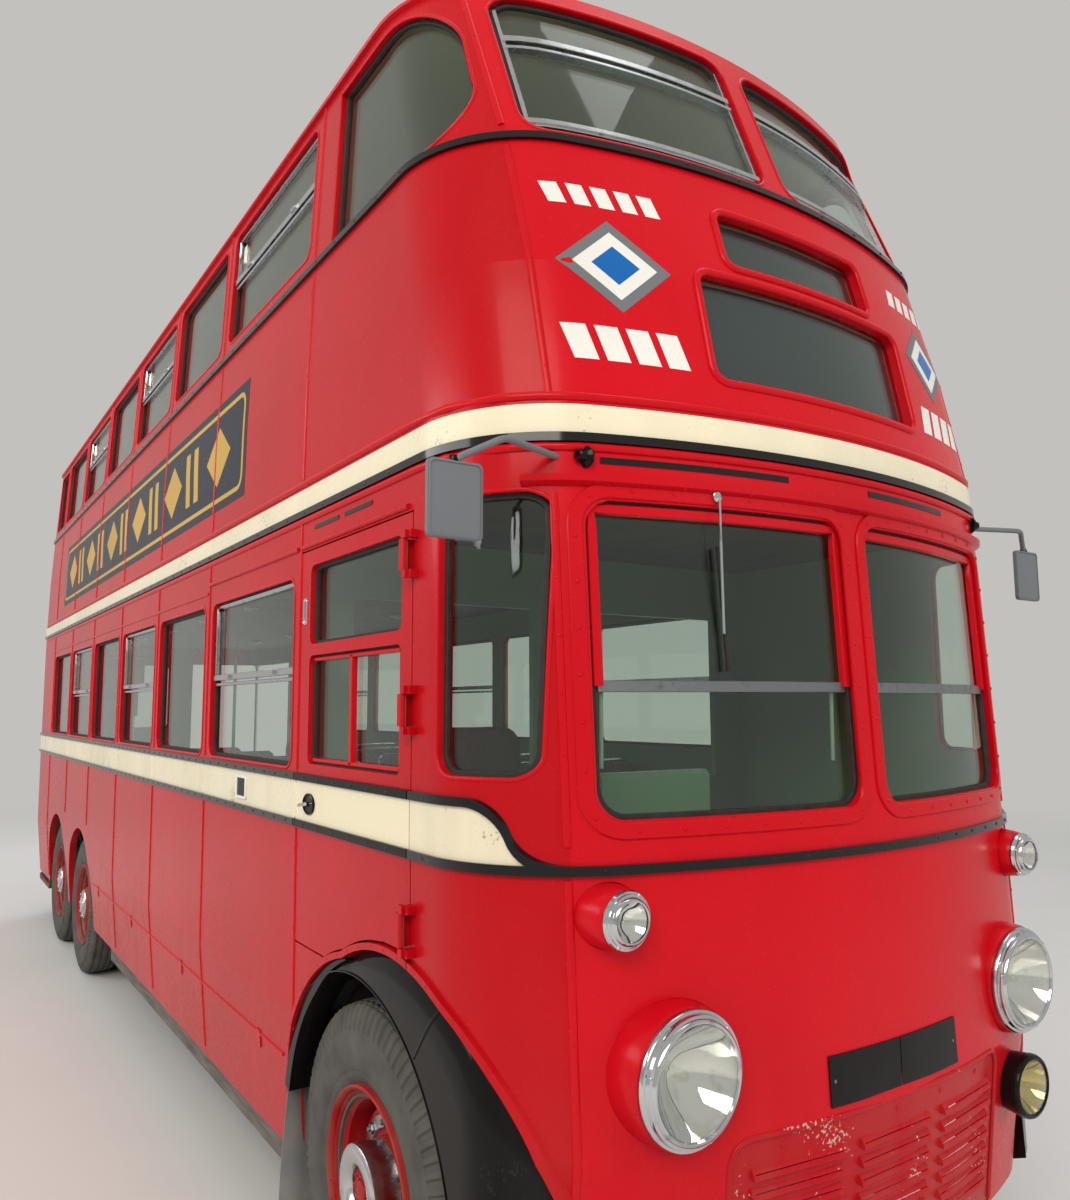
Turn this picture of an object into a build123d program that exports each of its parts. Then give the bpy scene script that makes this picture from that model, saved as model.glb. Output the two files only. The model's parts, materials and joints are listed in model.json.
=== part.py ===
from build123d import *
import math
import os

os.makedirs("parts", exist_ok=True)

# Six-wheel double-deck trolleybus of the late 1930s. Millimetres.
# The front faces -Y, the driver's offside is -X and the kerb side is +X.
# Names that end in _S are distances back from the nose, and _Z are heights above the road.

# Body size
BODY_LENGTH = 9144
BODY_HALF = 1143
WALL = 45
ROOF_THICKNESS = 55
FIT = 6
BOW_RADIUS = 2740
TAIL_BOW_RADIUS = 5200
TAIL_CORNER_SHARE = 0.62

# Heights
SKIRT_Z = 420
PLATFORM_Z = 380
SALOON_FLOOR_Z = 800
CAB_FLOOR_Z = 930
WAIST_Z = 1600
DECK_SPLIT_Z = 2640
UPPER_FLOOR_Z = 2700
UPPER_WAIST_Z = 3645
CANTRAIL_Z = 4300
FLOOR_THICKNESS = 40
UPPER_FLOOR_THICKNESS = 80

# Body sections from the skirt to the cantrail, and on over the roof
BODY_ROWS = (
    # height, side tuck, nose setback, tail setback, corner radius
    (SKIRT_Z, 48, 55, 30, 420),
    (900, 5, 0, 8, 420),
    (WAIST_Z, 0, 30, 0, 420),
    (2510, 0, 78, 0, 420),
    (2750, 0, 88, 4, 425),
    (3200, 7, 178, 24, 440),
    (UPPER_WAIST_Z, 25, 300, 55, 455),
    (CANTRAIL_Z, 58, 545, 130, 480),
)
ROOF_ROWS = (
    # height, side tuck, nose setback, tail setback, corner radius
    (4372, 92, 632, 180, 470),
    (4435, 158, 782, 262, 450),
    (4485, 290, 1000, 410, 420),
    (4520, 510, 1330, 700, 360),
    (4538, 830, 1900, 1200, 200),
)

# Places along the body
CORNER_SPLIT_X = 948
DOOR_FRONT_S = 698
DOOR_REAR_S = 1600
FIRST_BAY = 1220
BAY = 1060
BAYS = 6
PILLAR = 130
BULKHEAD_S = 1612
BULKHEAD_THICKNESS = 30

# Windows
GLASS_RECESS = 30
GLASS_THICKNESS = 6
LOWER_WINDOW_Z = (1755, 2445)
UPPER_WINDOW_Z = (3705, 4250)
WINDOW_CORNER = 55
WINDSCREEN_Z = (1685, 2505)
WINDSCREEN_X = (42, 885)
WINDSCREEN_CORNER = 75
UPPER_SCREEN_Z = (3662, 4236)
UPPER_SCREEN_X = (45, 905)
CAB_CORNER_WINDOW_S = (262, 545)
CAB_CORNER_WINDOW_Z = (1790, 2528)
QUARTER_WINDOW_S = (622, 1430)
QUARTER_WINDOW_Z = (3652, 4250)
TAIL_SIDE_WINDOW_S = (8185, 8640)

# Cab door
DOOR_Z = (1165, 2525)
DOOR_PANE_S = (765, 1500)
DOOR_UPPER_PANE_Z = (2190, 2470)
DOOR_LOWER_PANE_Z = (1775, 2150)
DOOR_TOE_S = 880
DOOR_TOE_Z = 1300
HINGE_OUT = 24
HINGE_BARREL = 9
HINGE_PIN = 5
HINGE_HALF = 45
HINGE_PLAY = 1
EAR_WIDTH = 22
HINGE_ROOT = 28

# Emergency door in the upper back
ESCAPE_HALF = 600
ESCAPE_Z = (3250, 4190)
ESCAPE_FRAME = 75

# Platform and staircase
PLATFORM_FRONT_S = 8120
ENTRANCE_TOP_Z = 2450
TAIL_PANEL_EDGE_X = 350
STAIR_RISERS = 9
STAIR_INNER_X = -470
STAIR_TREAD = 26
RISER_THICKNESS = 16
WINDERS = 3
FLIGHT_GOING = 235
LANDING_S = 8480

# Mouldings
MOULD_PROUD = 13
BAND_PROUD = 4
MOULD_HEIGHT = 24
WAIST_BAND_Z = (1580, 1715)
DECK_BAND_Z = (2682, 2762)
SWOOP_START_S = 430
SWOOP_END_S = 200

# Wheels
FRONT_AXLE_S = 1080
FRONT_TYRE_RADIUS = 530
FRONT_TYRE_WIDTH = 265
FRONT_TRACK_HALF = 975
KINGPIN_X = 790
REAR_AXLE_S = (6320, 7520)
REAR_TYRE_RADIUS = 500
REAR_TYRE_WIDTH = 236
TWIN_OUTER_X = 984
TWIN_SPACING = 288
FRONT_RIM_RADIUS = 272
REAR_RIM_RADIUS = 272
RIM_WALL = 10
RIM_SHARE = 0.72
RUNNING_FIT = 0.08
FRONT_ARCH_RADIUS = 625
REAR_ARCH_RADIUS = 565
BOX_INNER_X = 556

# Front wings
WING_HALF = 1135
WING_NOSE_S = 22
WING_CORNER = 240
WING_FOOT_Z = 400
LINER = 14
LINER_INNER_X = 530
LINER_FOOT_Z = 700
WING_GAP = 6
BEAD_WIDTH = 20
BEAD_PROUD = 12

# Underframe and running gear
RAIL_X = 420
RAIL_WIDTH = 75
RAIL_Z = (585, 755)
RAIL_S = (330, 8060)
RAIL_WEB = 9
MOTOR_S = (3300, 4350)
MOTOR_RADIUS = 205
MOTOR_Z = 530
SPRING_X = 520
TOW_EYE_S = 170
TOW_EYE_Z = 375
TOW_EYE_RADIUS = 22
TOW_EYE_WIDTH = 40
LEAF_THICKNESS = 14
LEAF_WIDTH = 76

# Front lamps
HEADLAMP_X = 720
HEADLAMP_Z = 1085
HEADLAMP_RADIUS = 162
SIDELAMP_X = 867
SIDELAMP_Z = 1460
SIDELAMP_RADIUS = 72
FOGLAMP_X = 735
FOGLAMP_Z = 756
FOGLAMP_RADIUS = 98
LAMP_SEAT = 0.3
LAMP_DEPTH = 80

# Cab
DRIVER_X = -450
COLUMN_LENGTH = 700
SHAFT_RADIUS = 12

# Louvred panel low in the dash
GRILLE_HALF = 580
GRILLE_TOP_Z = 902
GRILLE_CORNER = 60
GRILLE_COLUMNS = 3
GRILLE_ROWS = 7
LOUVRE_LENGTH = 300
LOUVRE_HEIGHT = 26
LOUVRE_OUT = 13
LOUVRE_PITCH = 48
LOUVRE_TOP_Z = 800

# Destination boxes
ROUTE_BOX_HALF = 335
ROUTE_BOX_Z = (3290, 3480)
PLACE_BOX_HALF = 460
PLACE_BOX_Z = (2890, 3235)
BOX_DEPTH_S = 620

# Trolley gear on the roof
BOOM_OVERHANG = 640
BOOM_BASE_S = 4300
BOOM_SPACING_HALF = 305
GANTRY_Z = 4560
BOOM_PIVOT_Z = 4800
BOOM_ROOT_RADIUS = 38
BOOM_TIP_RADIUS = 21
HEAD_LENGTH = 170
BOOM_REST_S = 8350
BASE_HEIGHT = 50
SPIGOT_RADIUS = 30
TABLE_THICKNESS = 30

ORIGIN_S = (BODY_LENGTH + BOOM_OVERHANG) / 2
BOOM_TIP_S = BODY_LENGTH + BOOM_OVERHANG
BAY_JOINTS = [DOOR_REAR_S] + [DOOR_REAR_S + FIRST_BAY + BAY * step for step in range(BAYS)]


def along(distance):
    """Turn a distance back from the nose into Y."""
    return distance - ORIGIN_S


def block(x, s, z):
    """Plain block between two values of X, two distances from the nose and two heights."""
    with BuildPart() as piece:
        with BuildSketch(Plane.XY.offset(z[0])):
            with Locations(((x[0] + x[1]) / 2, along((s[0] + s[1]) / 2))):
                Rectangle(x[1] - x[0], s[1] - s[0])
        extrude(amount=z[1] - z[0])
    return piece.part


def outline_at(tuck, nose, tail, corner, grow):
    """Sketch of the plan outline: bowed nose, straight sides, bowed tail and rounded corners."""
    half = BODY_HALF - tuck + grow
    ends = []
    for bow, share, tip, way in (
        (BOW_RADIUS, 1, along(nose), 1),
        (TAIL_BOW_RADIUS, TAIL_CORNER_SHARE, along(BODY_LENGTH - tail), -1),
    ):
        middle = tip + way * bow
        radius = corner * share + grow
        bow_radius = bow + grow
        centre_x = half - radius
        drop = math.sqrt((bow_radius - radius) ** 2 - centre_x**2)
        centre_y = middle - way * drop
        scale = bow_radius / (bow_radius - radius)
        touch = (centre_x * scale, middle - way * drop * scale)
        lean = math.atan2(centre_x, drop) / 2 + math.pi / 4
        turn = (centre_x + radius * math.sin(lean), centre_y - way * radius * math.cos(lean))
        ends.append((touch, turn, (half, centre_y), (0, middle - way * bow_radius)))
    (n_touch, n_turn, n_side, n_tip), (t_touch, t_turn, t_side, t_tip) = ends

    def other(point):
        return (-point[0], point[1])

    with BuildSketch() as shape:
        with BuildLine():
            ThreePointArc(other(n_touch), n_tip, n_touch)
            ThreePointArc(n_touch, n_turn, n_side)
            Line(n_side, t_side)
            ThreePointArc(t_side, t_turn, t_touch)
            ThreePointArc(t_touch, t_tip, other(t_touch))
            ThreePointArc(other(t_touch), other(t_turn), other(t_side))
            Line(other(t_side), other(n_side))
            ThreePointArc(other(n_side), other(n_turn), other(n_touch))
        make_face()
    return shape.sketch


def envelope(grow, rows):
    """Solid through some of the body's rows, grown all round by one distance."""
    sections = [(height, outline_at(*rest, grow)) for height, *rest in rows]
    with BuildPart() as solid:
        for height, section in sections:
            with BuildSketch(Plane.XY.offset(height)):
                add(section)
        loft(ruled=True)
    return solid.part


def side_shape(side, points_sketch, x_from, x_to):
    """Prism of a side-view sketch (distance from nose, height) between two half widths."""
    with BuildPart() as prism:
        with BuildSketch(Plane.YZ.offset(side * x_from)):
            add(points_sketch)
        extrude(amount=side * (x_to - x_from))
    return prism.part


def side_window(s, z, corner):
    """Side-view sketch of a rounded window."""
    with BuildSketch() as shape:
        with Locations((along((s[0] + s[1]) / 2), (z[0] + z[1]) / 2)):
            RectangleRounded(s[1] - s[0], z[1] - z[0], corner)
    return shape.sketch


def front_window(x, z, corner, depth, way=1):
    """Cutter for a window seen from the front, or from behind when way is -1."""
    start = along(-200) if way > 0 else along(BODY_LENGTH + 200)
    with BuildPart() as cutter:
        with BuildSketch(Plane.XZ.offset(-start)):
            with Locations(((x[0] + x[1]) / 2, (z[0] + z[1]) / 2)):
                RectangleRounded(x[1] - x[0], z[1] - z[0], corner)
        extrude(amount=-way * depth)
    return cutter.part


def finish(piece, label):
    """Name a piece and write its file."""
    piece.label = label
    export_step(piece, f"parts/{label}.step")


def union(pieces):
    """One shape from several loose ones."""
    whole = pieces[0]
    for piece in pieces[1:]:
        whole = whole + piece
    return whole


WIDE = BODY_HALF + 100
LONG = BODY_LENGTH + 200


def rows_between(low, high):
    """The body's rows from just below one height to just above another."""
    first = max(i for i, row in enumerate(BODY_ROWS) if row[0] <= low)
    last = min(i for i, row in enumerate(BODY_ROWS) if row[0] >= high)
    return BODY_ROWS[first : last + 1]


# The lower deck, the upper deck and the roof as solids, outside and inside the walls
lower_rows = rows_between(SKIRT_Z, DECK_SPLIT_Z)
upper_rows = rows_between(DECK_SPLIT_Z, CANTRAIL_Z)
roof_rows = BODY_ROWS[-1:] + ROOF_ROWS
ceiling_rows = BODY_ROWS[-1:] + tuple((row[0] - ROOF_THICKNESS, *row[1:]) for row in ROOF_ROWS)
foot_row = ((SKIRT_Z - 60, *BODY_ROWS[0][1:]),)
lower_outer = envelope(0, lower_rows)
upper_outer = envelope(0, upper_rows)
roof_outer = envelope(0, roof_rows)
lower_inner = envelope(-WALL, foot_row + lower_rows)
upper_inner = envelope(-WALL, upper_rows)
lower_shell = lower_outer - lower_inner
upper_shell = upper_outer - upper_inner


def pane_skin(rows):
    """Thin skin on which the window glass lies."""
    return envelope(-GLASS_RECESS, rows) - envelope(-GLASS_RECESS - GLASS_THICKNESS, rows)


lower_panes = pane_skin(rows_between(WAIST_Z, DECK_SPLIT_Z))
upper_panes = pane_skin(upper_rows)


def arch_sketch(grow):
    """Side-view outline of the front wing, larger by grow all round."""
    foot = WING_FOOT_Z - 60
    with BuildSketch() as shape:
        with BuildLine():
            Line((along(1700), foot), (along(1668), 660))
            ThreePointArc((along(1668), 660), (along(1474), 1022), (along(1150), 1196))
            ThreePointArc((along(1150), 1196), (along(790), 1272), (along(450), 1170))
            ThreePointArc((along(450), 1170), (along(290), 1000), (along(215), 800))
            Line((along(215), 800), (along(190), foot))
            Line((along(190), foot), (along(1700), foot))
        make_face()
        if grow:
            offset(amount=grow, kind=Kind.INTERSECTION)
    return shape.sketch


def arch_cut(side, grow):
    """Prism of the front wing's outline through one side of the body."""
    return side_shape(side, arch_sketch(grow), CORNER_SPLIT_X, WIDE)


def wing_bead(side):
    """Half-round edge of the body panels round the front wing, in line with the wing's top."""
    rows = rows_between(SKIRT_Z, WAIST_Z)
    ring_prism = arch_cut(side, BEAD_WIDTH) - arch_cut(side, 0)
    return (envelope(BEAD_PROUD, rows) & ring_prism) - envelope(-WALL, rows)


def rear_arches(side):
    """Round openings over the four rear wheels of one side."""
    with BuildPart() as cut:
        with BuildSketch(Plane.YZ.offset(side * CORNER_SPLIT_X)):
            for axle in REAR_AXLE_S:
                with Locations((along(axle), REAR_TYRE_RADIUS)):
                    Circle(REAR_ARCH_RADIUS)
        extrude(amount=side * (WIDE - CORNER_SPLIT_X))
    return cut.part


def side_panel(side, s, z):
    """Piece of one side wall, outboard of the corner split."""
    x = (CORNER_SPLIT_X, WIDE) if side > 0 else (-WIDE, -CORNER_SPLIT_X)
    return block(x, s, z)


# Window cutters, kept so that the glass fits its openings
bay_windows = {}
for side in (-1, 1):
    lower = []
    upper = []
    for front, back in zip(BAY_JOINTS[:-1], BAY_JOINTS[1:]):
        span = (front + PILLAR / 2, back - PILLAR / 2)
        lower.append(side_window(span, LOWER_WINDOW_Z, WINDOW_CORNER))
        upper.append(side_window(span, UPPER_WINDOW_Z, WINDOW_CORNER))
    upper.append(side_window(TAIL_SIDE_WINDOW_S, UPPER_WINDOW_Z, WINDOW_CORNER))
    bay_windows[side] = (
        [side_shape(side, sketch, CORNER_SPLIT_X, WIDE) for sketch in lower],
        [side_shape(side, sketch, CORNER_SPLIT_X, WIDE) for sketch in upper],
    )

with BuildSketch() as quarter_view:
    with BuildLine():
        q_front, q_back = (along(s) for s in QUARTER_WINDOW_S)
        q_low, q_high = QUARTER_WINDOW_Z
        Line((q_back, q_low), (q_back, q_high))
        Line((q_back, q_high), (q_front + 420, q_high))
        ThreePointArc((q_front + 420, q_high), (q_front + 190, q_high - 62), (q_front + 80, q_high - 195))
        Line((q_front + 80, q_high - 195), (q_front + 12, q_high - 370))
        ThreePointArc((q_front + 12, q_high - 370), (q_front + 18, q_low + 65), (q_front + 130, q_low))
        Line((q_front + 130, q_low), (q_back, q_low))
    make_face()
quarter_cuts = {side: side_shape(side, quarter_view.sketch, CORNER_SPLIT_X, WIDE) for side in (-1, 1)}

corner_view = side_window(CAB_CORNER_WINDOW_S, CAB_CORNER_WINDOW_Z, 60)
corner_cuts = {side: side_shape(side, corner_view, CORNER_SPLIT_X, WIDE) for side in (-1, 1)}

screen_cuts = []
upper_screen_cuts = []
for side in (-1, 1):
    x = sorted(side * value for value in WINDSCREEN_X)
    screen_cuts.append(front_window(x, WINDSCREEN_Z, WINDSCREEN_CORNER, 700))
    x = sorted(side * value for value in UPPER_SCREEN_X)
    upper_screen_cuts.append(front_window(x, UPPER_SCREEN_Z, WINDSCREEN_CORNER, 1400))
route_cut = front_window((-ROUTE_BOX_HALF, ROUTE_BOX_HALF), ROUTE_BOX_Z, 35, 700)
place_cut = front_window((-PLACE_BOX_HALF, PLACE_BOX_HALF), PLACE_BOX_Z, 40, 700)

TAIL_WINDOW_X = (-800, 120)
tail_cut = front_window(TAIL_WINDOW_X, LOWER_WINDOW_Z, WINDOW_CORNER, 700, way=-1)


def nose_at(height):
    """Setback of the nose at a height on the lower body."""
    for (low, _, near, *_), (high, _, far, *_) in zip(BODY_ROWS[:-1], BODY_ROWS[1:]):
        if low <= height <= high:
            return near + (far - near) * (height - low) / (high - low)
    return BODY_ROWS[0][2]


def bow_at(x):
    """How far the bowed front stands back at a distance from the middle."""
    return BOW_RADIUS - math.sqrt(BOW_RADIUS**2 - x**2)


# Lamps seen from the front, each in a hole of the dash panel
LAMPS = (
    # x, height, bezel radius, stand out, body radius, lens dome
    (-HEADLAMP_X, HEADLAMP_Z, HEADLAMP_RADIUS, 88, HEADLAMP_RADIUS + 8, 10),
    (HEADLAMP_X, HEADLAMP_Z, HEADLAMP_RADIUS, 88, HEADLAMP_RADIUS + 8, 10),
    (-SIDELAMP_X, SIDELAMP_Z, SIDELAMP_RADIUS, 92, SIDELAMP_RADIUS + 8, 8),
    (SIDELAMP_X, SIDELAMP_Z, SIDELAMP_RADIUS, 92, SIDELAMP_RADIUS + 8, 8),
    (FOGLAMP_X, FOGLAMP_Z, FOGLAMP_RADIUS, 85, FOGLAMP_RADIUS - 14, 10),
)
lamp_holes = []
for x, z, _, _, body_radius, _ in LAMPS:
    with BuildPart() as hole:
        with BuildSketch(Plane.XZ.offset(-along(-200))):
            with Locations((x, z)):
                Circle(body_radius + LAMP_SEAT)
        extrude(amount=-(200 + nose_at(z) + bow_at(x) + LAMP_DEPTH + LAMP_SEAT))
    lamp_holes.append(hole.part)

# Front dash panel, from skirt to waist, with the place of the louvred panel cut out
GRILLE_PLACE = (SKIRT_Z - 30, GRILLE_TOP_Z)
grille_opening = front_window(
    (-GRILLE_HALF, GRILLE_HALF), (GRILLE_PLACE[0] - 100, GRILLE_PLACE[1]), GRILLE_CORNER, 500
)
front_zone = block((-CORNER_SPLIT_X, CORNER_SPLIT_X), (-100, 900), (0, WAIST_Z))
with BuildPart() as front_dash_panel:
    add(lower_shell)
    add(front_zone, mode=Mode.INTERSECT)
    add(grille_opening, mode=Mode.SUBTRACT)
    add(lamp_holes, mode=Mode.SUBTRACT)
finish(front_dash_panel.part, "front_dash_panel")

# Louvred panel: a pressed sheet with three columns of hooded louvres
grille_rows = rows_between(SKIRT_Z, WAIST_Z)
louvre_sheet = envelope(-4, grille_rows) - envelope(-12, grille_rows)
column_pitch = 2 * (GRILLE_HALF - 30) / GRILLE_COLUMNS
louvre_places = []
for column in range(GRILLE_COLUMNS):
    middle = (column - (GRILLE_COLUMNS - 1) / 2) * column_pitch
    for row in range(GRILLE_ROWS):
        louvre_places.append((middle, LOUVRE_TOP_Z - row * LOUVRE_PITCH))


louvres = []
for middle, height in louvre_places:
    ends = [middle - LOUVRE_LENGTH / 2, middle + LOUVRE_LENGTH / 2]
    base = along(nose_at(height) + bow_at(middle)) + 4
    slope = (bow_at(ends[1]) - bow_at(ends[0])) / LOUVRE_LENGTH
    turned = Plane(origin=(middle, base, height), x_dir=(1, slope, 0), z_dir=(0, 0, 1))
    with BuildPart() as hood:
        with BuildSketch(Plane(origin=turned.origin, x_dir=turned.y_dir, z_dir=turned.x_dir)):
            with BuildLine():
                Line((9, 0), (9, LOUVRE_HEIGHT))
                Line((9, LOUVRE_HEIGHT), (0, LOUVRE_HEIGHT))
                ThreePointArc((0, LOUVRE_HEIGHT), (-LOUVRE_OUT * 0.8, 12), (-LOUVRE_OUT, 0))
                Line((-LOUVRE_OUT, 0), (9, 0))
            make_face()
        extrude(amount=LOUVRE_LENGTH / 2, both=True)
    louvres.append(hood.part)
slots = []
for middle, height in louvre_places:
    base = along(nose_at(height) + bow_at(middle))
    slope = (bow_at(middle + 1) - bow_at(middle - 1)) / 2
    turned = Plane(origin=(middle, base, height), x_dir=(1, slope, 0), z_dir=(0, 0, 1))
    with BuildPart() as slot:
        with BuildSketch(Plane(origin=turned.origin, x_dir=turned.y_dir, z_dir=turned.x_dir)):
            with BuildLine():
                Polyline((-6, -4), (-6, 15), (20, 15), (20, -4), (-6, -4))
            make_face()
        extrude(amount=LOUVRE_LENGTH / 2 - 6, both=True)
    slots.append(slot.part)
with BuildPart() as louvre_panel:
    add(louvre_sheet)
    add(grille_opening, mode=Mode.INTERSECT)
    add(louvres)
    add(slots, mode=Mode.SUBTRACT)
finish(louvre_panel.part, "louvre_panel")

# Windscreen surround with its centre pillar, up to the canopy rail
front_zone = block((-CORNER_SPLIT_X, CORNER_SPLIT_X), (-100, 900), (WAIST_Z, DECK_SPLIT_Z))
with BuildPart() as windscreen_frame:
    add(lower_shell)
    add(front_zone, mode=Mode.INTERSECT)
    add(screen_cuts, mode=Mode.SUBTRACT)
finish(windscreen_frame.part, "windscreen_frame")

# Upper front panel with the destination openings and the two front windows
front_zone = block((-CORNER_SPLIT_X, CORNER_SPLIT_X), (-100, 1500), (DECK_SPLIT_Z, CANTRAIL_Z))
with BuildPart() as upper_front_panel:
    add(upper_shell)
    add(front_zone, mode=Mode.INTERSECT)
    add(upper_screen_cuts, mode=Mode.SUBTRACT)
    add([route_cut, place_cut], mode=Mode.SUBTRACT)
finish(upper_front_panel.part, "upper_front_panel")

# Hinge ears and pins of the cab door, on the cab side in front of it
HINGE_X = -(BODY_HALF + HINGE_OUT)
HINGE_S = DOOR_FRONT_S + 2
DOOR_HINGE_Z = (1365, 1960, 2400)
door_ears = []
for z in DOOR_HINGE_Z:
    for low in (z - HINGE_HALF - HINGE_PLAY - EAR_WIDTH, z + HINGE_HALF + HINGE_PLAY):
        with BuildPart() as ear:
            with BuildSketch(Plane.XY.offset(low)):
                with Locations((HINGE_X, along(HINGE_S))):
                    Circle(HINGE_BARREL)
                with Locations((HINGE_X, along(HINGE_S - 10))):
                    Rectangle(2 * HINGE_BARREL, 20)
                with Locations((HINGE_X + HINGE_OUT / 2 + 1, along(HINGE_S - 23))):
                    Rectangle(HINGE_OUT + 2, 30)
            extrude(amount=EAR_WIDTH)
        door_ears.append(ear.part)
    with BuildPart() as pin:
        with BuildSketch(Plane.XY.offset(z - HINGE_HALF - HINGE_PLAY - EAR_WIDTH)):
            with Locations((HINGE_X, along(HINGE_S))):
                Circle(HINGE_PIN)
        extrude(amount=2 * (HINGE_HALF + HINGE_PLAY + EAR_WIDTH))
    door_ears.append(pin.part)

# Cab sides: the offside one stops at the door and runs on over it
wing_beads = {side: wing_bead(side) for side in (-1, 1)}
door_head = side_panel(-1, (DOOR_FRONT_S - FIT, DOOR_REAR_S), (DOOR_Z[1] + FIT, DECK_SPLIT_Z))
for side, label in ((-1, "offside_cab_side"), (1, "nearside_cab_side")):
    back = DOOR_FRONT_S - FIT if side < 0 else DOOR_REAR_S
    zone = side_panel(side, (-100, back), (0, DECK_SPLIT_Z))
    if side < 0:
        zone = zone + door_head
    wing_gap = arch_cut(side, BEAD_WIDTH)
    bead = wing_beads[side] & zone
    with BuildPart() as cab_side:
        add(lower_shell)
        add(zone, mode=Mode.INTERSECT)
        add(corner_cuts[side], mode=Mode.SUBTRACT)
        add(wing_gap, mode=Mode.SUBTRACT)
        add(bead)
        if side < 0:
            add(door_ears)
    finish(cab_side.part, label)

# Lower side panels with six windows and the rear wheel arches
door_foot = side_panel(-1, (DOOR_FRONT_S, DOOR_REAR_S), (0, DOOR_Z[0] - FIT))
entrance_head = block((TAIL_PANEL_EDGE_X, WIDE), (PLATFORM_FRONT_S, LONG), (ENTRANCE_TOP_Z, DECK_SPLIT_Z))
for side, label in ((-1, "offside_lower_side"), (1, "nearside_lower_side")):
    if side < 0:
        zone = side_panel(side, (DOOR_REAR_S, LONG), (0, DECK_SPLIT_Z)) + door_foot
    else:
        zone = side_panel(side, (DOOR_REAR_S, PLATFORM_FRONT_S), (0, DECK_SPLIT_Z)) + entrance_head
    wing_gap = arch_cut(side, BEAD_WIDTH)
    wheel_gap = rear_arches(side)
    bead_zone = side_panel(side, (DOOR_FRONT_S if side < 0 else DOOR_REAR_S, LONG), (0, DECK_SPLIT_Z))
    bead = wing_beads[side] & bead_zone
    with BuildPart() as lower_side:
        add(lower_shell)
        add(zone, mode=Mode.INTERSECT)
        add(wheel_gap, mode=Mode.SUBTRACT)
        add(wing_gap, mode=Mode.SUBTRACT)
        add(bay_windows[side][0], mode=Mode.SUBTRACT)
        add(bead)
    finish(lower_side.part, label)

# Upper side panels, each with a quarter window, six side windows and a small one behind
for side, label in ((-1, "offside_upper_side"), (1, "nearside_upper_side")):
    zone = side_panel(side, (-100, LONG), (DECK_SPLIT_Z, CANTRAIL_Z))
    with BuildPart() as upper_side:
        add(upper_shell)
        add(zone, mode=Mode.INTERSECT)
        add(bay_windows[side][1], mode=Mode.SUBTRACT)
        add(quarter_cuts[side], mode=Mode.SUBTRACT)
    finish(upper_side.part, label)

# Back panels; the lower one stops beside the open platform
zone = block((-CORNER_SPLIT_X, TAIL_PANEL_EDGE_X), (BODY_LENGTH - 700, LONG), (0, DECK_SPLIT_Z))
with BuildPart() as rear_lower_panel:
    add(lower_shell)
    add(zone, mode=Mode.INTERSECT)
    add(tail_cut, mode=Mode.SUBTRACT)
finish(rear_lower_panel.part, "rear_lower_panel")

rear_upper_zone = block(
    (-CORNER_SPLIT_X, CORNER_SPLIT_X), (BODY_LENGTH - 900, LONG), (DECK_SPLIT_Z, CANTRAIL_Z)
)
escape_opening = block(
    (-ESCAPE_HALF, ESCAPE_HALF), (BODY_LENGTH - 900, LONG), ESCAPE_Z
)
# Emergency door, hung from its top edge, with two panes
escape_zone = block(
    (-ESCAPE_HALF + FIT, ESCAPE_HALF - FIT),
    (BODY_LENGTH - 900, LONG),
    (ESCAPE_Z[0] + FIT, ESCAPE_Z[1] - FIT),
)
escape_panes = [
    front_window(
        sorted((side * 25, side * (ESCAPE_HALF - ESCAPE_FRAME))),
        (ESCAPE_Z[0] + 330, ESCAPE_Z[1] - ESCAPE_FRAME),
        40,
        700,
        way=-1,
    )
    for side in (-1, 1)
]
escape_outer_s = BODY_LENGTH - 55 - 75 * (ESCAPE_Z[1] - UPPER_WAIST_Z) / (CANTRAIL_Z - UPPER_WAIST_Z)
ESCAPE_PIN_S = escape_outer_s + HINGE_OUT
ESCAPE_PIN_Z = ESCAPE_Z[1] - FIT
escape_hinges = []
escape_ears = []
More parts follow.
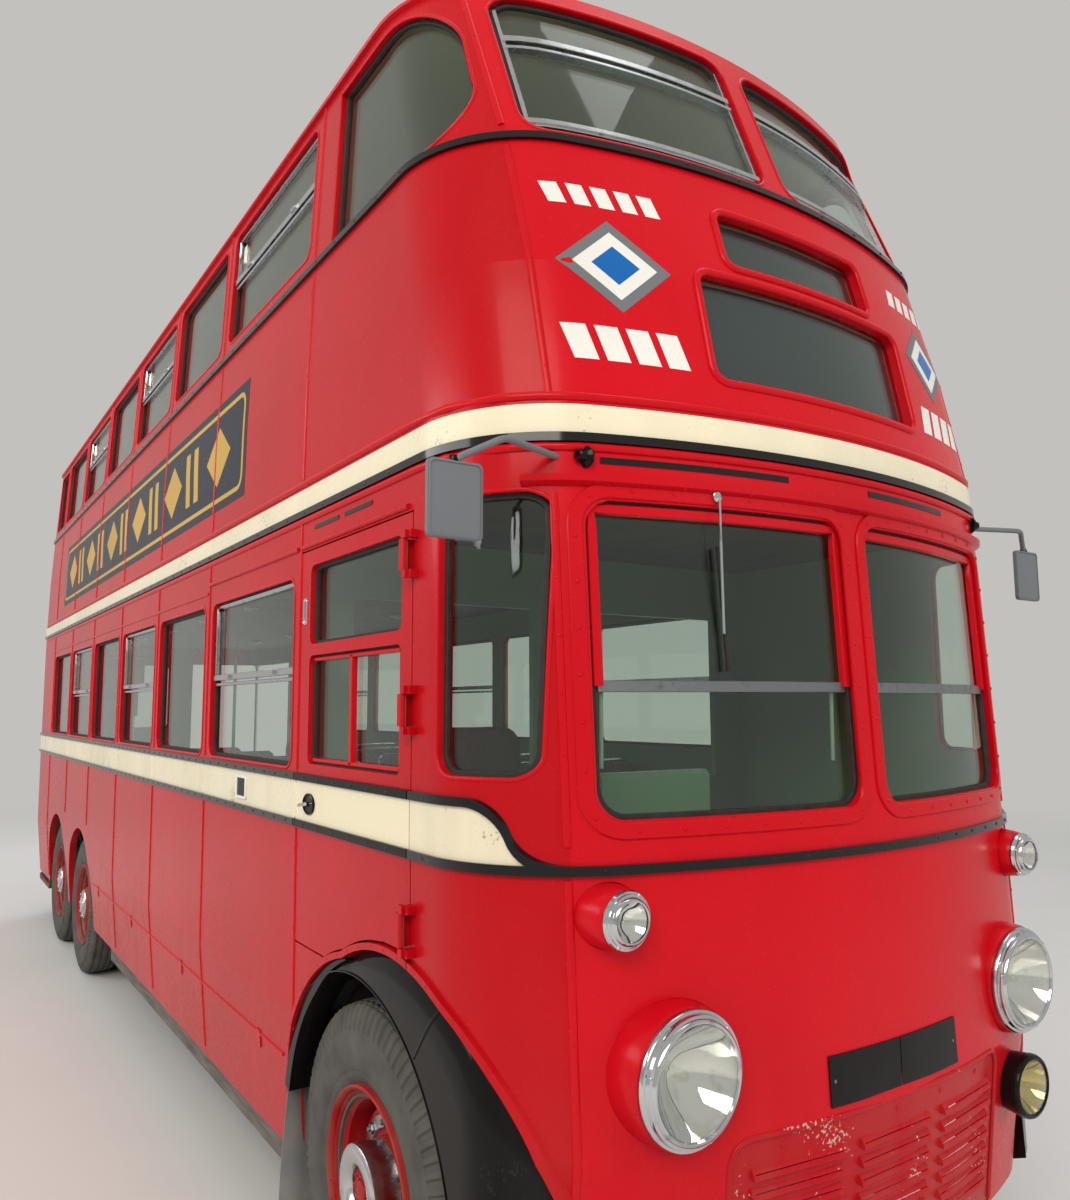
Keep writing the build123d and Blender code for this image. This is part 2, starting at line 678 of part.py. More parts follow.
for x in (-380, 0, 380):
    with BuildPart() as hinge:
        with BuildSketch(Plane.YZ.offset(x - HINGE_HALF)):
            with Locations((along(ESCAPE_PIN_S), ESCAPE_PIN_Z)):
                Circle(HINGE_BARREL)
            with BuildLine():
                Polyline(
                    (along(ESCAPE_PIN_S), ESCAPE_PIN_Z),
                    (along(ESCAPE_PIN_S) + HINGE_BARREL, ESCAPE_PIN_Z),
                    (along(ESCAPE_PIN_S) + 4, ESCAPE_PIN_Z - 60),
                    (along(ESCAPE_PIN_S) - HINGE_OUT - HINGE_ROOT, ESCAPE_PIN_Z - 60),
                    (along(ESCAPE_PIN_S) - HINGE_OUT, ESCAPE_PIN_Z - 12),
                    (along(ESCAPE_PIN_S), ESCAPE_PIN_Z),
                )
            make_face()
            with Locations((along(ESCAPE_PIN_S), ESCAPE_PIN_Z)):
                Circle(HINGE_PIN + RUNNING_FIT, mode=Mode.SUBTRACT)
        extrude(amount=2 * HINGE_HALF)
    escape_hinges.append(hinge.part)
    for low in (x - HINGE_HALF - HINGE_PLAY - EAR_WIDTH, x + HINGE_HALF + HINGE_PLAY):
        with BuildPart() as ear:
            with BuildSketch(Plane.YZ.offset(low)):
                with Locations((along(ESCAPE_PIN_S), ESCAPE_PIN_Z)):
                    Circle(HINGE_BARREL)
                with BuildLine():
                    Polyline(
                        (along(ESCAPE_PIN_S) + HINGE_BARREL, ESCAPE_PIN_Z),
                        (along(ESCAPE_PIN_S) - 12, ESCAPE_PIN_Z + 66),
                        (along(ESCAPE_PIN_S) - HINGE_OUT - HINGE_ROOT, ESCAPE_PIN_Z + 66),
                        (along(ESCAPE_PIN_S) - HINGE_OUT - HINGE_ROOT, ESCAPE_PIN_Z + 12),
                        (along(ESCAPE_PIN_S) - 6, ESCAPE_PIN_Z + 4),
                        close=True,
                    )
                make_face()
            extrude(amount=EAR_WIDTH)
        escape_ears.append(ear.part)
    with BuildPart() as pin:
        with BuildSketch(Plane.YZ.offset(x - HINGE_HALF - HINGE_PLAY - EAR_WIDTH)):
            with Locations((along(ESCAPE_PIN_S), ESCAPE_PIN_Z)):
                Circle(HINGE_PIN)
        extrude(amount=2 * (HINGE_HALF + HINGE_PLAY + EAR_WIDTH))
    escape_ears.append(pin.part)
with BuildPart() as rear_upper_panel:
    add(upper_shell)
    add(rear_upper_zone, mode=Mode.INTERSECT)
    add(escape_opening, mode=Mode.SUBTRACT)
    add(escape_ears)
finish(rear_upper_panel.part, "rear_upper_panel")

with BuildPart() as emergency_door:
    add(upper_shell)
    add(escape_zone, mode=Mode.INTERSECT)
    add(escape_panes, mode=Mode.SUBTRACT)
    add(escape_hinges)
finish(emergency_door.part, "emergency_door")
with BuildPart() as emergency_glass:
    add(upper_panes)
    add(union(escape_panes), mode=Mode.INTERSECT)
finish(emergency_glass.part, "emergency_glass")

# Roof with its domed ends
with BuildPart() as roof_panel:
    add(roof_outer)
    add(envelope(-WALL, ceiling_rows), mode=Mode.SUBTRACT)
finish(roof_panel.part, "roof_panel")

# Cab door: hung on its front edge, its foot follows the wing
door_zone = side_panel(-1, (DOOR_FRONT_S, DOOR_REAR_S - FIT), DOOR_Z)
door_wing_gap = arch_cut(-1, BEAD_WIDTH + FIT)
door_toe_gap = side_panel(-1, (DOOR_FRONT_S - 1, DOOR_TOE_S), (0, DOOR_TOE_Z))
door_panes = [
    side_shape(-1, side_window(DOOR_PANE_S, z, 30), CORNER_SPLIT_X, WIDE)
    for z in (DOOR_UPPER_PANE_Z, DOOR_LOWER_PANE_Z)
]
door_hinges = []
for z in DOOR_HINGE_Z:
    with BuildPart() as hinge:
        with BuildSketch(Plane.XY.offset(z - HINGE_HALF)):
            with Locations((HINGE_X, along(HINGE_S))):
                Circle(HINGE_BARREL)
            with Locations((HINGE_X + HINGE_OUT / 2 + 1, along(HINGE_S + 18))):
                Rectangle(HINGE_OUT + 2, 26)
            with Locations((HINGE_X, along(HINGE_S + 10))):
                Rectangle(2 * HINGE_BARREL, 20)
            with Locations((HINGE_X, along(HINGE_S))):
                Circle(HINGE_PIN + RUNNING_FIT, mode=Mode.SUBTRACT)
        extrude(amount=2 * HINGE_HALF)
    door_hinges.append(hinge.part)
door_trim_zone = side_panel(-1, (DOOR_FRONT_S, DOOR_REAR_S - FIT), (DOOR_Z[0], DOOR_Z[1]))


def ring(z, proud):
    """Moulding or band between two heights, standing proud all round the body."""
    rows = rows_between(*z)
    zone = block((-WIDE, WIDE), (-100, LONG), z)
    return (envelope(proud, rows) & zone) - envelope(0, rows)


waist_mould_low = ring((WAIST_BAND_Z[0] - MOULD_HEIGHT, WAIST_BAND_Z[0]), MOULD_PROUD)
waist_mould_high = ring((WAIST_BAND_Z[1], WAIST_BAND_Z[1] + MOULD_HEIGHT), MOULD_PROUD)
waist_band = ring(WAIST_BAND_Z, BAND_PROUD)

with BuildPart() as cab_door:
    add(lower_shell)
    add(door_zone, mode=Mode.INTERSECT)
    add([door_wing_gap, door_toe_gap], mode=Mode.SUBTRACT)
    add(door_panes, mode=Mode.SUBTRACT)
    add(door_hinges)
    add([piece & door_trim_zone for piece in (waist_mould_low, waist_mould_high, waist_band)])
finish(cab_door.part, "cab_door")
with BuildPart() as cab_door_glass:
    add(lower_panes)
    add(union(door_panes), mode=Mode.INTERSECT)
finish(cab_door_glass.part, "cab_door_glass")

# Glass of the fixed windows
lower_cuts = screen_cuts + [tail_cut]
upper_cuts = upper_screen_cuts + [route_cut, place_cut]
for side in (-1, 1):
    lower_cuts += bay_windows[side][0] + [corner_cuts[side]]
    upper_cuts += bay_windows[side][1] + [quarter_cuts[side]]
pane_solids = []
for skin, cuts in ((lower_panes, lower_cuts), (upper_panes, upper_cuts)):
    with BuildPart() as glass:
        add(cuts)
        add(skin, mode=Mode.INTERSECT)
    pane_solids += glass.part.solids()
window_glass = Compound(children=pane_solids)
finish(window_glass, "window_glass")

# Black mouldings at the waist, under the cream band and under the upper windows
swoop_start = along(SWOOP_START_S)
swoop_end = along(SWOOP_END_S)
swoop_half = (swoop_start - swoop_end) / 2
swoop_low = WAIST_BAND_Z[0] - MOULD_HEIGHT
swoop_drop = (WAIST_BAND_Z[1] - swoop_low) / 2
swoop_radius = (swoop_half**2 + swoop_drop**2) / (2 * swoop_drop)
swoop_lean = math.asin(swoop_half / swoop_radius) / 2
swoop_knee = (swoop_radius * math.sin(swoop_lean), swoop_radius * (1 - math.cos(swoop_lean)))


def swoop_points(rise):
    """The S curve as two arcs, each a start, a knee and an end."""
    top = (swoop_start, WAIST_BAND_Z[1] + rise)
    middle = (swoop_start - swoop_half, WAIST_BAND_Z[1] - swoop_drop + rise)
    foot = (swoop_end, swoop_low + rise)
    high_knee = (top[0] - swoop_knee[0], top[1] - swoop_knee[1])
    low_knee = (foot[0] + swoop_knee[0], foot[1] + swoop_knee[1])
    return (top, high_knee, middle), (middle, low_knee, foot)


with BuildSketch() as swoop_view:
    with BuildLine():
        for arc in swoop_points(0) + swoop_points(MOULD_HEIGHT):
            ThreePointArc(*arc)
        Line((swoop_start, WAIST_BAND_Z[1]), (swoop_start, WAIST_BAND_Z[1] + MOULD_HEIGHT))
        Line((swoop_end, swoop_low), (swoop_end, swoop_low + MOULD_HEIGHT))
    make_face()
with BuildSketch() as swoop_band_view:
    with BuildLine():
        for arc in swoop_points(0):
            ThreePointArc(*arc)
        Line((swoop_end, swoop_low), (swoop_start, swoop_low))
        Line((swoop_start, swoop_low), (swoop_start, WAIST_BAND_Z[1]))
    make_face()

rear_open = block((TAIL_PANEL_EDGE_X, WIDE), (PLATFORM_FRONT_S, LONG), (0, ENTRANCE_TOP_Z))
escape_gap = block((-ESCAPE_HALF, ESCAPE_HALF), (BODY_LENGTH - 900, LONG), ESCAPE_Z)
front_of_swoop = block((-WIDE, WIDE), (-100, SWOOP_START_S), (0, DECK_SPLIT_Z))
door_gap = block(
    (-WIDE, 0), (DOOR_FRONT_S - FIT, DOOR_REAR_S), (DOOR_Z[0] - 60, DOOR_Z[1] + FIT)
)
swoops = [side_shape(side, swoop_view.sketch, 700, WIDE) for side in (-1, 1)]
band_ends = [side_shape(side, swoop_band_view.sketch, 700, WIDE) for side in (-1, 1)]
upper_mould = ring((UPPER_WAIST_Z - MOULD_HEIGHT, UPPER_WAIST_Z), MOULD_PROUD)
deck_mould = ring((DECK_BAND_Z[0] - MOULD_HEIGHT, DECK_BAND_Z[0]), MOULD_PROUD)
deck_band = ring(DECK_BAND_Z, BAND_PROUD)
waist_rows = rows_between(*WAIST_BAND_Z)
waist_body = envelope(0, waist_rows)
waist_mould_skin = envelope(MOULD_PROUD, waist_rows)
waist_band_skin = envelope(BAND_PROUD, waist_rows)
below_band = block((-WIDE, WIDE), (-100, LONG), (0, WAIST_BAND_Z[0]))
with BuildPart() as black_mouldings:
    add([waist_mould_high])
    add(front_of_swoop, mode=Mode.SUBTRACT)
    add([waist_mould_low, upper_mould, deck_mould])
    add([(waist_mould_skin & swoop) - waist_body for swoop in swoops])
    add([rear_open, door_gap, escape_gap], mode=Mode.SUBTRACT)
finish(black_mouldings.part, "black_mouldings")
with BuildPart() as cream_bands:
    add(waist_band)
    add(front_of_swoop, mode=Mode.SUBTRACT)
    add([(waist_band_skin & end) - waist_body for end in band_ends])
    add([rear_open, door_gap, below_band], mode=Mode.SUBTRACT)
    add(deck_band)
finish(cream_bands.part, "cream_bands")

# Boxes over the rear wheels inside the saloon
arch_boxes = []
for side in (-1, 1):
    with BuildPart() as arch_box:
        for shrink, start in ((0, BOX_INNER_X), (LINER, BOX_INNER_X + LINER)):
            with BuildSketch(Plane.YZ.offset(side * start)):
                with Locations((along(sum(REAR_AXLE_S) / 2), REAR_TYRE_RADIUS)):
                    SlotCenterToCenter(
                        REAR_AXLE_S[1] - REAR_AXLE_S[0], 2 * (REAR_ARCH_RADIUS + LINER - shrink)
                    )
            extrude(
                amount=side * (BODY_HALF - start),
                mode=Mode.SUBTRACT if shrink else Mode.ADD,
            )
        with BuildSketch(Plane.XY.offset(SALOON_FLOOR_Z - FLOOR_THICKNESS)):
            Rectangle(2 * WIDE, 2 * LONG)
        extrude(amount=WAIST_Z, mode=Mode.INTERSECT)
    arch_boxes.append(arch_box.part)

# Floors
wheel_box_gaps = []
for side in (-1, 1):
    x = sorted((side * LINER_INNER_X, side * WIDE))
    wheel_box_gaps.append(block(x, (FRONT_AXLE_S - 645, FRONT_AXLE_S + 645), (0, WAIST_Z)))
    x = sorted((side * (BOX_INNER_X + LINER / 2), side * WIDE))
    reach = math.sqrt(REAR_ARCH_RADIUS**2 - (SALOON_FLOOR_Z - REAR_TYRE_RADIUS) ** 2)
    wheel_box_gaps.append(block(x, (REAR_AXLE_S[0] - reach, REAR_AXLE_S[1] + reach), (0, WAIST_Z)))
    wheel_box_gaps.append(arch_cut(side, 0))
cab_slab = block(
    (-WIDE, WIDE), (0, BULKHEAD_S + BULKHEAD_THICKNESS), (CAB_FLOOR_Z - FLOOR_THICKNESS, CAB_FLOOR_Z)
)
step_riser = block(
    (-WIDE, WIDE),
    (BULKHEAD_S, BULKHEAD_S + BULKHEAD_THICKNESS),
    (SALOON_FLOOR_Z - FLOOR_THICKNESS, CAB_FLOOR_Z),
)
saloon_slab = block(
    (-WIDE, WIDE),
    (BULKHEAD_S, PLATFORM_FRONT_S + 30),
    (SALOON_FLOOR_Z - FLOOR_THICKNESS, SALOON_FLOOR_Z),
)
with BuildPart() as lower_floor:
    add([cab_slab, step_riser, saloon_slab])
    add(wheel_box_gaps, mode=Mode.SUBTRACT)
    add(arch_boxes)
    add(lower_inner, mode=Mode.INTERSECT)
    add(lamp_holes, mode=Mode.SUBTRACT)
finish(lower_floor.part, "lower_floor")

platform_slab = block(
    (-WIDE, WIDE), (PLATFORM_FRONT_S, BODY_LENGTH + 100), (PLATFORM_Z - FLOOR_THICKNESS, PLATFORM_Z)
)
platform_riser = block(
    (-WIDE, WIDE),
    (PLATFORM_FRONT_S, PLATFORM_FRONT_S + 30),
    (PLATFORM_Z, SALOON_FLOOR_Z - FLOOR_THICKNESS),
)
with BuildSketch() as platform_outline:
    add(outline_at(BODY_ROWS[0][1], BODY_ROWS[0][2], BODY_ROWS[0][3], BODY_ROWS[0][4], 0))
with BuildPart() as platform_bound:
    with BuildSketch(Plane.XY.offset(PLATFORM_Z - FLOOR_THICKNESS)):
        add(platform_outline.sketch)
    extrude(amount=SALOON_FLOOR_Z)
with BuildPart() as rear_platform:
    add([platform_slab, platform_riser])
    add(platform_bound.part, mode=Mode.INTERSECT)
    add(lower_shell, mode=Mode.SUBTRACT)
finish(rear_platform.part, "rear_platform")

stair_well = block(
    (-WIDE, STAIR_INNER_X),
    (LANDING_S - FLIGHT_GOING * 5, LANDING_S + 200),
    (DECK_SPLIT_Z - 200, UPPER_FLOOR_Z + 10),
)
with BuildPart() as upper_floor:
    add(block((-WIDE, WIDE), (0, LONG), (UPPER_FLOOR_Z - UPPER_FLOOR_THICKNESS, UPPER_FLOOR_Z)))
    add(lower_inner, mode=Mode.INTERSECT)
    add(stair_well, mode=Mode.SUBTRACT)
finish(upper_floor.part, "upper_floor")

# Bulkhead behind the driver with two windows
bulkhead_panes = [
    block(
        sorted((side * 120, side * 930)),
        (BULKHEAD_S - 10, BULKHEAD_S + BULKHEAD_THICKNESS + 10),
        (1640, 2380),
    )
    for side in (-1, 1)
]
with BuildPart() as cab_bulkhead:
    add(
        block(
            (-WIDE, WIDE),
            (BULKHEAD_S, BULKHEAD_S + BULKHEAD_THICKNESS),
            (CAB_FLOOR_Z, UPPER_FLOOR_Z - UPPER_FLOOR_THICKNESS),
        )
    )
    add(lower_inner, mode=Mode.INTERSECT)
    add(bulkhead_panes, mode=Mode.SUBTRACT)
finish(cab_bulkhead.part, "cab_bulkhead")

# Staircase from the platform: winders in the offside back corner, then a flight to the front
riser = (UPPER_FLOOR_Z - PLATFORM_Z) / STAIR_RISERS
stair_outer_x = -(BODY_HALF - WALL - 10)
stair_steps = []
for step in range(STAIR_RISERS - 1):
    top = PLATFORM_Z + riser * (step + 1)
    if step < WINDERS:
        start = 90 * step / WINDERS
        stop = 90 * (step + 1) / WINDERS
        reach = STAIR_INNER_X - stair_outer_x
        points = [(STAIR_INNER_X, along(LANDING_S))]
        for angle in (start, stop):
            c, s_ = math.cos(math.radians(angle)), math.sin(math.radians(angle))
            stretch = min(reach / max(s_, 1e-6), 590 / max(c, 1e-6))
            points.append((STAIR_INNER_X - stretch * s_, along(LANDING_S) + stretch * c))
        if start < math.degrees(math.atan2(reach, 590)) < stop:
            points.insert(2, (STAIR_INNER_X - reach, along(LANDING_S + 590)))
    else:
        front = LANDING_S - FLIGHT_GOING * (step - WINDERS + 1)
        points = [
            (STAIR_INNER_X, along(front)),
            (STAIR_INNER_X, along(front + FLIGHT_GOING)),
            (stair_outer_x, along(front + FLIGHT_GOING)),
            (stair_outer_x, along(front)),
        ]
    edge = points[:2] if step < WINDERS else points[1:3]
    middle_x = sum(point[0] for point in points) / len(points)
    middle_y = sum(point[1] for point in points) / len(points)
    run = (edge[1][0] - edge[0][0], edge[1][1] - edge[0][1])
    size = math.hypot(*run)
    normal = (-run[1] / size, run[0] / size)
    if normal[0] * (middle_x - edge[0][0]) + normal[1] * (middle_y - edge[0][1]) < 0:
        normal = (-normal[0], -normal[1])
    back = [(x + normal[0] * RISER_THICKNESS, y + normal[1] * RISER_THICKNESS) for x, y in edge]
    with BuildPart() as tread:
        with BuildSketch(Plane.XY.offset(top - STAIR_TREAD)):
            with BuildLine():
                Polyline(*points, close=True)
            make_face()
        extrude(amount=STAIR_TREAD)
        with BuildSketch(Plane.XY.offset(max(top - riser - STAIR_TREAD, PLATFORM_Z))):
            with BuildLine():
                Polyline(edge[0], edge[1], back[1], back[0], close=True)
            make_face()
        extrude(amount=min(riser + STAIR_TREAD, top - PLATFORM_Z) - 1)
    stair_steps.append(tread.part)
stair_bound = envelope(-WALL - 8, foot_row + lower_rows)
with BuildPart() as staircase:
    add(stair_steps)
    add(stair_bound, mode=Mode.INTERSECT)
finish(staircase.part, "staircase")

# Underframe: two channel rails, cross-members and outriggers
CROSS_S = (380, 1900, 3100, 4650, 5500, 6920, 8000)
rails = []
for side in (-1, 1):
    with BuildPart() as rail:
        with BuildSketch(Plane.XZ.offset(-along(RAIL_S[0]))):
            with Locations((side * RAIL_X, (RAIL_Z[0] + RAIL_Z[1]) / 2)):
                Rectangle(RAIL_WIDTH, RAIL_Z[1] - RAIL_Z[0])
            with Locations((side * (RAIL_X - RAIL_WEB), (RAIL_Z[0] + RAIL_Z[1]) / 2)):
                Rectangle(RAIL_WIDTH, RAIL_Z[1] - RAIL_Z[0] - 2 * RAIL_WEB, mode=Mode.SUBTRACT)
        extrude(amount=-(RAIL_S[1] - RAIL_S[0]))
    rails.append(rail.part)
cross_members = [
    block((-RAIL_X - 30, RAIL_X + 30), (s - 40, s + 40), (RAIL_Z[0] + 20, RAIL_Z[1])) for s in CROSS_S
]
outriggers = []
for s in (2300, 3400, 4500, 5500):
    for side in (-1, 1):
        x = sorted((side * (RAIL_X + 30), side * (BODY_HALF - WALL - 2)))
        outriggers.append(block(x, (s - 25, s + 25), (RAIL_Z[1] - 90, RAIL_Z[1])))
with BuildPart() as towing_eye:
    with BuildSketch(Plane.YZ.offset(-TOW_EYE_WIDTH / 2)):
        with BuildLine():
            Polyline(
                (along(CROSS_S[0]), RAIL_Z[0] + 80),
                (along(TOW_EYE_S), TOW_EYE_Z + 48),
                (along(TOW_EYE_S) - 45, TOW_EYE_Z),
                (along(TOW_EYE_S), TOW_EYE_Z - 45),
                (along(CROSS_S[0]), RAIL_Z[0] - 90),
                close=True,
            )
        make_face()
        with Locations((along(TOW_EYE_S), TOW_EYE_Z)):
            Circle(TOW_EYE_RADIUS, mode=Mode.SUBTRACT)
    extrude(amount=TOW_EYE_WIDTH)
with BuildPart() as underframe:
    add(rails)
    add(cross_members)
    add(outriggers)
    add(lower_inner, mode=Mode.INTERSECT)
    add(towing_eye.part)
finish(underframe.part, "underframe")

# Traction motor slung between the rails
with BuildPart() as traction_motor:
    with BuildSketch(Plane.XZ.offset(-along(MOTOR_S[0]))):
        with Locations((0, MOTOR_Z)):
            Circle(MOTOR_RADIUS)
    extrude(amount=-(MOTOR_S[1] - MOTOR_S[0]))
    with BuildSketch(Plane.XZ.offset(-along(MOTOR_S[0] + 300))):
        with Locations((0, MOTOR_Z + MOTOR_RADIUS - 40)):
            Rectangle(2 * RAIL_X - RAIL_WIDTH, 60)
    extrude(amount=-80)
    with BuildSketch(Plane.XZ.offset(-along(MOTOR_S[1] - 380))):
        with Locations((0, MOTOR_Z + MOTOR_RADIUS - 40)):
            Rectangle(2 * RAIL_X - RAIL_WIDTH, 60)
    extrude(amount=-80)
finish(traction_motor.part, "traction_motor")

# Two worm-drive rear axles with the shafts that join them to the motor
AXLE_TUBE = 62
STUB_RADIUS = 40
with BuildPart() as rear_axles:
    for axle in REAR_AXLE_S:
        with BuildSketch(Plane.YZ.offset(-530)):
            with Locations((along(axle), REAR_TYRE_RADIUS)):
                Circle(AXLE_TUBE)
        extrude(amount=1060)
        with BuildSketch(Plane.YZ.offset(-TWIN_OUTER_X - 60)):
            with Locations((along(axle), REAR_TYRE_RADIUS)):
                Circle(STUB_RADIUS)
        extrude(amount=2 * (TWIN_OUTER_X + 60))
        with BuildSketch(Plane.YZ.offset(-110)):
            with Locations((along(axle), REAR_TYRE_RADIUS)):
                Circle(165)
        extrude(amount=220)
    with BuildSketch(Plane.XZ.offset(-along(MOTOR_S[1]))):
        with Locations((0, MOTOR_Z)):
            Circle(42)
    extrude(amount=-(REAR_AXLE_S[1] - MOTOR_S[1]))
finish(rear_axles.part, "rear_axles")

# Leaf springs under the rails at each axle
LEAVES = 5
spring_packs = []
for axle, radius, reach in (
    (FRONT_AXLE_S, FRONT_TYRE_RADIUS, 620),
    (REAR_AXLE_S[0], REAR_TYRE_RADIUS, 560),
    (REAR_AXLE_S[1], REAR_TYRE_RADIUS, 560),
):
    seat_z = 455 if axle == FRONT_AXLE_S else radius + AXLE_TUBE
    for side in (-1, 1):
        with BuildPart() as pack:
            with BuildSketch(Plane.YZ.offset(side * SPRING_X - LEAF_WIDTH / 2)):
                for leaf in range(LEAVES):
                    low = seat_z + leaf * LEAF_THICKNESS
                    half = reach * (1 - 0.17 * (LEAVES - 1 - leaf))
                    with Locations((along(axle), low + LEAF_THICKNESS / 2)):
                        Rectangle(2 * half, LEAF_THICKNESS)
            extrude(amount=LEAF_WIDTH)
            shackle_top = RAIL_Z[0] + 60
            for way in (-1, 1):
                with BuildSketch(Plane.YZ.offset(side * SPRING_X - LEAF_WIDTH / 2)):
                    top = seat_z + LEAVES * LEAF_THICKNESS
                    with Locations((along(axle + way * (reach - 20)), (top + shackle_top) / 2)):
                        Rectangle(40, shackle_top - top)
                extrude(amount=LEAF_WIDTH)
                bracket_x = sorted((side * (RAIL_X + RAIL_WIDTH / 2), side * SPRING_X))
                with BuildSketch(Plane.YZ.offset(bracket_x[0])):
                    with Locations((along(axle + way * (reach - 20)), shackle_top - 25)):
                        Rectangle(40, 50)
                extrude(amount=bracket_x[1] - bracket_x[0])
        spring_packs += pack.part.solids()
leaf_springs = Compound(children=spring_packs)
finish(leaf_springs, "leaf_springs")

# Front axle beam with an eye for each kingpin
EYE_HALF = 55
EYE_RADIUS = 52
KINGPIN_RADIUS = 24
beam_top = 455
neck_x = KINGPIN_X - EYE_RADIUS - 18
with BuildPart() as front_axle:
    with BuildSketch(Plane.XZ.offset(-along(FRONT_AXLE_S - 45))):
        with BuildLine():
            Polyline(
                (-590, beam_top),
                (590, beam_top),
                (neck_x, FRONT_TYRE_RADIUS + EYE_HALF),
                (KINGPIN_X - 35, FRONT_TYRE_RADIUS + EYE_HALF),
                (KINGPIN_X - 35, FRONT_TYRE_RADIUS - EYE_HALF),
                (neck_x, FRONT_TYRE_RADIUS - EYE_HALF),
                (590, beam_top - 105),
                (-590, beam_top - 105),
                (-neck_x, FRONT_TYRE_RADIUS - EYE_HALF),
                (-KINGPIN_X + 35, FRONT_TYRE_RADIUS - EYE_HALF),
                (-KINGPIN_X + 35, FRONT_TYRE_RADIUS + EYE_HALF),
                (-neck_x, FRONT_TYRE_RADIUS + EYE_HALF),
                close=True,
            )
        make_face()
    extrude(amount=-90)
    for side in (-1, 1):
        with BuildSketch(Plane.XY.offset(FRONT_TYRE_RADIUS - EYE_HALF)):
            with Locations((side * KINGPIN_X, along(FRONT_AXLE_S))):
                Circle(EYE_RADIUS)
        extrude(amount=2 * EYE_HALF)
    for side in (-1, 1):
        with BuildSketch(Plane.XY.offset(0)):
            with Locations((side * KINGPIN_X, along(FRONT_AXLE_S))):
                Circle(KINGPIN_RADIUS + RUNNING_FIT)
        extrude(amount=1000, mode=Mode.SUBTRACT)
finish(front_axle.part, "front_axle")

# Steering knuckles: a fork above and below the eye, kingpin, stub axle and steering arm
FORK_GAP = 6
FORK_PLATE = 26
HUB_BORE = 36
for side, label in ((-1, "offside_knuckle"), (1, "nearside_knuckle")):
    eye_top = EYE_HALF + FORK_GAP
    with BuildPart() as knuckle:
        with BuildSketch(Plane.XY.offset(FRONT_TYRE_RADIUS - eye_top - FORK_PLATE)):
            with Locations((side * KINGPIN_X, along(FRONT_AXLE_S))):
                Circle(KINGPIN_RADIUS)
        extrude(amount=2 * (eye_top + FORK_PLATE))
        for low in (FRONT_TYRE_RADIUS - eye_top - FORK_PLATE, FRONT_TYRE_RADIUS + eye_top):
            with BuildSketch(Plane.XY.offset(low)):
                with Locations((side * KINGPIN_X, along(FRONT_AXLE_S))):
                    Circle(EYE_RADIUS)
                with Locations((side * (KINGPIN_X + 45), along(FRONT_AXLE_S))):
                    Rectangle(90, 2 * EYE_RADIUS)
            extrude(amount=FORK_PLATE)
        with BuildSketch(Plane.YZ.offset(side * (KINGPIN_X + EYE_RADIUS + 12))):
            with Locations((along(FRONT_AXLE_S), FRONT_TYRE_RADIUS)):
                Circle(eye_top + FORK_PLATE)
        extrude(amount=side * 26)
        with BuildSketch(Plane.YZ.offset(side * (KINGPIN_X + EYE_RADIUS + 30))):
            with Locations((along(FRONT_AXLE_S), FRONT_TYRE_RADIUS)):
                Circle(HUB_BORE - RUNNING_FIT)
        extrude(amount=side * (FRONT_TRACK_HALF + 60 - KINGPIN_X - EYE_RADIUS - 30))
        with BuildSketch(Plane.XY.offset(FRONT_TYRE_RADIUS - eye_top - FORK_PLATE)):
            with BuildLine():
                Polyline(
                    (side * (KINGPIN_X + 46), along(FRONT_AXLE_S)),
                    (side * (KINGPIN_X - 20), along(FRONT_AXLE_S + 250)),
                    (side * (KINGPIN_X - 60), along(FRONT_AXLE_S + 240)),
                    (side * (KINGPIN_X - 8), along(FRONT_AXLE_S)),
                    (side * (KINGPIN_X + 46), along(FRONT_AXLE_S)),
                )
            make_face()
        extrude(amount=FORK_PLATE)
    finish(knuckle.part, label)


def wheel_profile(width, rim_radius, dish, hub_out, bore):
    """Half section of a dished disc wheel: radius across, axle distance up."""
    half = width / 2
    with BuildSketch() as shape:
        with BuildLine():
            Polyline(
                (bore, dish - 60),
                (85, dish - 60),
                (85, dish),
                (rim_radius - 70, dish),
                (rim_radius - RIM_WALL - 22, -half * 0.4),
                (rim_radius - RIM_WALL - 22, -half),
                (rim_radius, -half),
                (rim_radius - 22, -half + 18),
                (rim_radius - 22, half - 18),
                (rim_radius, half),
                (rim_radius - RIM_WALL, half),
                (rim_radius - RIM_WALL - 22, half - 24),
                (rim_radius - RIM_WALL - 22, -half * 0.4 + 14),
                (rim_radius - 62, dish + 12),
                (150, dish + 12),
                (132, dish + 12),
                (124, hub_out - 26),
                (105, hub_out),
                (62, hub_out),
                (50, hub_out + 8),
                (bore, hub_out + 8),
                close=True,
            )
        make_face()
    return shape.sketch


def tyre_profile(width, rim_radius, radius):
    """Half section of a tyre: radius across, axle distance up."""
    half = width / 2
    bead = rim_radius - 21.5
    lip = half * RIM_SHARE - 0.7
    seat = lip - 18.5
    with BuildSketch() as shape:
        with BuildLine():
            Line((bead, -seat), (bead, seat))
            Line((bead, seat), (rim_radius + 1, lip))
            ThreePointArc(
                (rim_radius + 1, lip),
                ((rim_radius + radius) / 2, half),
                (radius - 34, half * 0.86),
            )
            Line((radius - 34, half * 0.86), (radius - 8, half * 0.72))
            ThreePointArc((radius - 8, half * 0.72), (radius, 0), (radius - 8, -half * 0.72))
            Line((radius - 8, -half * 0.72), (radius - 34, -half * 0.86))
            ThreePointArc(
                (radius - 34, -half * 0.86),
                ((rim_radius + radius) / 2, -half),
                (rim_radius + 1, -lip),
            )
            Line((rim_radius + 1, -lip), (bead, -seat))
        make_face()
    return shape.sketch


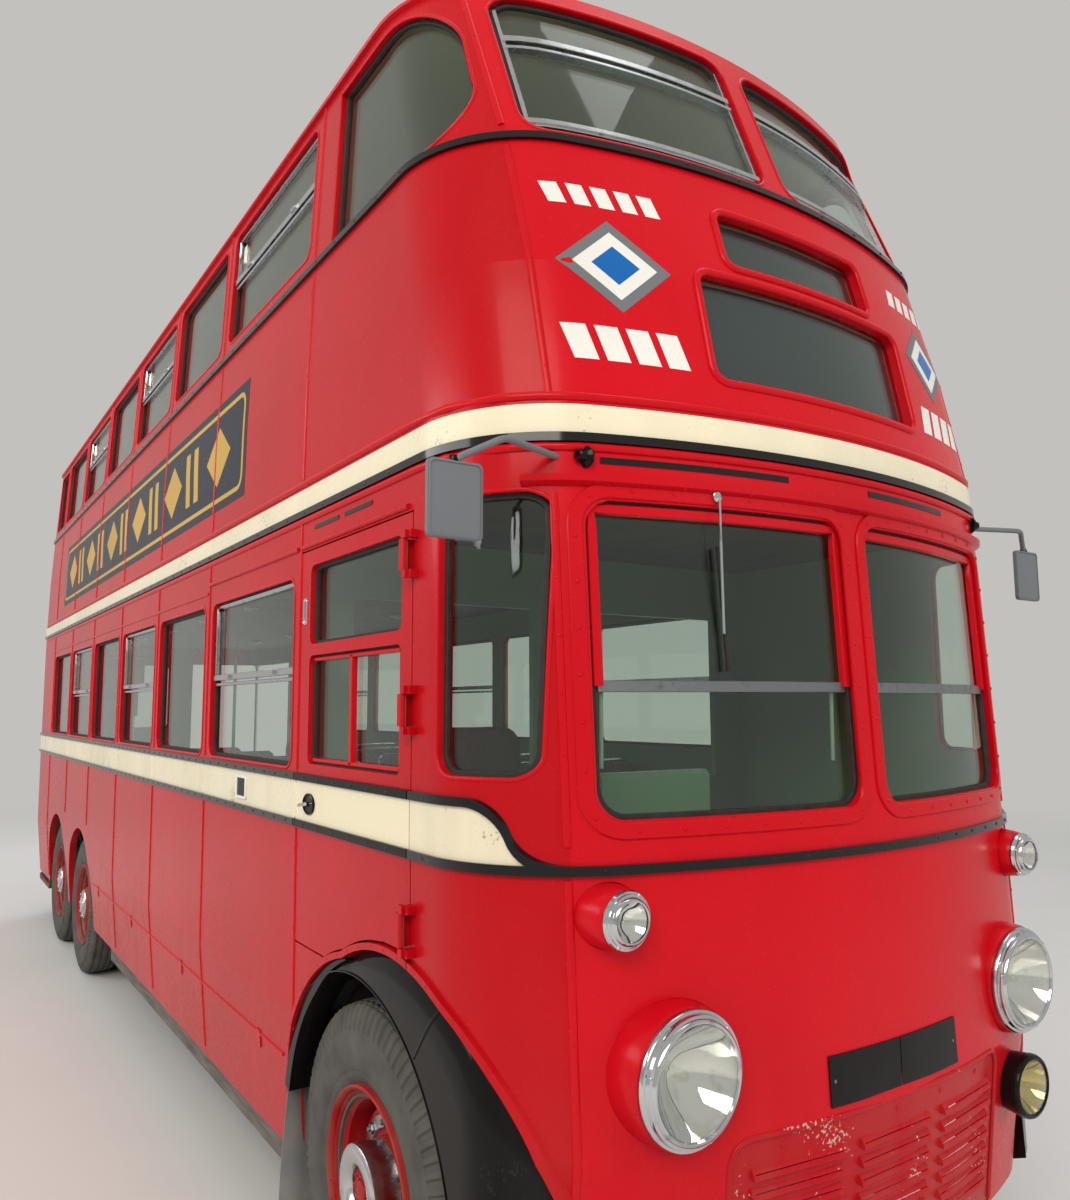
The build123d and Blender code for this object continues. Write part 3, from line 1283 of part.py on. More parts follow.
def revolved(profile, side, x, s, z):
    """Turn a wheel section about its axle, outward side facing away from the middle."""
    frame = Plane(origin=(side * x, along(s), z), x_dir=(0, 0, 1), z_dir=(0, side, 0))
    with BuildPart() as solid:
        with BuildSketch(frame):
            add(profile)
        revolve(axis=Axis((side * x, along(s), z), (1, 0, 0)))
    return solid.part


# Front wheels
front_section = wheel_profile(FRONT_TYRE_WIDTH * RIM_SHARE, FRONT_RIM_RADIUS, 12, 118, HUB_BORE)
front_tyre_section = tyre_profile(FRONT_TYRE_WIDTH, FRONT_RIM_RADIUS, FRONT_TYRE_RADIUS)
for side, name in ((-1, "offside"), (1, "nearside")):
    place = (side, FRONT_TRACK_HALF, FRONT_AXLE_S, FRONT_TYRE_RADIUS)
    with BuildPart() as front_rim:
        add(revolved(front_section, *place))
    finish(front_rim.part, f"{name}_front_wheel")
    with BuildPart() as front_tyre:
        add(revolved(front_tyre_section, *place))
    finish(front_tyre.part, f"{name}_front_tyre")

# Rear twin wheels: the two rims meet at their discs
REAR_BORE = STUB_RADIUS + RUNNING_FIT
outer_section = wheel_profile(REAR_TYRE_WIDTH * RIM_SHARE, REAR_RIM_RADIUS, -60, 95, REAR_BORE)
inner_section = wheel_profile(REAR_TYRE_WIDTH * RIM_SHARE, REAR_RIM_RADIUS, -60, -20, REAR_BORE)
rear_tyre_section = tyre_profile(REAR_TYRE_WIDTH, REAR_RIM_RADIUS, REAR_TYRE_RADIUS)
for number, axle in enumerate(REAR_AXLE_S, start=1):
    for side, name in ((-1, "offside"), (1, "nearside")):
        outer_place = (side, TWIN_OUTER_X, axle, REAR_TYRE_RADIUS)
        inner_place = (side, TWIN_OUTER_X - TWIN_SPACING, axle, REAR_TYRE_RADIUS)
        hub_frame = Plane.YZ.offset(side * (TWIN_OUTER_X - TWIN_SPACING - 40))
        with BuildPart() as twin_rim:
            add(revolved(outer_section, *outer_place))
            add(revolved(inner_section, *inner_place))
            with BuildSketch(hub_frame):
                with Locations((along(axle), REAR_TYRE_RADIUS)):
                    Circle(140)
                    Circle(REAR_BORE, mode=Mode.SUBTRACT)
            extrude(amount=side * (TWIN_SPACING - 20))
        finish(twin_rim.part, f"{name}_rear_wheel_{number}")
        tyres = [revolved(rear_tyre_section, *place) for place in (outer_place, inner_place)]
        twin_tyres = Compound(children=[tyre.solids()[0] for tyre in tyres])
        finish(twin_tyres, f"{name}_rear_tyres_{number}")

# Front wings with the liner over each wheel
wing_outline = outline_at(BODY_HALF - WING_HALF, WING_NOSE_S, 0, WING_CORNER, 0)
with BuildPart() as wing_plan:
    with BuildSketch(Plane.XY.offset(WING_FOOT_Z)):
        add(wing_outline)
    extrude(amount=WAIST_Z)
wing_solids = []
for side in (-1, 1):
    wing_body = side_shape(side, arch_sketch(-WING_GAP), CORNER_SPLIT_X + 4, WIDE)
    x = sorted((side * LINER_INNER_X, side * (CORNER_SPLIT_X + 4)))
    liner_zone = block(x, (FRONT_AXLE_S - 700, FRONT_AXLE_S + 700), (LINER_FOOT_Z, WAIST_Z))
    with BuildPart() as wing:
        add(wing_body)
        add(wing_plan.part, mode=Mode.INTERSECT)
        with BuildSketch(Plane.YZ.offset(side * 400)):
            with Locations((along(FRONT_AXLE_S), FRONT_TYRE_RADIUS)):
                Circle(FRONT_ARCH_RADIUS)
        extrude(amount=side * WIDE, mode=Mode.SUBTRACT)
    with BuildPart() as liner:
        with BuildSketch(Plane.YZ.offset(side * LINER_INNER_X)):
            with Locations((along(FRONT_AXLE_S), FRONT_TYRE_RADIUS)):
                Circle(FRONT_ARCH_RADIUS + LINER)
        extrude(amount=side * (CORNER_SPLIT_X + 6 - LINER_INNER_X))
        with BuildSketch(Plane.YZ.offset(side * (LINER_INNER_X + LINER))):
            with Locations((along(FRONT_AXLE_S), FRONT_TYRE_RADIUS)):
                Circle(FRONT_ARCH_RADIUS)
        extrude(amount=side * CORNER_SPLIT_X, mode=Mode.SUBTRACT)
        add(liner_zone, mode=Mode.INTERSECT)
    wing_solids += (wing.part + liner.part).solids()
front_wings = Compound(children=wing_solids)
finish(front_wings, "front_wings")

# Guards between the axles and mud flaps behind the front wheels
guard_solids = []
for side in (-1, 1):
    x = sorted((side * 1000, side * 1030))
    plank = block(x, (1900, 5450), (270, 400))
    hangers = []
    for s in (2300, 3400, 4500, 5400):
        hx = sorted((side * 985, side * 1000))
        hangers.append(block(hx, (s - 25, s + 25), (300, RAIL_Z[1] - 90)))
    with BuildPart() as guard:
        add(plank)
        add(hangers)
    guard_solids += guard.part.solids()
    x = sorted((side * 820, side * 1060))
    guard_solids += (block(x, (1706, 1714), (170, 760)) - lower_shell).solids()
life_guards = Compound(children=guard_solids)
finish(life_guards, "life_guards")


def lamp(x, z, radius, stand_out, body_radius, dome):
    """Round lamp facing forward: body, stepped bezel and domed lens, as one turned solid."""
    face = along(nose_at(z) + bow_at(x)) - stand_out
    back = face + stand_out + LAMP_DEPTH
    lens = radius - 26
    apex = face + 4 - dome
    sphere = (lens**2 + dome**2) / (2 * dome)
    middle = sphere - math.sqrt(sphere**2 - lens**2 / 4)
    with BuildPart() as solid:
        with BuildSketch(Plane(origin=(x, 0, z), x_dir=(1, 0, 0), z_dir=(0, 0, 1))):
            with BuildLine():
                Polyline(
                    (0, apex),
                    (0, back),
                    (body_radius, back),
                    (body_radius, face + 34),
                    (radius, face + 34),
                    (radius, face + 16),
                    (radius - 14, face),
                    (lens, face + 4),
                )
                ThreePointArc((lens, face + 4), (lens / 2, apex + middle), (0, apex))
            make_face()
        revolve(axis=Axis((x, 0, z), (0, 1, 0)))
    return solid.part


lamp_solids = [lamp(*place).solids()[0] for place in LAMPS]
front_lamps = Compound(children=lamp_solids)
finish(front_lamps, "front_lamps")

# Destination box behind the upper front panel
with BuildPart() as destination_box:
    add(block((-520, 520), (0, BOX_DEPTH_S), (2860, 3520)))
    add(upper_inner, mode=Mode.INTERSECT)
finish(destination_box.part, "destination_box")


def double_seat(x, s, floor):
    """Two-place seat facing forward: cushion, raked back and pedestal in one soft solid."""
    with BuildPart() as seat:
        with BuildSketch(Plane.YZ.offset(x - 430)):
            with BuildLine():
                Polyline(
                    (along(s), floor + 300),
                    (along(s), floor + 440),
                    (along(s + 400), floor + 420),
                    (along(s + 480), floor + 900),
                    (along(s + 560), floor + 900),
                    (along(s + 500), floor + 300),
                    close=True,
                )
            make_face()
        extrude(amount=860)
        with BuildSketch(Plane.XY.offset(floor)):
            with Locations((x, along(s + 260))):
                Rectangle(700, 60)
        extrude(amount=301)
    return seat.part


SEAT_PITCH = 730
seat_solids = []
for row in range(5):
    for side in (-1, 1):
        seat_solids += double_seat(side * 640, 1900 + row * SEAT_PITCH, SALOON_FLOOR_Z).solids()
for row in range(7):
    for side in (-1, 1):
        seat_solids += double_seat(side * 630, 1450 + row * SEAT_PITCH, UPPER_FLOOR_Z).solids()
for row in range(7, 9):
    seat_solids += double_seat(630, 1450 + row * SEAT_PITCH, UPPER_FLOOR_Z).solids()
arch_top = REAR_TYRE_RADIUS + REAR_ARCH_RADIUS + LINER
for side in (-1, 1):
    x = sorted((side * 620, side * 1060))
    back_x = sorted((side * 990, side * 1060))
    bench = block(x, (5950, 7900), (arch_top, arch_top + 160)) + block(
        back_x, (5950, 7900), (arch_top, arch_top + 560)
    )
    seat_solids += bench.solids()
driver_seat = block((DRIVER_X - 230, DRIVER_X + 230), (1180, 1560), (1330, 1450)) + block(
    (DRIVER_X - 220, DRIVER_X + 220), (1500, 1570), (1330, 1900)
)
driver_seat = driver_seat + block((DRIVER_X - 40, DRIVER_X + 130), (1250, 1500), (CAB_FLOOR_Z, 1340))
seat_solids += driver_seat.solids()
saloon_seats = Compound(children=seat_solids)
finish(saloon_seats, "saloon_seats")

# Steering column and wheel in the cab
STEER_TILT = 24
column_foot = Plane(
    origin=(DRIVER_X, along(560), CAB_FLOOR_Z + 2),
    x_dir=(1, 0, 0),
    z_dir=(0, math.sin(math.radians(STEER_TILT)), math.cos(math.radians(STEER_TILT))),
)
with BuildPart() as steering_column:
    with BuildSketch(column_foot.offset(16)):
        Circle(32)
    extrude(amount=COLUMN_LENGTH - 16)
    with BuildSketch(column_foot.offset(COLUMN_LENGTH - 20)):
        Circle(SHAFT_RADIUS)
    extrude(amount=20 + FIT + 38)
    with BuildSketch(Plane.XY.offset(CAB_FLOOR_Z)):
        with Locations((DRIVER_X, along(566))):
            Rectangle(150, 150)
    extrude(amount=24)
finish(steering_column.part, "steering_column")
with BuildPart() as steering_wheel:
    with BuildSketch(column_foot.offset(COLUMN_LENGTH + FIT)):
        Circle(45)
        Circle(SHAFT_RADIUS + RUNNING_FIT, mode=Mode.SUBTRACT)
    extrude(amount=40)
    with BuildSketch(column_foot.offset(COLUMN_LENGTH + FIT + 8)):
        Circle(245)
        Circle(217, mode=Mode.SUBTRACT)
        for spoke in range(4):
            with Locations(Rot(0, 0, 90 * spoke) * Location((130, 0))):
                Rectangle(200, 22)
    extrude(amount=26)
finish(steering_wheel.part, "steering_wheel")

# Hand poles on the platform and rails in the saloon
pole_solids = []
for x, s, low, high in (
    (1040, 9010, PLATFORM_Z, ENTRANCE_TOP_Z),
    (560, 8200, PLATFORM_Z, UPPER_FLOOR_Z - UPPER_FLOOR_THICKNESS),
    (-420, 8130 + 90, PLATFORM_Z, UPPER_FLOOR_Z - UPPER_FLOOR_THICKNESS),
):
    with BuildPart() as pole:
        with BuildSketch(Plane.XY.offset(low)):
            with Locations((x, along(s))):
                Circle(17)
        extrude(amount=high - low)
    pole_solids += pole.part.solids()
with BuildPart() as stair_rail:
    for s in (LANDING_S - 5 * FLIGHT_GOING, LANDING_S - 2.5 * FLIGHT_GOING, LANDING_S + 180):
        with BuildSketch(Plane.XY.offset(UPPER_FLOOR_Z)):
            with Locations((STAIR_INNER_X + 30, along(s))):
                Circle(15)
        extrude(amount=900)
    with BuildSketch(Plane.XZ.offset(-along(LANDING_S - 5 * FLIGHT_GOING - 15))):
        with Locations((STAIR_INNER_X + 30, UPPER_FLOOR_Z + 900)):
            Circle(16)
    extrude(amount=-(5 * FLIGHT_GOING + 210))
pole_solids += stair_rail.part.solids()
hand_rails = Compound(children=pole_solids)
finish(hand_rails, "hand_rails")

# Driving mirrors on arms from the canopy corners
mirror_solids = []
for side in (-1, 1):
    with BuildPart() as mirror:
        with BuildLine():
            arm = FilletPolyline(
                (side * 880, along(290), 2618),
                (side * 1150, along(190), 2618),
                (side * 1262, along(245), 2560),
                (side * 1262, along(245), 2470),
                radius=40,
            )
        with BuildSketch(Plane(origin=arm @ 0, z_dir=arm % 0)):
            Circle(9)
        sweep(path=arm)
        with BuildSketch(Plane.XZ.offset(-along(232))):
            with Locations((side * 1262, 2460)):
                RectangleRounded(150, 190, 14)
        extrude(amount=-14)
    mirror_solids += (mirror.part - lower_outer).solids()
mirrors = Compound(children=mirror_solids)
finish(mirrors, "mirrors")

# Gantry on the roof: plank walkway on feet, two boom bases and the rest pads
plank_bottom = GANTRY_Z
with BuildPart() as trolley_gantry:
    add(block((-480, 480), (BOOM_BASE_S - 650, BOOM_BASE_S + 450), (plank_bottom, plank_bottom + 40)))
    add(
        [
            block((-420, 420), (s - 30, s + 30), (4480, plank_bottom + 1))
            for s in (BOOM_BASE_S - 550, BOOM_BASE_S - 100, BOOM_BASE_S + 350)
        ]
    )
    for side in (-1, 1):
        with BuildSketch(Plane.XY.offset(plank_bottom + 40)):
            with Locations((side * BOOM_SPACING_HALF, along(BOOM_BASE_S))):
                Circle(120)
        extrude(amount=BASE_HEIGHT)
        with BuildSketch(Plane.XY.offset(plank_bottom + 40)):
            with Locations((side * BOOM_SPACING_HALF, along(BOOM_BASE_S))):
                Circle(SPIGOT_RADIUS)
        extrude(amount=BASE_HEIGHT + FIT + TABLE_THICKNESS)
    add(roof_outer, mode=Mode.SUBTRACT)
rest_z = BOOM_PIVOT_Z - BOOM_ROOT_RADIUS + 2
with BuildPart() as rest_bar:
    add(block((-620, 620), (BOOM_REST_S - 40, BOOM_REST_S + 40), (rest_z - 50, rest_z - 10)))
    for side in (-1, 1):
        x = sorted((side * 540, side * 600))
        add(block(x, (BOOM_REST_S - 25, BOOM_REST_S + 25), (4400, rest_z - 50)))
    add(roof_outer, mode=Mode.SUBTRACT)
gantry_parts = trolley_gantry.part.solids() + rest_bar.part.solids()
gantry = Compound(children=gantry_parts)
finish(gantry, "trolley_gantry")

# Turntables with their springs, and the two booms
TABLE_LOW = plank_bottom + 40 + BASE_HEIGHT + FIT
for side, name in ((-1, "offside"), (1, "nearside")):
    x = side * BOOM_SPACING_HALF
    with BuildPart() as turntable:
        with BuildSketch(Plane.XY.offset(TABLE_LOW)):
            with Locations((x, along(BOOM_BASE_S))):
                Circle(115)
                Circle(SPIGOT_RADIUS + RUNNING_FIT, mode=Mode.SUBTRACT)
        extrude(amount=TABLE_THICKNESS)
        for way in (-1, 1):
            cheek = sorted((x + way * 50, x + way * 66))
            add(block(cheek, (BOOM_BASE_S - 60, BOOM_BASE_S + 60), (TABLE_LOW + 29, BOOM_PIVOT_Z + 45)))
            with BuildSketch(Plane.XZ.offset(-along(BOOM_BASE_S - 480))):
                with Locations((x + way * 88, BOOM_PIVOT_Z - 20)):
                    Circle(24)
            extrude(amount=-500)
            lug = sorted((x + way * 60, x + way * 92))
            add(block(lug, (BOOM_BASE_S - 10, BOOM_BASE_S + 40), (BOOM_PIVOT_Z - 45, BOOM_PIVOT_Z + 5)))
        add(block((x - 110, x + 110), (BOOM_BASE_S - 500, BOOM_BASE_S - 470), (BOOM_PIVOT_Z - 45, BOOM_PIVOT_Z + 5)))
        with BuildSketch(Plane.YZ.offset(x - 66)):
            with Locations((along(BOOM_BASE_S), BOOM_PIVOT_Z)):
                Circle(16)
        extrude(amount=132)
    finish(turntable.part, f"{name}_turntable")
    boom_start = BOOM_BASE_S + 30
    with BuildPart() as boom:
        with BuildSketch(Plane.XZ.offset(-along(boom_start))):
            with Locations((x, BOOM_PIVOT_Z)):
                Circle(BOOM_ROOT_RADIUS)
        with BuildSketch(Plane.XZ.offset(-along(BOOM_TIP_S - HEAD_LENGTH))):
            with Locations((x, BOOM_PIVOT_Z)):
                Circle(BOOM_TIP_RADIUS)
        loft()
        with BuildSketch(Plane.YZ.offset(x - 40)):
            with Locations((along(BOOM_BASE_S), BOOM_PIVOT_Z)):
                Circle(42)
            with Locations((along(BOOM_BASE_S + 50), BOOM_PIVOT_Z)):
                Rectangle(100, 76)
        extrude(amount=80)
        with BuildSketch(Plane.YZ.offset(x - 50)):
            with Locations((along(BOOM_BASE_S), BOOM_PIVOT_Z)):
                Circle(16 + RUNNING_FIT)
        extrude(amount=100, mode=Mode.SUBTRACT)
        with BuildSketch(Plane.YZ.offset(x - 26)):
            with BuildLine():
                head = along(BOOM_TIP_S - HEAD_LENGTH)
                Polyline(
                    (head - 30, BOOM_PIVOT_Z - 26),
                    (head + 60, BOOM_PIVOT_Z - 26),
                    (head + HEAD_LENGTH, BOOM_PIVOT_Z + 40),
                    (head + HEAD_LENGTH, BOOM_PIVOT_Z + 95),
                    (head + 40, BOOM_PIVOT_Z + 95),
                    (head + 20, BOOM_PIVOT_Z + 26),
                    (head - 30, BOOM_PIVOT_Z + 26),
                    close=True,
                )
            make_face()
        extrude(amount=52)
    finish(boom.part, f"{name}_boom")
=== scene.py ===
"""Looks of a late-1930s six-wheel double-deck trolleybus, dressed over its construction model.

The front faces -Y, the driver's offside is -X, the kerb side is +X. All lengths are metres.
"""

import functools
import json
import logging
import math
from dataclasses import dataclass, field
from enum import Enum
from typing import Callable, Mapping, Optional, Sequence

import bmesh
import bpy
import numpy as np
from mathutils import Matrix, Vector
from mathutils.bvhtree import BVHTree

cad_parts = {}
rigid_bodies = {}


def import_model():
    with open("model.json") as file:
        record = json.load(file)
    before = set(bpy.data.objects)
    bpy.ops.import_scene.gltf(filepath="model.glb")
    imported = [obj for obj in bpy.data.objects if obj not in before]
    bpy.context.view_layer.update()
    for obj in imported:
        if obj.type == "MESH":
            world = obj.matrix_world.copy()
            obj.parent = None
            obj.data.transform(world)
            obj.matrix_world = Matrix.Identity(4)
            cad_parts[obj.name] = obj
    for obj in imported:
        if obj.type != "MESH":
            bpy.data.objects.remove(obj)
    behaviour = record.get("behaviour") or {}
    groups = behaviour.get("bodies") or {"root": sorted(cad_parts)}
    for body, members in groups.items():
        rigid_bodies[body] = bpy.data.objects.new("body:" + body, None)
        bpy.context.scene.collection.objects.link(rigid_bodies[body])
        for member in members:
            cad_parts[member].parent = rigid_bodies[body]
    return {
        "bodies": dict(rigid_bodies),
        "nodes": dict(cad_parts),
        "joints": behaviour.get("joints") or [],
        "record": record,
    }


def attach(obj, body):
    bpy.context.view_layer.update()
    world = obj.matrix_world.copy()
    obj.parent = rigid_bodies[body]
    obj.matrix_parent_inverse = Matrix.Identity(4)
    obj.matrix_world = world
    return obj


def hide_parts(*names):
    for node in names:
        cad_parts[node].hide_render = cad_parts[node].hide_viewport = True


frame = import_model()

LOG = logging.getLogger("trolleybus")
ROOT = "bus_body"
ORIGIN_S = 4.892
BODY_HALF = 1.143
BOW = 2.740
TAIL_BOW = 5.200
TAIL_SHARE = 0.62
LENGTH = 9.144

Array = np.ndarray
Loop = Array
Points = Array | Sequence[Sequence[float]]
SurfaceMap = Callable[[Array, Array], Array]
Socket = bpy.types.NodeSocket


class Side(Enum):
    """The two sides of the bus, with the sign of X."""

    OFFSIDE = -1
    NEARSIDE = 1

    @property
    def word(self) -> str:
        """The side's name in piece and body names."""
        return self.name.lower()

    def span(self, ends: Sequence[float]) -> tuple[float, ...]:
        """Two distances out from the middle as a rising range of X on this side."""
        return tuple(sorted(self.value * end for end in ends))


class Zone(Enum):
    """Which way a wall panel faces, so that its lining gets the inside colour."""

    SIDE = "side"
    END = "end"
    ROOF = "roof"
    NONE = "none"


def along(s: Array | float) -> Array | float:
    """Turn a distance back from the nose into Y."""
    return s - ORIGIN_S


def spot(x: float, s: float, z: float) -> tuple[float, float, float]:
    """Point at a distance across, a distance back from the nose and a height."""
    return (x, float(along(s)), z)


# ---- Body surface


@dataclass(frozen=True)
class BodySurface:
    """Outer surface of the body: a bowed nose, round corners and flat sides that lean in above.

    Each row is height, side tuck, nose setback, tail setback and corner radius, and the sizes
    between two rows change in straight lines.
    """

    rows: tuple[tuple[float, float, float, float, float], ...] = (
        (0.420, 0.048, 0.055, 0.030, 0.420),
        (0.900, 0.005, 0.000, 0.008, 0.420),
        (1.600, 0.000, 0.030, 0.000, 0.420),
        (2.510, 0.000, 0.078, 0.000, 0.420),
        (2.750, 0.000, 0.088, 0.004, 0.425),
        (3.200, 0.007, 0.178, 0.024, 0.440),
        (3.645, 0.025, 0.300, 0.055, 0.455),
        (4.300, 0.058, 0.545, 0.130, 0.480),
        (4.372, 0.092, 0.632, 0.180, 0.470),
        (4.435, 0.158, 0.782, 0.262, 0.450),
        (4.485, 0.290, 1.000, 0.410, 0.420),
        (4.520, 0.510, 1.330, 0.700, 0.360),
        (4.538, 0.830, 1.900, 1.200, 0.200),
    )

    def sizes(self, z: Array) -> tuple[Array, Array, Array, Array]:
        """Half width, nose setback, tail setback and corner radius at each height.

        Args:
            z: heights.

        Returns:
            Four arrays as long as z.
        """
        table = np.array(self.rows)
        half = BODY_HALF - np.interp(z, table[:, 0], table[:, 1])
        rest = [np.interp(z, table[:, 0], table[:, column]) for column in (2, 3, 4)]
        return half, rest[0], rest[1], rest[2]

    def front(self, x: Array, z: Array) -> Array:
        """Points on the nose and its corners, seen from the front.

        The bow is a circle of radius BOW about a point on the centre line. Past the point where
        it touches the corner's circle, the point lies on that smaller circle.

        Args:
            x: distances across.
            z: heights.

        Returns:
            An array of points, last axis X, Y, Z.
        """
        x, z = np.broadcast_arrays(np.asarray(x, float), np.asarray(z, float))
        half, nose, _, corner = self.sizes(z)
        centre_x = half - corner
        drop = np.sqrt((BOW - corner) ** 2 - centre_x**2)
        centre_s = nose + BOW - drop
        touch = centre_x * BOW / (BOW - corner)
        reach = np.clip(np.abs(x) - centre_x, 0, corner * 0.9999)
        bowed = nose + BOW - np.sqrt(BOW**2 - np.clip(np.abs(x), 0, 1.3) ** 2)
        rounded = centre_s - np.sqrt(corner**2 - reach**2)
        s = np.where(np.abs(x) <= touch, bowed, rounded)
        return np.stack([x, along(s), z], axis=-1)

    def flank(self, side: Side, s: Array, z: Array) -> Array:
        """Points on one side, seen from that side; ahead of the flat part they lie on the corner.

        Args:
            side: which side.
            s: distances back from the nose.
            z: heights.

        Returns:
            An array of points, last axis X, Y, Z.
        """
        s, z = np.broadcast_arrays(np.asarray(s, float), np.asarray(z, float))
        half, nose, tail, corner = self.sizes(z)
        centre_x = half - corner
        centre_s = nose + BOW - np.sqrt((BOW - corner) ** 2 - centre_x**2)
        reach = np.clip(centre_s - s, 0, corner * 0.985)
        front_x = centre_x + np.sqrt(corner**2 - reach**2)
        small = corner * TAIL_SHARE
        tail_x = half - small
        tail_s = LENGTH - tail - TAIL_BOW + np.sqrt((TAIL_BOW - small) ** 2 - tail_x**2)
        back = np.clip(s - tail_s, 0, small * 0.985)
        rear_x = tail_x + np.sqrt(small**2 - back**2)
        across = np.where(s < centre_s, front_x, np.where(s > tail_s, rear_x, half))
        return np.stack([side.value * across, along(s), z], axis=-1)

    def back(self, x: Array, z: Array) -> Array:
        """Points on the bowed tail, seen from behind.

        Args:
            x: distances across.
            z: heights.

        Returns:
            An array of points, last axis X, Y, Z.
        """
        x, z = np.broadcast_arrays(np.asarray(x, float), np.asarray(z, float))
        half, _, tail, corner = self.sizes(z)
        small = corner * TAIL_SHARE
        centre_x = half - small
        drop = np.sqrt((TAIL_BOW - small) ** 2 - centre_x**2)
        centre_s = LENGTH - tail - TAIL_BOW + drop
        touch = centre_x * TAIL_BOW / (TAIL_BOW - small)
        reach = np.clip(np.abs(x) - centre_x, 0, small * 0.9999)
        bowed = LENGTH - tail - TAIL_BOW + np.sqrt(TAIL_BOW**2 - x**2)
        rounded = centre_s + np.sqrt(small**2 - reach**2)
        s = np.where(np.abs(x) <= touch, bowed, rounded)
        return np.stack([x, along(s), z], axis=-1)


BODY = BodySurface()


def offside(s: Array, z: Array) -> Array:
    """Points on the offside for distances back and heights."""
    return BODY.flank(Side.OFFSIDE, s, z)


def nearside(s: Array, z: Array) -> Array:
    """Points on the nearside for distances back and heights."""
    return BODY.flank(Side.NEARSIDE, s, z)


FLANK: dict[Side, SurfaceMap] = {Side.OFFSIDE: offside, Side.NEARSIDE: nearside}


def surface_normals(surface: SurfaceMap, u: Array, v: Array) -> Array:
    """Unit normals of a surface that point away from the middle of the bus.

    The normal is the cross product of two small steps along the surface.

    Args:
        surface: map from two numbers to points.
        u: first numbers.
        v: second numbers.

    Returns:
        An array of unit vectors.
    """
    step = 1e-3
    du = surface(u + step, v) - surface(u - step, v)
    dv = surface(u, v + step) - surface(u, v - step)
    normal = np.cross(du, dv)
    normal /= np.linalg.norm(normal, axis=-1, keepdims=True) + 1e-12
    outward = surface(u, v) * np.array([1.0, 0.3, 0.0])
    sign = np.sign(np.sum(normal * outward, axis=-1, keepdims=True))
    return normal * np.where(sign == 0, 1, sign)


# ---- Curves


def arc(start: Sequence[float], middle: Sequence[float], end: Sequence[float], count: int) -> Array:
    """Points on the circle through three points, from the first to the last.

    Args:
        start: first point.
        middle: a point between.
        end: last point.
        count: how many points.

    Returns:
        An array of count points.
    """
    a, b, c = (np.array(p, float) for p in (start, middle, end))
    d = 2 * (a[0] * (b[1] - c[1]) + b[0] * (c[1] - a[1]) + c[0] * (a[1] - b[1]))
    squares = [np.dot(p, p) for p in (a, b, c)]
    ux = (squares[0] * (b[1] - c[1]) + squares[1] * (c[1] - a[1]) + squares[2] * (a[1] - b[1])) / d
    uy = (squares[0] * (c[0] - b[0]) + squares[1] * (a[0] - c[0]) + squares[2] * (b[0] - a[0])) / d
    centre = np.array([ux, uy])
    radius = np.linalg.norm(a - centre)
    angles = [math.atan2(*(p - centre)[::-1]) for p in (a, b, c)]
    turn = (angles[2] - angles[0]) % (2 * math.pi)
    if (angles[1] - angles[0]) % (2 * math.pi) > turn:
        turn -= 2 * math.pi
    way = angles[0] + np.linspace(0, turn, count)
    return centre + radius * np.stack([np.cos(way), np.sin(way)], axis=-1)


def rounded_loop(u: Sequence[float], v: Sequence[float], radius: float, count: int = 7) -> Loop:
    """Closed loop of a rectangle with quarter-circle corners.

    Args:
        u: lowest and highest first number.
        v: lowest and highest second number.
        radius: corner radius.
        count: points in each corner.

    Returns:
        An array of points; the last joins the first.
    """
    quarter = np.linspace(0, math.pi / 2, count)
    corners = []
    for cu, cv, start in (
        (u[1] - radius, v[1] - radius, 0.0),
        (u[0] + radius, v[1] - radius, 0.5),
        (u[0] + radius, v[0] + radius, 1.0),
        (u[1] - radius, v[0] + radius, 1.5),
    ):
        angle = quarter + start * math.pi
        corners.append(
            np.stack([cu + radius * np.cos(angle), cv + radius * np.sin(angle)], axis=-1)
        )
    return np.concatenate(corners)


def inset_loop(
    u: Sequence[float], v: Sequence[float], gap: float, radius: float, count: int = 7
) -> Loop:
    """Rounded loop a gap inside a rectangle, or outside it for a negative gap."""
    return rounded_loop((u[0] + gap, u[1] - gap), (v[0] + gap, v[1] - gap), radius, count)


def level_line(low: float, high: float, v: float, count: int) -> Array:
    """Line of even steps of the first number, with one second number."""
    return np.stack([np.linspace(low, high, count), np.full(count, v)], axis=-1)


def upright_line(u: float, low: float, high: float, count: int) -> Array:
    """Line of even steps of the second number, with one first number."""
    return level_line(low, high, u, count)[:, ::-1]


def refine(points: Points, step: float, closed: bool) -> Array:
    """Add points on long straight runs, evenly spaced.

    Args:
        points: corner points.
        step: the longest run to leave.
        closed: true if the last point joins the first.

    Returns:
        An array with more points.
    """
    points = np.asarray(points, float)
    ends = np.roll(points, -1, axis=0) if closed else points[1:]
    starts = points if closed else points[:-1]
    out = []
    for a, b in zip(starts, ends):
        parts = max(1, int(np.ceil(np.linalg.norm(b - a) / step)))
        out.append(a + (b - a) * (np.arange(parts) / parts)[:, None])
    if not closed:
        out.append(points[-1:])
    return np.concatenate(out)


def half_round(width: float, height: float, count: int = 7) -> Array:
    """Closed section of a half-round bead: flat below, an arch above.

    Args:
        width: across the surface.
        height: away from the surface.
        count: points on the arch.

    Returns:
        An array of section points, across and away.
    """
    angle = np.linspace(0, math.pi, count)
    top = np.stack([np.cos(angle) * width / 2, np.sin(angle) * height], axis=-1)
    return np.concatenate([top, [[-width / 2, -0.002], [width / 2, -0.002]]])


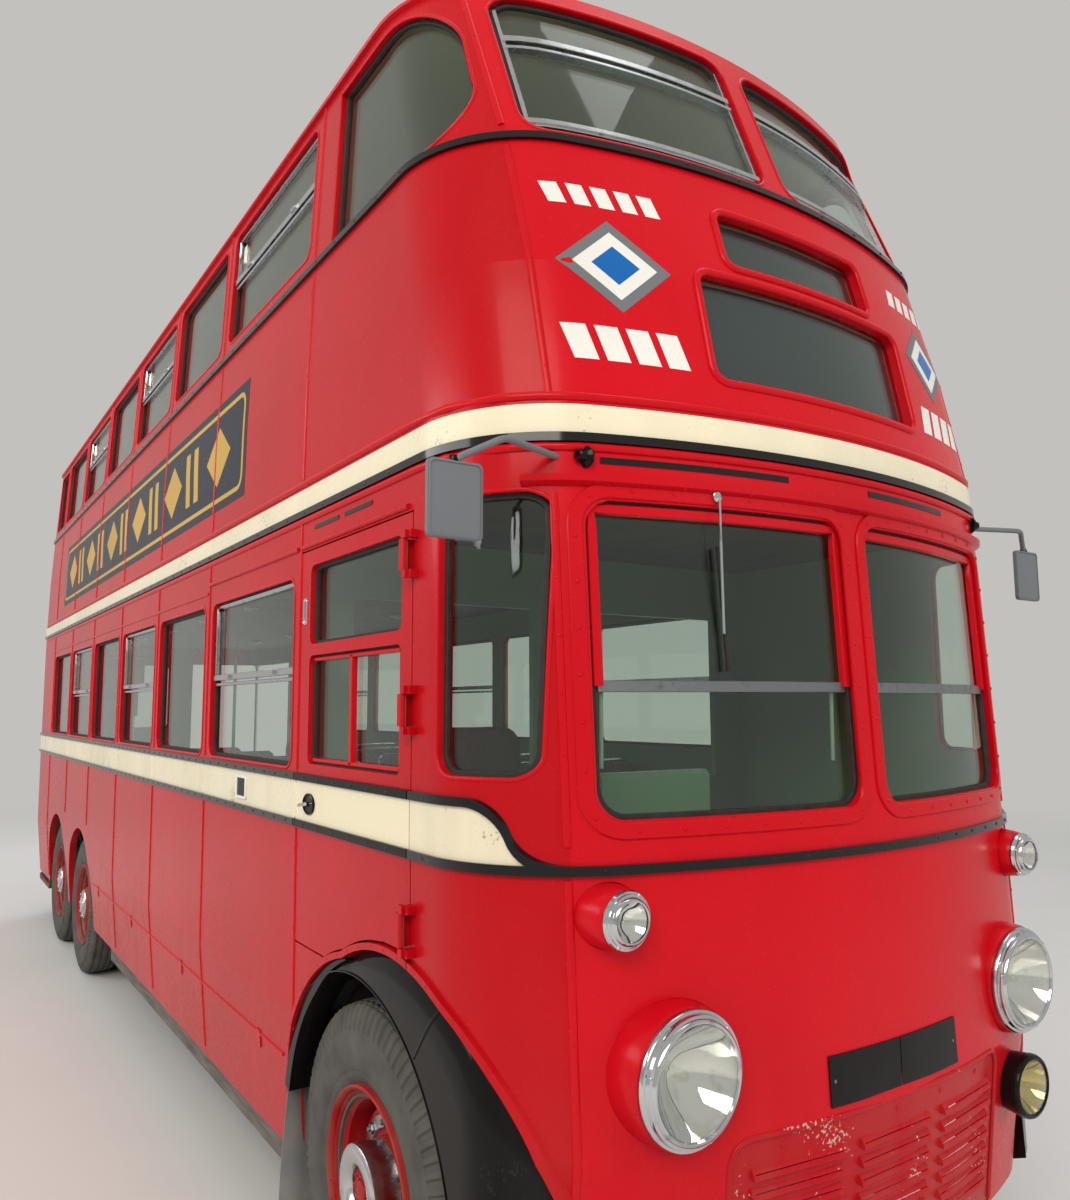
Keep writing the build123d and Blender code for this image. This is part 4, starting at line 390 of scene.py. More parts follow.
def bar(width: float, low: float, high: float, soften: float = 0.002) -> Array:
    """Closed section of a flat bar with small chamfers.

    Args:
        width: across the surface.
        low: lowest height over the surface.
        high: highest height over the surface.
        soften: size of the chamfers.

    Returns:
        An array of section points, across and away.
    """
    w = width / 2
    return np.array(
        [
            [w, low],
            [w, high - soften],
            [w - soften, high],
            [-w + soften, high],
            [-w, high - soften],
            [-w, low],
        ]
    )


ROLLED_EDGE = half_round(0.012, 0.0035)
JOINT_BEAD = half_round(0.020, 0.005)


# ---- Meshes


@dataclass
class Shape:
    """Vertices and faces that are gathered for one piece."""

    vertices: list[Array] = field(default_factory=list)
    faces: list[list[int]] = field(default_factory=list)
    count: int = 0

    def add(self, points: Array, faces: list[list[int]]) -> None:
        """Add points and faces that count from the first of those points."""
        flat = points.reshape(-1, 3)
        self.vertices.append(flat)
        self.faces += [[index + self.count for index in face] for face in faces]
        self.count += len(flat)

    def grid(
        self, points: Array, wrap_u: bool = False, wrap_v: bool = False, caps: bool = False
    ) -> None:
        """Add a grid of quads.

        Args:
            points: array (rows, columns, 3).
            wrap_u: true if the last row joins the first.
            wrap_v: true if the last column joins the first.
            caps: true to close the first and last row with a face each.
        """
        rows, columns = points.shape[:2]
        i = np.arange(rows if wrap_u else rows - 1)
        j = np.arange(columns if wrap_v else columns - 1)
        a, b = np.meshgrid(i, j, indexing="ij")
        c, d = (a + 1) % rows, (b + 1) % columns
        quads = np.stack(
            [a * columns + b, c * columns + b, c * columns + d, a * columns + d], axis=-1
        )
        faces = quads.reshape(-1, 4).tolist()
        if caps:
            faces.append(list(range(columns))[::-1])
            faces.append(list(range((rows - 1) * columns, rows * columns)))
        self.add(points, faces)

    def sweep(self, path: Array, up: Array, section: Points, closed: bool) -> None:
        """Carry a closed section along a path.

        Each section point is the path point plus its first number along the sideways direction
        and its second along up. Sideways is the cross product of the path's direction and up.

        Args:
            path: points (n, 3).
            up: unit vectors (n, 3).
            section: section points (m, 2).
            closed: true if the path is a loop.
        """
        section = np.asarray(section, float)
        if closed:
            tangent = np.roll(path, -1, axis=0) - np.roll(path, 1, axis=0)
        else:
            tangent = np.gradient(path, axis=0)
        tangent /= np.linalg.norm(tangent, axis=1, keepdims=True) + 1e-12
        across = np.cross(tangent, up)
        across /= np.linalg.norm(across, axis=1, keepdims=True) + 1e-12
        points = (
            path[:, None]
            + section[None, :, :1] * across[:, None]
            + section[None, :, 1:] * up[:, None]
        )
        self.grid(points, wrap_u=closed, wrap_v=True, caps=not closed)

    def run(
        self,
        corners: Points,
        section: Points,
        step: float,
        up: tuple[float, float, float] = (0.0, 0.0, 1.0),
    ) -> None:
        """Carry a section along straight runs between corners, with one upward direction."""
        path = refine(corners, step, False)
        self.sweep(path, np.tile(np.array(up), (len(path), 1)), section, False)

    def on_surface(
        self, surface: SurfaceMap, line: Points, section: Points, closed: bool, step: float = 0.06
    ) -> None:
        """Carry a section along a line that is drawn on a surface."""
        line = refine(line, step, closed)
        points = surface(line[:, 0], line[:, 1])
        self.sweep(points, surface_normals(surface, line[:, 0], line[:, 1]), section, closed)

    def patch(
        self, surface: SurfaceMap, u: Sequence[float], v: Sequence[float], low: float, high: float
    ) -> None:
        """Add a thin plate that follows a surface between two offsets.

        Args:
            surface: map to points.
            u: range of the first number.
            v: range of the second number.
            low: offset of the back.
            high: offset of the face.
        """
        count_u = max(2, int(abs(u[1] - u[0]) / 0.08) + 2)
        count_v = max(2, int(abs(v[1] - v[0]) / 0.08) + 2)
        gu, gv = np.meshgrid(np.linspace(*u, count_u), np.linspace(*v, count_v), indexing="ij")
        self.plate(surface, gu, gv, low, high)

    def plate(self, surface: SurfaceMap, gu: Array, gv: Array, low: float, high: float) -> None:
        """Add a thin closed plate over a grid of surface numbers, between two offsets."""
        base = surface(gu, gv)
        normal = surface_normals(surface, gu, gv)
        self.sheet(base + normal * high, base + normal * low)

    def sheet(self, front: Array, back: Array) -> None:
        """Add the closed form between two grids of the same shape."""
        self.grid(front)
        self.grid(back)
        for a, b in (
            (front[0], back[0]),
            (front[-1], back[-1]),
            (front[:, 0], back[:, 0]),
            (front[:, -1], back[:, -1]),
        ):
            self.grid(np.stack([a, b]))

    def quadrangle(
        self, surface: SurfaceMap, corners: Sequence[tuple[float, float]], low: float, high: float
    ) -> None:
        """Add a thin plate with four corners, given in order round it."""
        a, b, c, d = (np.array(corner, float) for corner in corners)
        i, j = np.meshgrid(np.linspace(0, 1, 6), np.linspace(0, 1, 6), indexing="ij")
        i, j = i[..., None], j[..., None]
        spots = a * (1 - i) * (1 - j) + b * i * (1 - j) + c * i * j + d * (1 - i) * j
        self.plate(surface, spots[..., 0], spots[..., 1], low, high)

    def turned(
        self, section: Points, centre: Sequence[float], axis: Sequence[float], count: int = 32
    ) -> None:
        """Turn an open section about an axis.

        A section point at distance h along the axis and r away from it goes round a full circle.

        Args:
            section: points (h, r) from one end to the other.
            centre: a point on the axis.
            axis: direction of the axis.
            count: steps round.
        """
        section = np.asarray(section, float)
        w = np.array(axis, float)
        w /= np.linalg.norm(w)
        helper = np.array([0, 0, 1.0]) if abs(w[2]) < 0.9 else np.array([1.0, 0, 0])
        u = np.cross(w, helper)
        u /= np.linalg.norm(u)
        v = np.cross(w, u)
        angle = np.linspace(0, 2 * math.pi, count, endpoint=False)
        ring = np.cos(angle)[:, None] * u + np.sin(angle)[:, None] * v
        points = (
            np.array(centre, float)
            + section[:, None, :1] * w
            + section[:, None, 1:] * ring[None]
        )
        self.grid(points, wrap_v=True)

    def tube(self, path: Array, radius: float, count: int = 10) -> None:
        """Carry a circle along a path."""
        tangent = np.gradient(path, axis=0)
        tangent /= np.linalg.norm(tangent, axis=1, keepdims=True) + 1e-12
        helper = np.array([0.31, 0.17, 0.93])
        up = helper - tangent * (tangent @ helper)[:, None]
        up /= np.linalg.norm(up, axis=1, keepdims=True) + 1e-12
        angle = np.linspace(0, 2 * math.pi, count, endpoint=False)
        section = radius * np.stack([np.cos(angle), np.sin(angle)], axis=-1)
        self.sweep(path, up, section, False)

    def rod(
        self, corners: Points, step: float, radius: float, count: int = 10
    ) -> None:
        """Carry a circle along straight runs between corners."""
        self.tube(refine(corners, step, False), radius, count)

    def copies(self, points: Array, faces: list[list[int]], places: Array, frames: Array) -> None:
        """Add one small form at many places.

        Args:
            points: the form's points (k, 3) in its own axes.
            faces: the form's faces.
            places: points (n, 3).
            frames: for each place a 3 by 3 matrix whose columns are the form's axes.
        """
        placed = np.einsum("nij,kj->nki", frames, points) + places[:, None]
        total = len(points)
        base = self.count
        self.vertices.append(placed.reshape(-1, 3))
        self.faces += [
            [i + base + n * total for i in face] for n in range(len(places)) for face in faces
        ]
        self.count += total * len(places)

    def heads(
        self, form: tuple[Array, list[list[int]]], places: Array, outward: Sequence[float]
    ) -> None:
        """Add one small form at many places, all facing the same way."""
        normals = np.tile(np.array(outward, float), (len(places), 1))
        self.copies(*form, places, frames_from(normals))

    def make(
        self,
        name: str,
        body: str,
        finish: bpy.types.Material,
        replaces: Sequence[str] = (),
        smooth: float = 40.0,
        merge: float = 1e-5,
    ) -> bpy.types.Object:
        """Make the mesh, with its normals outward, and let it ride on a body.

        Args:
            name: piece name.
            body: body it rides on.
            finish: material.
            replaces: nodes that it stands for.
            smooth: edges sharper than this many degrees stay sharp.
            merge: distance under which points become one.

        Returns:
            The new object.
        """
        mesh = bpy.data.meshes.new(name)
        mesh.from_pydata(np.concatenate(self.vertices).tolist(), [], self.faces)
        work = bmesh.new()
        work.from_mesh(mesh)
        bmesh.ops.remove_doubles(work, verts=work.verts, dist=merge)
        bmesh.ops.dissolve_degenerate(work, edges=work.edges, dist=1e-6)
        bmesh.ops.recalc_face_normals(work, faces=work.faces)
        work.to_mesh(mesh)
        work.free()
        mesh.polygons.foreach_set("use_smooth", np.ones(len(mesh.polygons), bool))
        mesh.set_sharp_from_angle(angle=math.radians(smooth))
        piece = bpy.data.objects.new(name, mesh)
        bpy.context.scene.collection.objects.link(piece)
        piece.data.materials.append(finish)
        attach(piece, body)
        if replaces:
            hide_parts(*replaces)
        LOG.info("%s: %d faces", name, len(mesh.polygons))
        return piece


def dome(
    radius: float, height: float, around: int = 8, rings: int = 3
) -> tuple[Array, list[list[int]]]:
    """Small round head: rings of points that rise as the sine while they close as the cosine.

    Args:
        radius: radius at the foot.
        height: height of the top.
        around: points in a ring.
        rings: how many rings.

    Returns:
        Points with Z away from the surface, and faces.
    """
    angle = np.linspace(0, 2 * math.pi, around, endpoint=False)
    rise = np.linspace(0, math.pi / 2, rings + 1)[:-1]
    x = radius * np.cos(rise)[:, None] * np.cos(angle)
    y = radius * np.cos(rise)[:, None] * np.sin(angle)
    z = np.broadcast_to(height * np.sin(rise)[:, None], x.shape)
    points = np.concatenate([np.stack([x, y, z], axis=-1).reshape(-1, 3), [[0, 0, height]]])
    faces = []
    for ring in range(rings - 1):
        for step in range(around):
            after = (step + 1) % around
            faces.append(
                [
                    ring * around + step,
                    ring * around + after,
                    (ring + 1) * around + after,
                    (ring + 1) * around + step,
                ]
            )
    top = rings * around
    faces += [
        [(rings - 1) * around + step, (rings - 1) * around + (step + 1) % around, top]
        for step in range(around)
    ]
    faces.append(list(range(around))[::-1])
    return points, faces


def frames_from(normals: Array, along_line: Optional[Array] = None) -> Array:
    """Matrices whose third column is the normal and whose first lies along a line.

    Args:
        normals: unit vectors (n, 3).
        along_line: directions (n, 3), or None for the level direction.

    Returns:
        Matrices (n, 3, 3).
    """
    first = np.cross([0, 0, 1.0], normals) if along_line is None else along_line
    first = first - normals * np.sum(first * normals, axis=1, keepdims=True)
    first /= np.linalg.norm(first, axis=1, keepdims=True) + 1e-12
    second = np.cross(normals, first)
    return np.stack([first, second, normals], axis=-1)


# ---- Finishes


def linear(code: str) -> tuple[float, float, float, float]:
    """Turn an sRGB hex colour into linear light.

    Args:
        code: six hex digits.

    Returns:
        Red, green, blue and an alpha of 1.
    """
    parts = [int(code[i : i + 2], 16) / 255 for i in (0, 2, 4)]
    light = [p / 12.92 if p <= 0.04045 else ((p + 0.055) / 1.055) ** 2.4 for p in parts]
    return (light[0], light[1], light[2], 1.0)


def node(
    tree: bpy.types.NodeTree,
    kind: str,
    inputs: Optional[Mapping[int | str, object]] = None,
    **settings: object,
) -> bpy.types.Node:
    """Add a node with its settings, values and links.

    Args:
        tree: node tree.
        kind: node type.
        inputs: socket name or number to a value or to the socket that feeds it.
        settings: attributes of the node.

    Returns:
        The node.
    """
    made = tree.nodes.new(kind)
    for key, value in settings.items():
        setattr(made, key, value)
    for key, value in (inputs or {}).items():
        socket = made.inputs[key]
        if isinstance(value, bpy.types.NodeSocket):
            tree.links.new(value, socket)
        else:
            socket.default_value = value
    return made


class Graph:
    """A new material and its node tree, with short ways to add the nodes that finishes share."""

    def __init__(self, name: str) -> None:
        """Make an empty material.

        Args:
            name: its name.
        """
        self.material = bpy.data.materials.new(name)
        self.material.use_nodes = True
        self.tree = self.material.node_tree
        self.tree.nodes.clear()
        coords = node(self.tree, "ShaderNodeTexCoord")
        self.place = coords.outputs["Object"]
        self.normal = coords.outputs["Normal"]

    def split(self, vector: Socket) -> Mapping[str, Socket]:
        """The three parts of a vector by their letters."""
        return node(self.tree, "ShaderNodeSeparateXYZ", {0: vector}).outputs

    def drawn(self, scale: Sequence[float], turn: float = 0.0) -> Socket:
        """Position stretched along the axes and turned about Z by some degrees."""
        inputs = {"Vector": self.place, "Rotation": (0.0, 0.0, math.radians(turn)), "Scale": scale}
        return node(self.tree, "ShaderNodeMapping", inputs).outputs[0]

    def noise(self, scale: float, detail: float, place: Optional[Socket] = None) -> Socket:
        """Noise over the object's own position, or over another one."""
        vector = self.place if place is None else place
        inputs = {"Vector": vector, "Scale": scale, "Detail": detail}
        return node(self.tree, "ShaderNodeTexNoise", inputs).outputs["Fac"]

    def math(self, operation: str, *values: object) -> Socket:
        """Result of an operation on numbers."""
        made = node(self.tree, "ShaderNodeMath", dict(enumerate(values)), operation=operation)
        return made.outputs[0]

    def ramp(
        self, value: Socket, low: float, high: float, start: float = 0.0, end: float = 1.0
    ) -> Socket:
        """Number that goes from start to end while the value goes from low to high."""
        inputs = {"Value": value, 1: low, 2: high, 3: start, 4: end}
        return node(self.tree, "ShaderNodeMapRange", inputs).outputs[0]

    def blend(self, share: Socket, first: object, second: object) -> Socket:
        """Colour between two colours."""
        inputs = {"Factor": share, 6: first, 7: second}
        return node(self.tree, "ShaderNodeMix", inputs, data_type="RGBA").outputs[2]

    def bump(self, height: Socket, strength: float, distance: float) -> Socket:
        """Normal that is tilted by a height."""
        inputs = {"Height": height, "Strength": strength, "Distance": distance}
        return node(self.tree, "ShaderNodeBump", inputs).outputs[0]

    def solid(self, inputs: Mapping[str, object]) -> Socket:
        """Principled shader with these inputs."""
        return node(self.tree, "ShaderNodeBsdfPrincipled", inputs).outputs[0]

    def mix(self, share: Socket, first: Socket, second: Socket) -> Socket:
        """Shader between two shaders."""
        return node(self.tree, "ShaderNodeMixShader", {0: share, 1: first, 2: second}).outputs[0]

    def close(self, shader: Socket) -> bpy.types.Material:
        """Lead a shader to the output and give back the material."""
        node(self.tree, "ShaderNodeOutputMaterial", {"Surface": shader})
        return self.material


@dataclass(frozen=True)
class CoachPaint:
    """Brush-painted and varnished coachwork on aluminium or steel panels.

    The eye sees a deep gloss with a faint waviness, slow changes of tone, dust low down and
    small chips on the parts that get knocked.
    """

    name: str
    colour: str
    lining: str = "6C8A6C"
    zone: Zone = Zone.NONE
    roughness: float = 0.24
    wave: float = 0.06
    dust: float = 0.30
    dust_low: float = 0.40
    dust_high: float = 1.15
    chips: float = 0.0
    under: str = "3A302B"
    coat: float = 0.05
    ior: float = 1.22
    bands: tuple[tuple[float, float, str], ...] = ()

    def build(self) -> bpy.types.Material:
        """Make the material.

        Returns:
            The material.
        """
        graph = Graph(self.name)
        place, normal = graph.split(graph.place), graph.split(graph.normal)
        # Slow change of tone over about 0.8 m, and fine mottle over about 20 mm
        slow, fine = graph.noise(1.3, 3.0), graph.noise(48.0, 2.0)
        base = linear(self.colour)[:3]
        dark = tuple(c * 0.80 for c in base) + (1.0,)
        light = tuple(min(1.0, c * 1.10 + 0.004) for c in base) + (1.0,)
        colour = graph.blend(slow, dark, light)
        # Dust: strongest at the skirt, broken by noise that is drawn out downwards
        streak = graph.noise(1.0, 5.0, graph.drawn((9.0, 9.0, 1.6)))
        height = graph.ramp(place["Z"], self.dust_low, self.dust_high, 1.0, 0.10)
        spread = graph.math("MULTIPLY", height, graph.ramp(streak, 0.38, 0.78))
        amount = graph.math("MULTIPLY", spread, self.dust)
        colour = graph.blend(amount, colour, linear("8A7A68"))
        mottle = graph.ramp(fine, 0.2, 0.8, self.roughness * 0.85, self.roughness * 1.2)
        rough = graph.math("ADD", mottle, amount)
        if self.chips > 0:
            # Chips of 3 to 15 mm, gathered in patches of about 0.2 m
            both = graph.math("MULTIPLY", graph.noise(95.0, 3.0), graph.noise(6.0, 1.0))
            chip = graph.ramp(both, 0.42 - self.chips * 0.06, 0.44 - self.chips * 0.06)
            colour = graph.blend(chip, colour, linear(self.under))
        for low, high, tint in self.bands:
            # Lined out by height: the band is where Z lies between its edges
            over = graph.math("GREATER_THAN", place["Z"], low)
            below = graph.math("LESS_THAN", place["Z"], high)
            colour = graph.blend(graph.math("MULTIPLY", over, below), colour, linear(tint))
        if self.zone is not Zone.NONE:
            # The lining has its own colour down to the floor and dark sealer below it
            inner = self.inside(graph, place, normal)
            colour = graph.blend(inner, colour, linear(self.lining))
            cab = graph.math("LESS_THAN", place["Y"], -3.0)
            floor = graph.math("MULTIPLY_ADD", cab, 0.45, 0.79)
            hidden = graph.math("MULTIPLY", graph.math("LESS_THAN", place["Z"], floor), inner)
            colour = graph.blend(hidden, colour, linear("191715"))
        shader = graph.solid(
            {
                "Base Color": colour,
                "Roughness": rough,
                "Normal": graph.bump(slow, self.wave, 0.02),
                "IOR": self.ior,
                "Coat Weight": self.coat,
                "Coat Roughness": 0.06,
            }
        )
        return graph.close(shader)

    def inside(
        self, graph: Graph, place: Mapping[str, Socket], normal: Mapping[str, Socket]
    ) -> Socket:
        """Factor that is 1 on the lining.

        A side's lining has its normal against its own X, an end's against its own Y, and the
        roof's lining looks down.

        Args:
            graph: the material.
            place: the split position.
            normal: the split normal.

        Returns:
            The socket of the factor.
        """
        if self.zone is Zone.ROOF:
            return graph.math("LESS_THAN", normal["Z"], -0.25)
        axis, limit = ("X", -0.35) if self.zone is Zone.SIDE else ("Y", -1.3)
        product = graph.math("MULTIPLY", place[axis], normal[axis])
        return graph.math("LESS_THAN", product, limit)


@dataclass(frozen=True)
class Metal:
    """Bare or plated metal: a mirror-like or brushed reflection with smudges and specks."""

    name: str
    colour: str
    roughness: float
    smudge: float = 0.12
    grain: float = 0.0
    scale: float = 30.0
    tarnish: str = "5A5148"

    def build(self) -> bpy.types.Material:
        """Make the material.

        Returns:
            The material.
        """
        graph = Graph(self.name)
        smear = graph.noise(self.scale, 4.0)
        stain = graph.ramp(smear, 0.58, 0.80, end=0.55)
        shader = graph.solid(
            {
                "Base Color": graph.blend(stain, linear(self.colour), linear(self.tarnish)),
                "Metallic": 1.0,
                "Roughness": graph.ramp(
                    smear, 0.35, 0.75, self.roughness, self.roughness + self.smudge
                ),
                "Normal": graph.bump(smear, 0.04 + self.grain, 0.004),
            }
        )
        return graph.close(shader)


@dataclass(frozen=True)
class Glazing:
    """Drawn plate glass: clear and faintly green, with a sharp reflection and a little dust."""

    name: str
    tint: str = "EEF4F0"
    dust: float = 0.05
    roughness: float = 0.015
    mirror: float = 0.045

    def build(self) -> bpy.types.Material:
        """Make the material.

        Returns:
            The material.
        """
        graph = Graph(self.name)
        film = graph.noise(5.0, 6.0)
        rough = graph.ramp(film, 0.4, 0.8, self.roughness, self.roughness + self.dust)
        clear = node(graph.tree, "ShaderNodeBsdfTransparent", {"Color": linear(self.tint)})
        mirror = graph.solid({"Base Color": linear("F4F6F5"), "Metallic": 1.0, "Roughness": rough})
        # A pane mirrors 4 parts in 100 head on and all at a glance, by the slant's fifth power
        slant = node(graph.tree, "ShaderNodeLayerWeight", {"Blend": 0.5}).outputs["Facing"]
        share = graph.ramp(graph.math("POWER", slant, 5.0), 0.0, 1.0, self.mirror, 0.92)
        return graph.close(graph.mix(share, clear.outputs[0], mirror))


@dataclass(frozen=True)
class Matter:
    """A plain solid such as rubber, cloth, wood or plastic, with its own grain.

    The grain is noise drawn out by the stretch, so timber has long fibres and rubber has none.
    """

    name: str
    colour: str
    second: str
    roughness: float
    scale: float
    stretch: tuple[float, float, float] = (1.0, 1.0, 1.0)
    relief: float = 0.15
    depth: float = 0.002
    sheen: float = 0.0
    contrast: tuple[float, float] = (0.3, 0.7)

    def build(self) -> bpy.types.Material:
        """Make the material.

        Returns:
            The material.
        """
        graph = Graph(self.name)
        grain = graph.noise(self.scale, 5.0, graph.drawn(self.stretch))
        share = graph.ramp(grain, *self.contrast)
        rough = (self.roughness * 0.9, min(1.0, self.roughness * 1.15))
        shader = graph.solid(
            {
                "Base Color": graph.blend(share, linear(self.colour), linear(self.second)),
                "Roughness": graph.ramp(grain, 0.0, 1.0, *rough),
                "Normal": graph.bump(grain, self.relief, self.depth),
                "Sheen Weight": self.sheen,
            }
        )
        return graph.close(shader)


@dataclass(frozen=True)
class Moquette:
    """Cut-pile seat cloth: small lozenges about 45 mm across in two tones over a dark ground."""

    name: str
    ground: str = "6E2A26"
    figure: str = "3F4A3A"
    spark: str = "B89B6B"

    def build(self) -> bpy.types.Material:
        """Make the material.

        Returns:
            The material.
        """
        graph = Graph(self.name)
        checks = {
            "Vector": graph.drawn((22.0, 22.0, 22.0), turn=45),
            "Color1": linear(self.ground),
            "Color2": linear(self.figure),
            "Scale": 1.0,
        }
        lozenge = node(graph.tree, "ShaderNodeTexChecker", checks).outputs[0]
        flecks = node(graph.tree, "ShaderNodeTexVoronoi", {"Vector": graph.place, "Scale": 60.0})
        dot = graph.ramp(flecks.outputs["Distance"], 0.10, 0.16, 1.0, 0.0)
        shader = graph.solid(
            {
                "Base Color": graph.blend(dot, lozenge, linear(self.spark)),
                "Roughness": 0.92,
                "Normal": graph.bump(graph.noise(500.0, 2.0), 0.35, 0.002),
                "Sheen Weight": 0.25,
            }
        )
        return graph.close(shader)


SLOTS: dict[str, str] = {
    "red_side": "red_paint",
    "red_end": "red_paint",
    "red_door": "red_paint",
    "red_roof": "roof_paint",
    "red": "red_paint",
    "red_chipped": "red_paint",
    "red_wheel": "wheel_red",
    "cream": "cream_paint",
    "black": "black_paint",
    "black_bead": "black_paint",
    "black_frame": "black_paint",
    "green": "interior_paint",
    "green_pale": "interior_paint",
    "navy": "blind",
    "gold": "cream_paint",
    "white": "cream_paint",
    "blue": "blind",
    "grey_blind": "blind",
    "grey": "mirror_grey",
    "black_plate": "black_paint",
    "chrome": "bright_metal",
    "bright": "bright_metal",
    "steel": "grey_steel",
    "brass": "bright_metal",
    "mirror": "bright_metal",
    "glass": "glass",
    "lens": "lamp_glass",
    "amber": "lamp_glass",
    "ruby": "lamp_glass",
    "tyre": "tyre",
    "rubber": "tyre",
    "flap": "tyre",
    "timber": "floor_timber",
    "planks": "floor_timber",
    "linoleum": "floor_timber",
    "cloth": "seat_cloth",
    "hide": "seat_cloth",
    "iron": "grey_steel",
}


class Finishes:
    """Every finish of the bus, built once and looked up by name."""

    def __init__(self) -> None:
        """Build the materials."""
        paints = {
            # Red coach enamel, varnished: deep gloss, hardly any wave. The bus is one red, but the
            # sides and the cab door get a darker red than the ends: painted shade on the sides and
            # door, painted light on the ends
            "red_side": CoachPaint("red_coach_enamel_side", "BA0514", zone=Zone.SIDE, dust=0.12),
            "red_end": CoachPaint("red_coach_enamel_end", "CB0519", zone=Zone.END, dust=0.10),
            "red_door": CoachPaint(
                "red_coach_enamel_cab_door", "BA0514", zone=Zone.SIDE, dust=0.12,
                bands=((1.5555, 1.7395, "0D0D0E"), (1.580, 1.715, "E8DEC0")),
            ),
            "red_roof": CoachPaint(
                "red_coach_enamel_roof", "A40D16", lining="CFC7A8", zone=Zone.ROOF,
                roughness=0.34, dust=0.30, dust_low=4.35, dust_high=4.9,
            ),
            "red": CoachPaint("red_coach_enamel", "C60517", dust=0.08),
            "red_chipped": CoachPaint(
                "red_enamel_chipped", "B80A18", dust=0.24, chips=0.28, under="C9A79A"
            ),
            "red_wheel": CoachPaint(
                "red_wheel_enamel", "A20F15", roughness=0.34, dust=0.55, dust_high=1.3, chips=0.45
            ),
            # Broken white band, slightly yellowed
            "cream": CoachPaint(
                "cream_coach_enamel", "EDE3C6", dust=0.22, dust_low=0.4, dust_high=3.6, chips=0.12,
                under="B8A684",
            ),
            # Black gloss wings and beads, scuffed
            "black": CoachPaint(
                "black_gloss_enamel", "070708", roughness=0.14, dust=0.07, chips=0.10,
                under="232221", coat=0.0, ior=1.26,
            ),
            "black_bead": CoachPaint(
                "black_bead_enamel", "08080A", roughness=0.12, dust=0.03, coat=0.15, ior=1.40
            ),
            "black_frame": CoachPaint(
                "black_chassis_paint", "141312", roughness=0.55, dust=0.75, dust_high=1.4,
                chips=0.4, under="4A3020", coat=0.0,
            ),
            "green": CoachPaint("green_cab_enamel", "6C8A6C", roughness=0.32, dust=0.08),
            "green_pale": CoachPaint("pale_green_enamel", "8FA98C", roughness=0.35, dust=0.10),
            "navy": CoachPaint(
                "navy_panel_paint", "10182C", roughness=0.30, dust=0.14, dust_low=0.4, dust_high=4.0
            ),
            "gold": CoachPaint("gold_lining_paint", "C9A24A", roughness=0.36, dust=0.10),
            "white": CoachPaint("white_panel_paint", "E9E7DF", roughness=0.28, dust=0.12),
            "blue": CoachPaint("blue_panel_paint", "1565B0", roughness=0.28, dust=0.08),
            "grey_blind": CoachPaint(
                "grey_blind_linen", "3C4246", roughness=0.75, dust=0.10, coat=0.0
            ),
            "grey": CoachPaint("grey_enamel", "6F7478", roughness=0.45, dust=0.2, dust_high=5.0),
            "black_plate": CoachPaint("black_number_plate", "101112", roughness=0.22, dust=0.10),
        }
        others = {
            "chrome": Metal("chromium_plate", "C9CCCF", 0.05, smudge=0.10),
            "bright": Metal("polished_aluminium", "C4C6C8", 0.16, smudge=0.16, grain=0.05),
            "steel": Metal("galvanised_steel", "8E9296", 0.36, smudge=0.2, grain=0.15),
            "brass": Metal("brass", "B08A45", 0.25),
            "mirror": Metal("silvered_glass", "E6E8EA", 0.02, smudge=0.03, tarnish="B9BBBD"),
            "glass": Glazing("plate_glass"),
            "lens": Glazing("moulded_lens_glass", tint="FBFBF8", roughness=0.04),
            "amber": Glazing("yellow_lens_glass", tint="F4EFD6", dust=0.14, roughness=0.06),
            "ruby": Glazing("ruby_lens_glass", tint="A01010", dust=0.10, roughness=0.05),
            "tyre": Matter("tyre_rubber", "3E3D3A", "57544E", 0.80, 9.0, relief=0.25, depth=0.003),
            "rubber": Matter("black_rubber", "161616", "2A2927", 0.70, 30.0),
            "flap": Matter("grey_rubber_sheet", "6F7173", "87837C", 0.80, 9.0, relief=0.3),
            "timber": Matter(
                "oiled_timber", "6B4A2E", "3F2A1A", 0.55, 9.0, stretch=(6.0, 0.7, 6.0), relief=0.2
            ),
            "planks": Matter(
                "grey_weathered_planks", "77736B", "4E4A44", 0.85, 7.0, stretch=(9.0, 0.6, 9.0),
                relief=0.3,
            ),
            "linoleum": Matter("brown_linoleum", "4A3A2C", "36291F", 0.60, 4.0),
            "cloth": Moquette("seat_moquette"),
            "hide": Matter("brown_hide", "4A2C1C", "2E1B12", 0.48, 60.0, relief=0.35, depth=0.001),
            "iron": Matter("cast_iron", "2B2A28", "45352A", 0.75, 20.0, relief=0.4),
        }
        self.store: dict[str, bpy.types.Material] = {}
        for key, recipe in {**paints, **others}.items():
            self.store[key] = recipe.build()
            self.store[key]["slot"] = SLOTS[key]

    def __getitem__(self, key: str) -> bpy.types.Material:
        """The material of that name."""
        return self.store[key]


# The end panels take the lighter red, which is painted light; the cab door takes the side's darker
# red, which is painted shade
NODE_FINISH: dict[str, str] = {
    "front_dash_panel": "red_end",
    "louvre_panel": "red_chipped",
    "windscreen_frame": "red_end",
    "upper_front_panel": "red_end",
    "rear_lower_panel": "red_end",
    "rear_upper_panel": "red_end",
    "emergency_door": "red_end",
    "cab_door": "red_door",
    "roof_panel": "red_roof",
    "black_mouldings": "black_bead",
    "cream_bands": "cream",
    "front_wings": "black",
    "mirrors": "grey",
    "window_glass": "glass",
    "cab_door_glass": "glass",
    "emergency_glass": "glass",
    "trolley_gantry": "timber",
    "lower_floor": "linoleum",
    "upper_floor": "linoleum",
    "rear_platform": "timber",
    "staircase": "timber",
    "cab_bulkhead": "green",
    "hand_rails": "bright",
    "destination_box": "green_pale",
    "steering_column": "black",
    "steering_wheel": "rubber",
    "underframe": "black_frame",
    "front_axle": "black_frame",
    "rear_axles": "black_frame",
    "leaf_springs": "iron",
    "traction_motor": "iron",
    "life_guards": "planks",
}


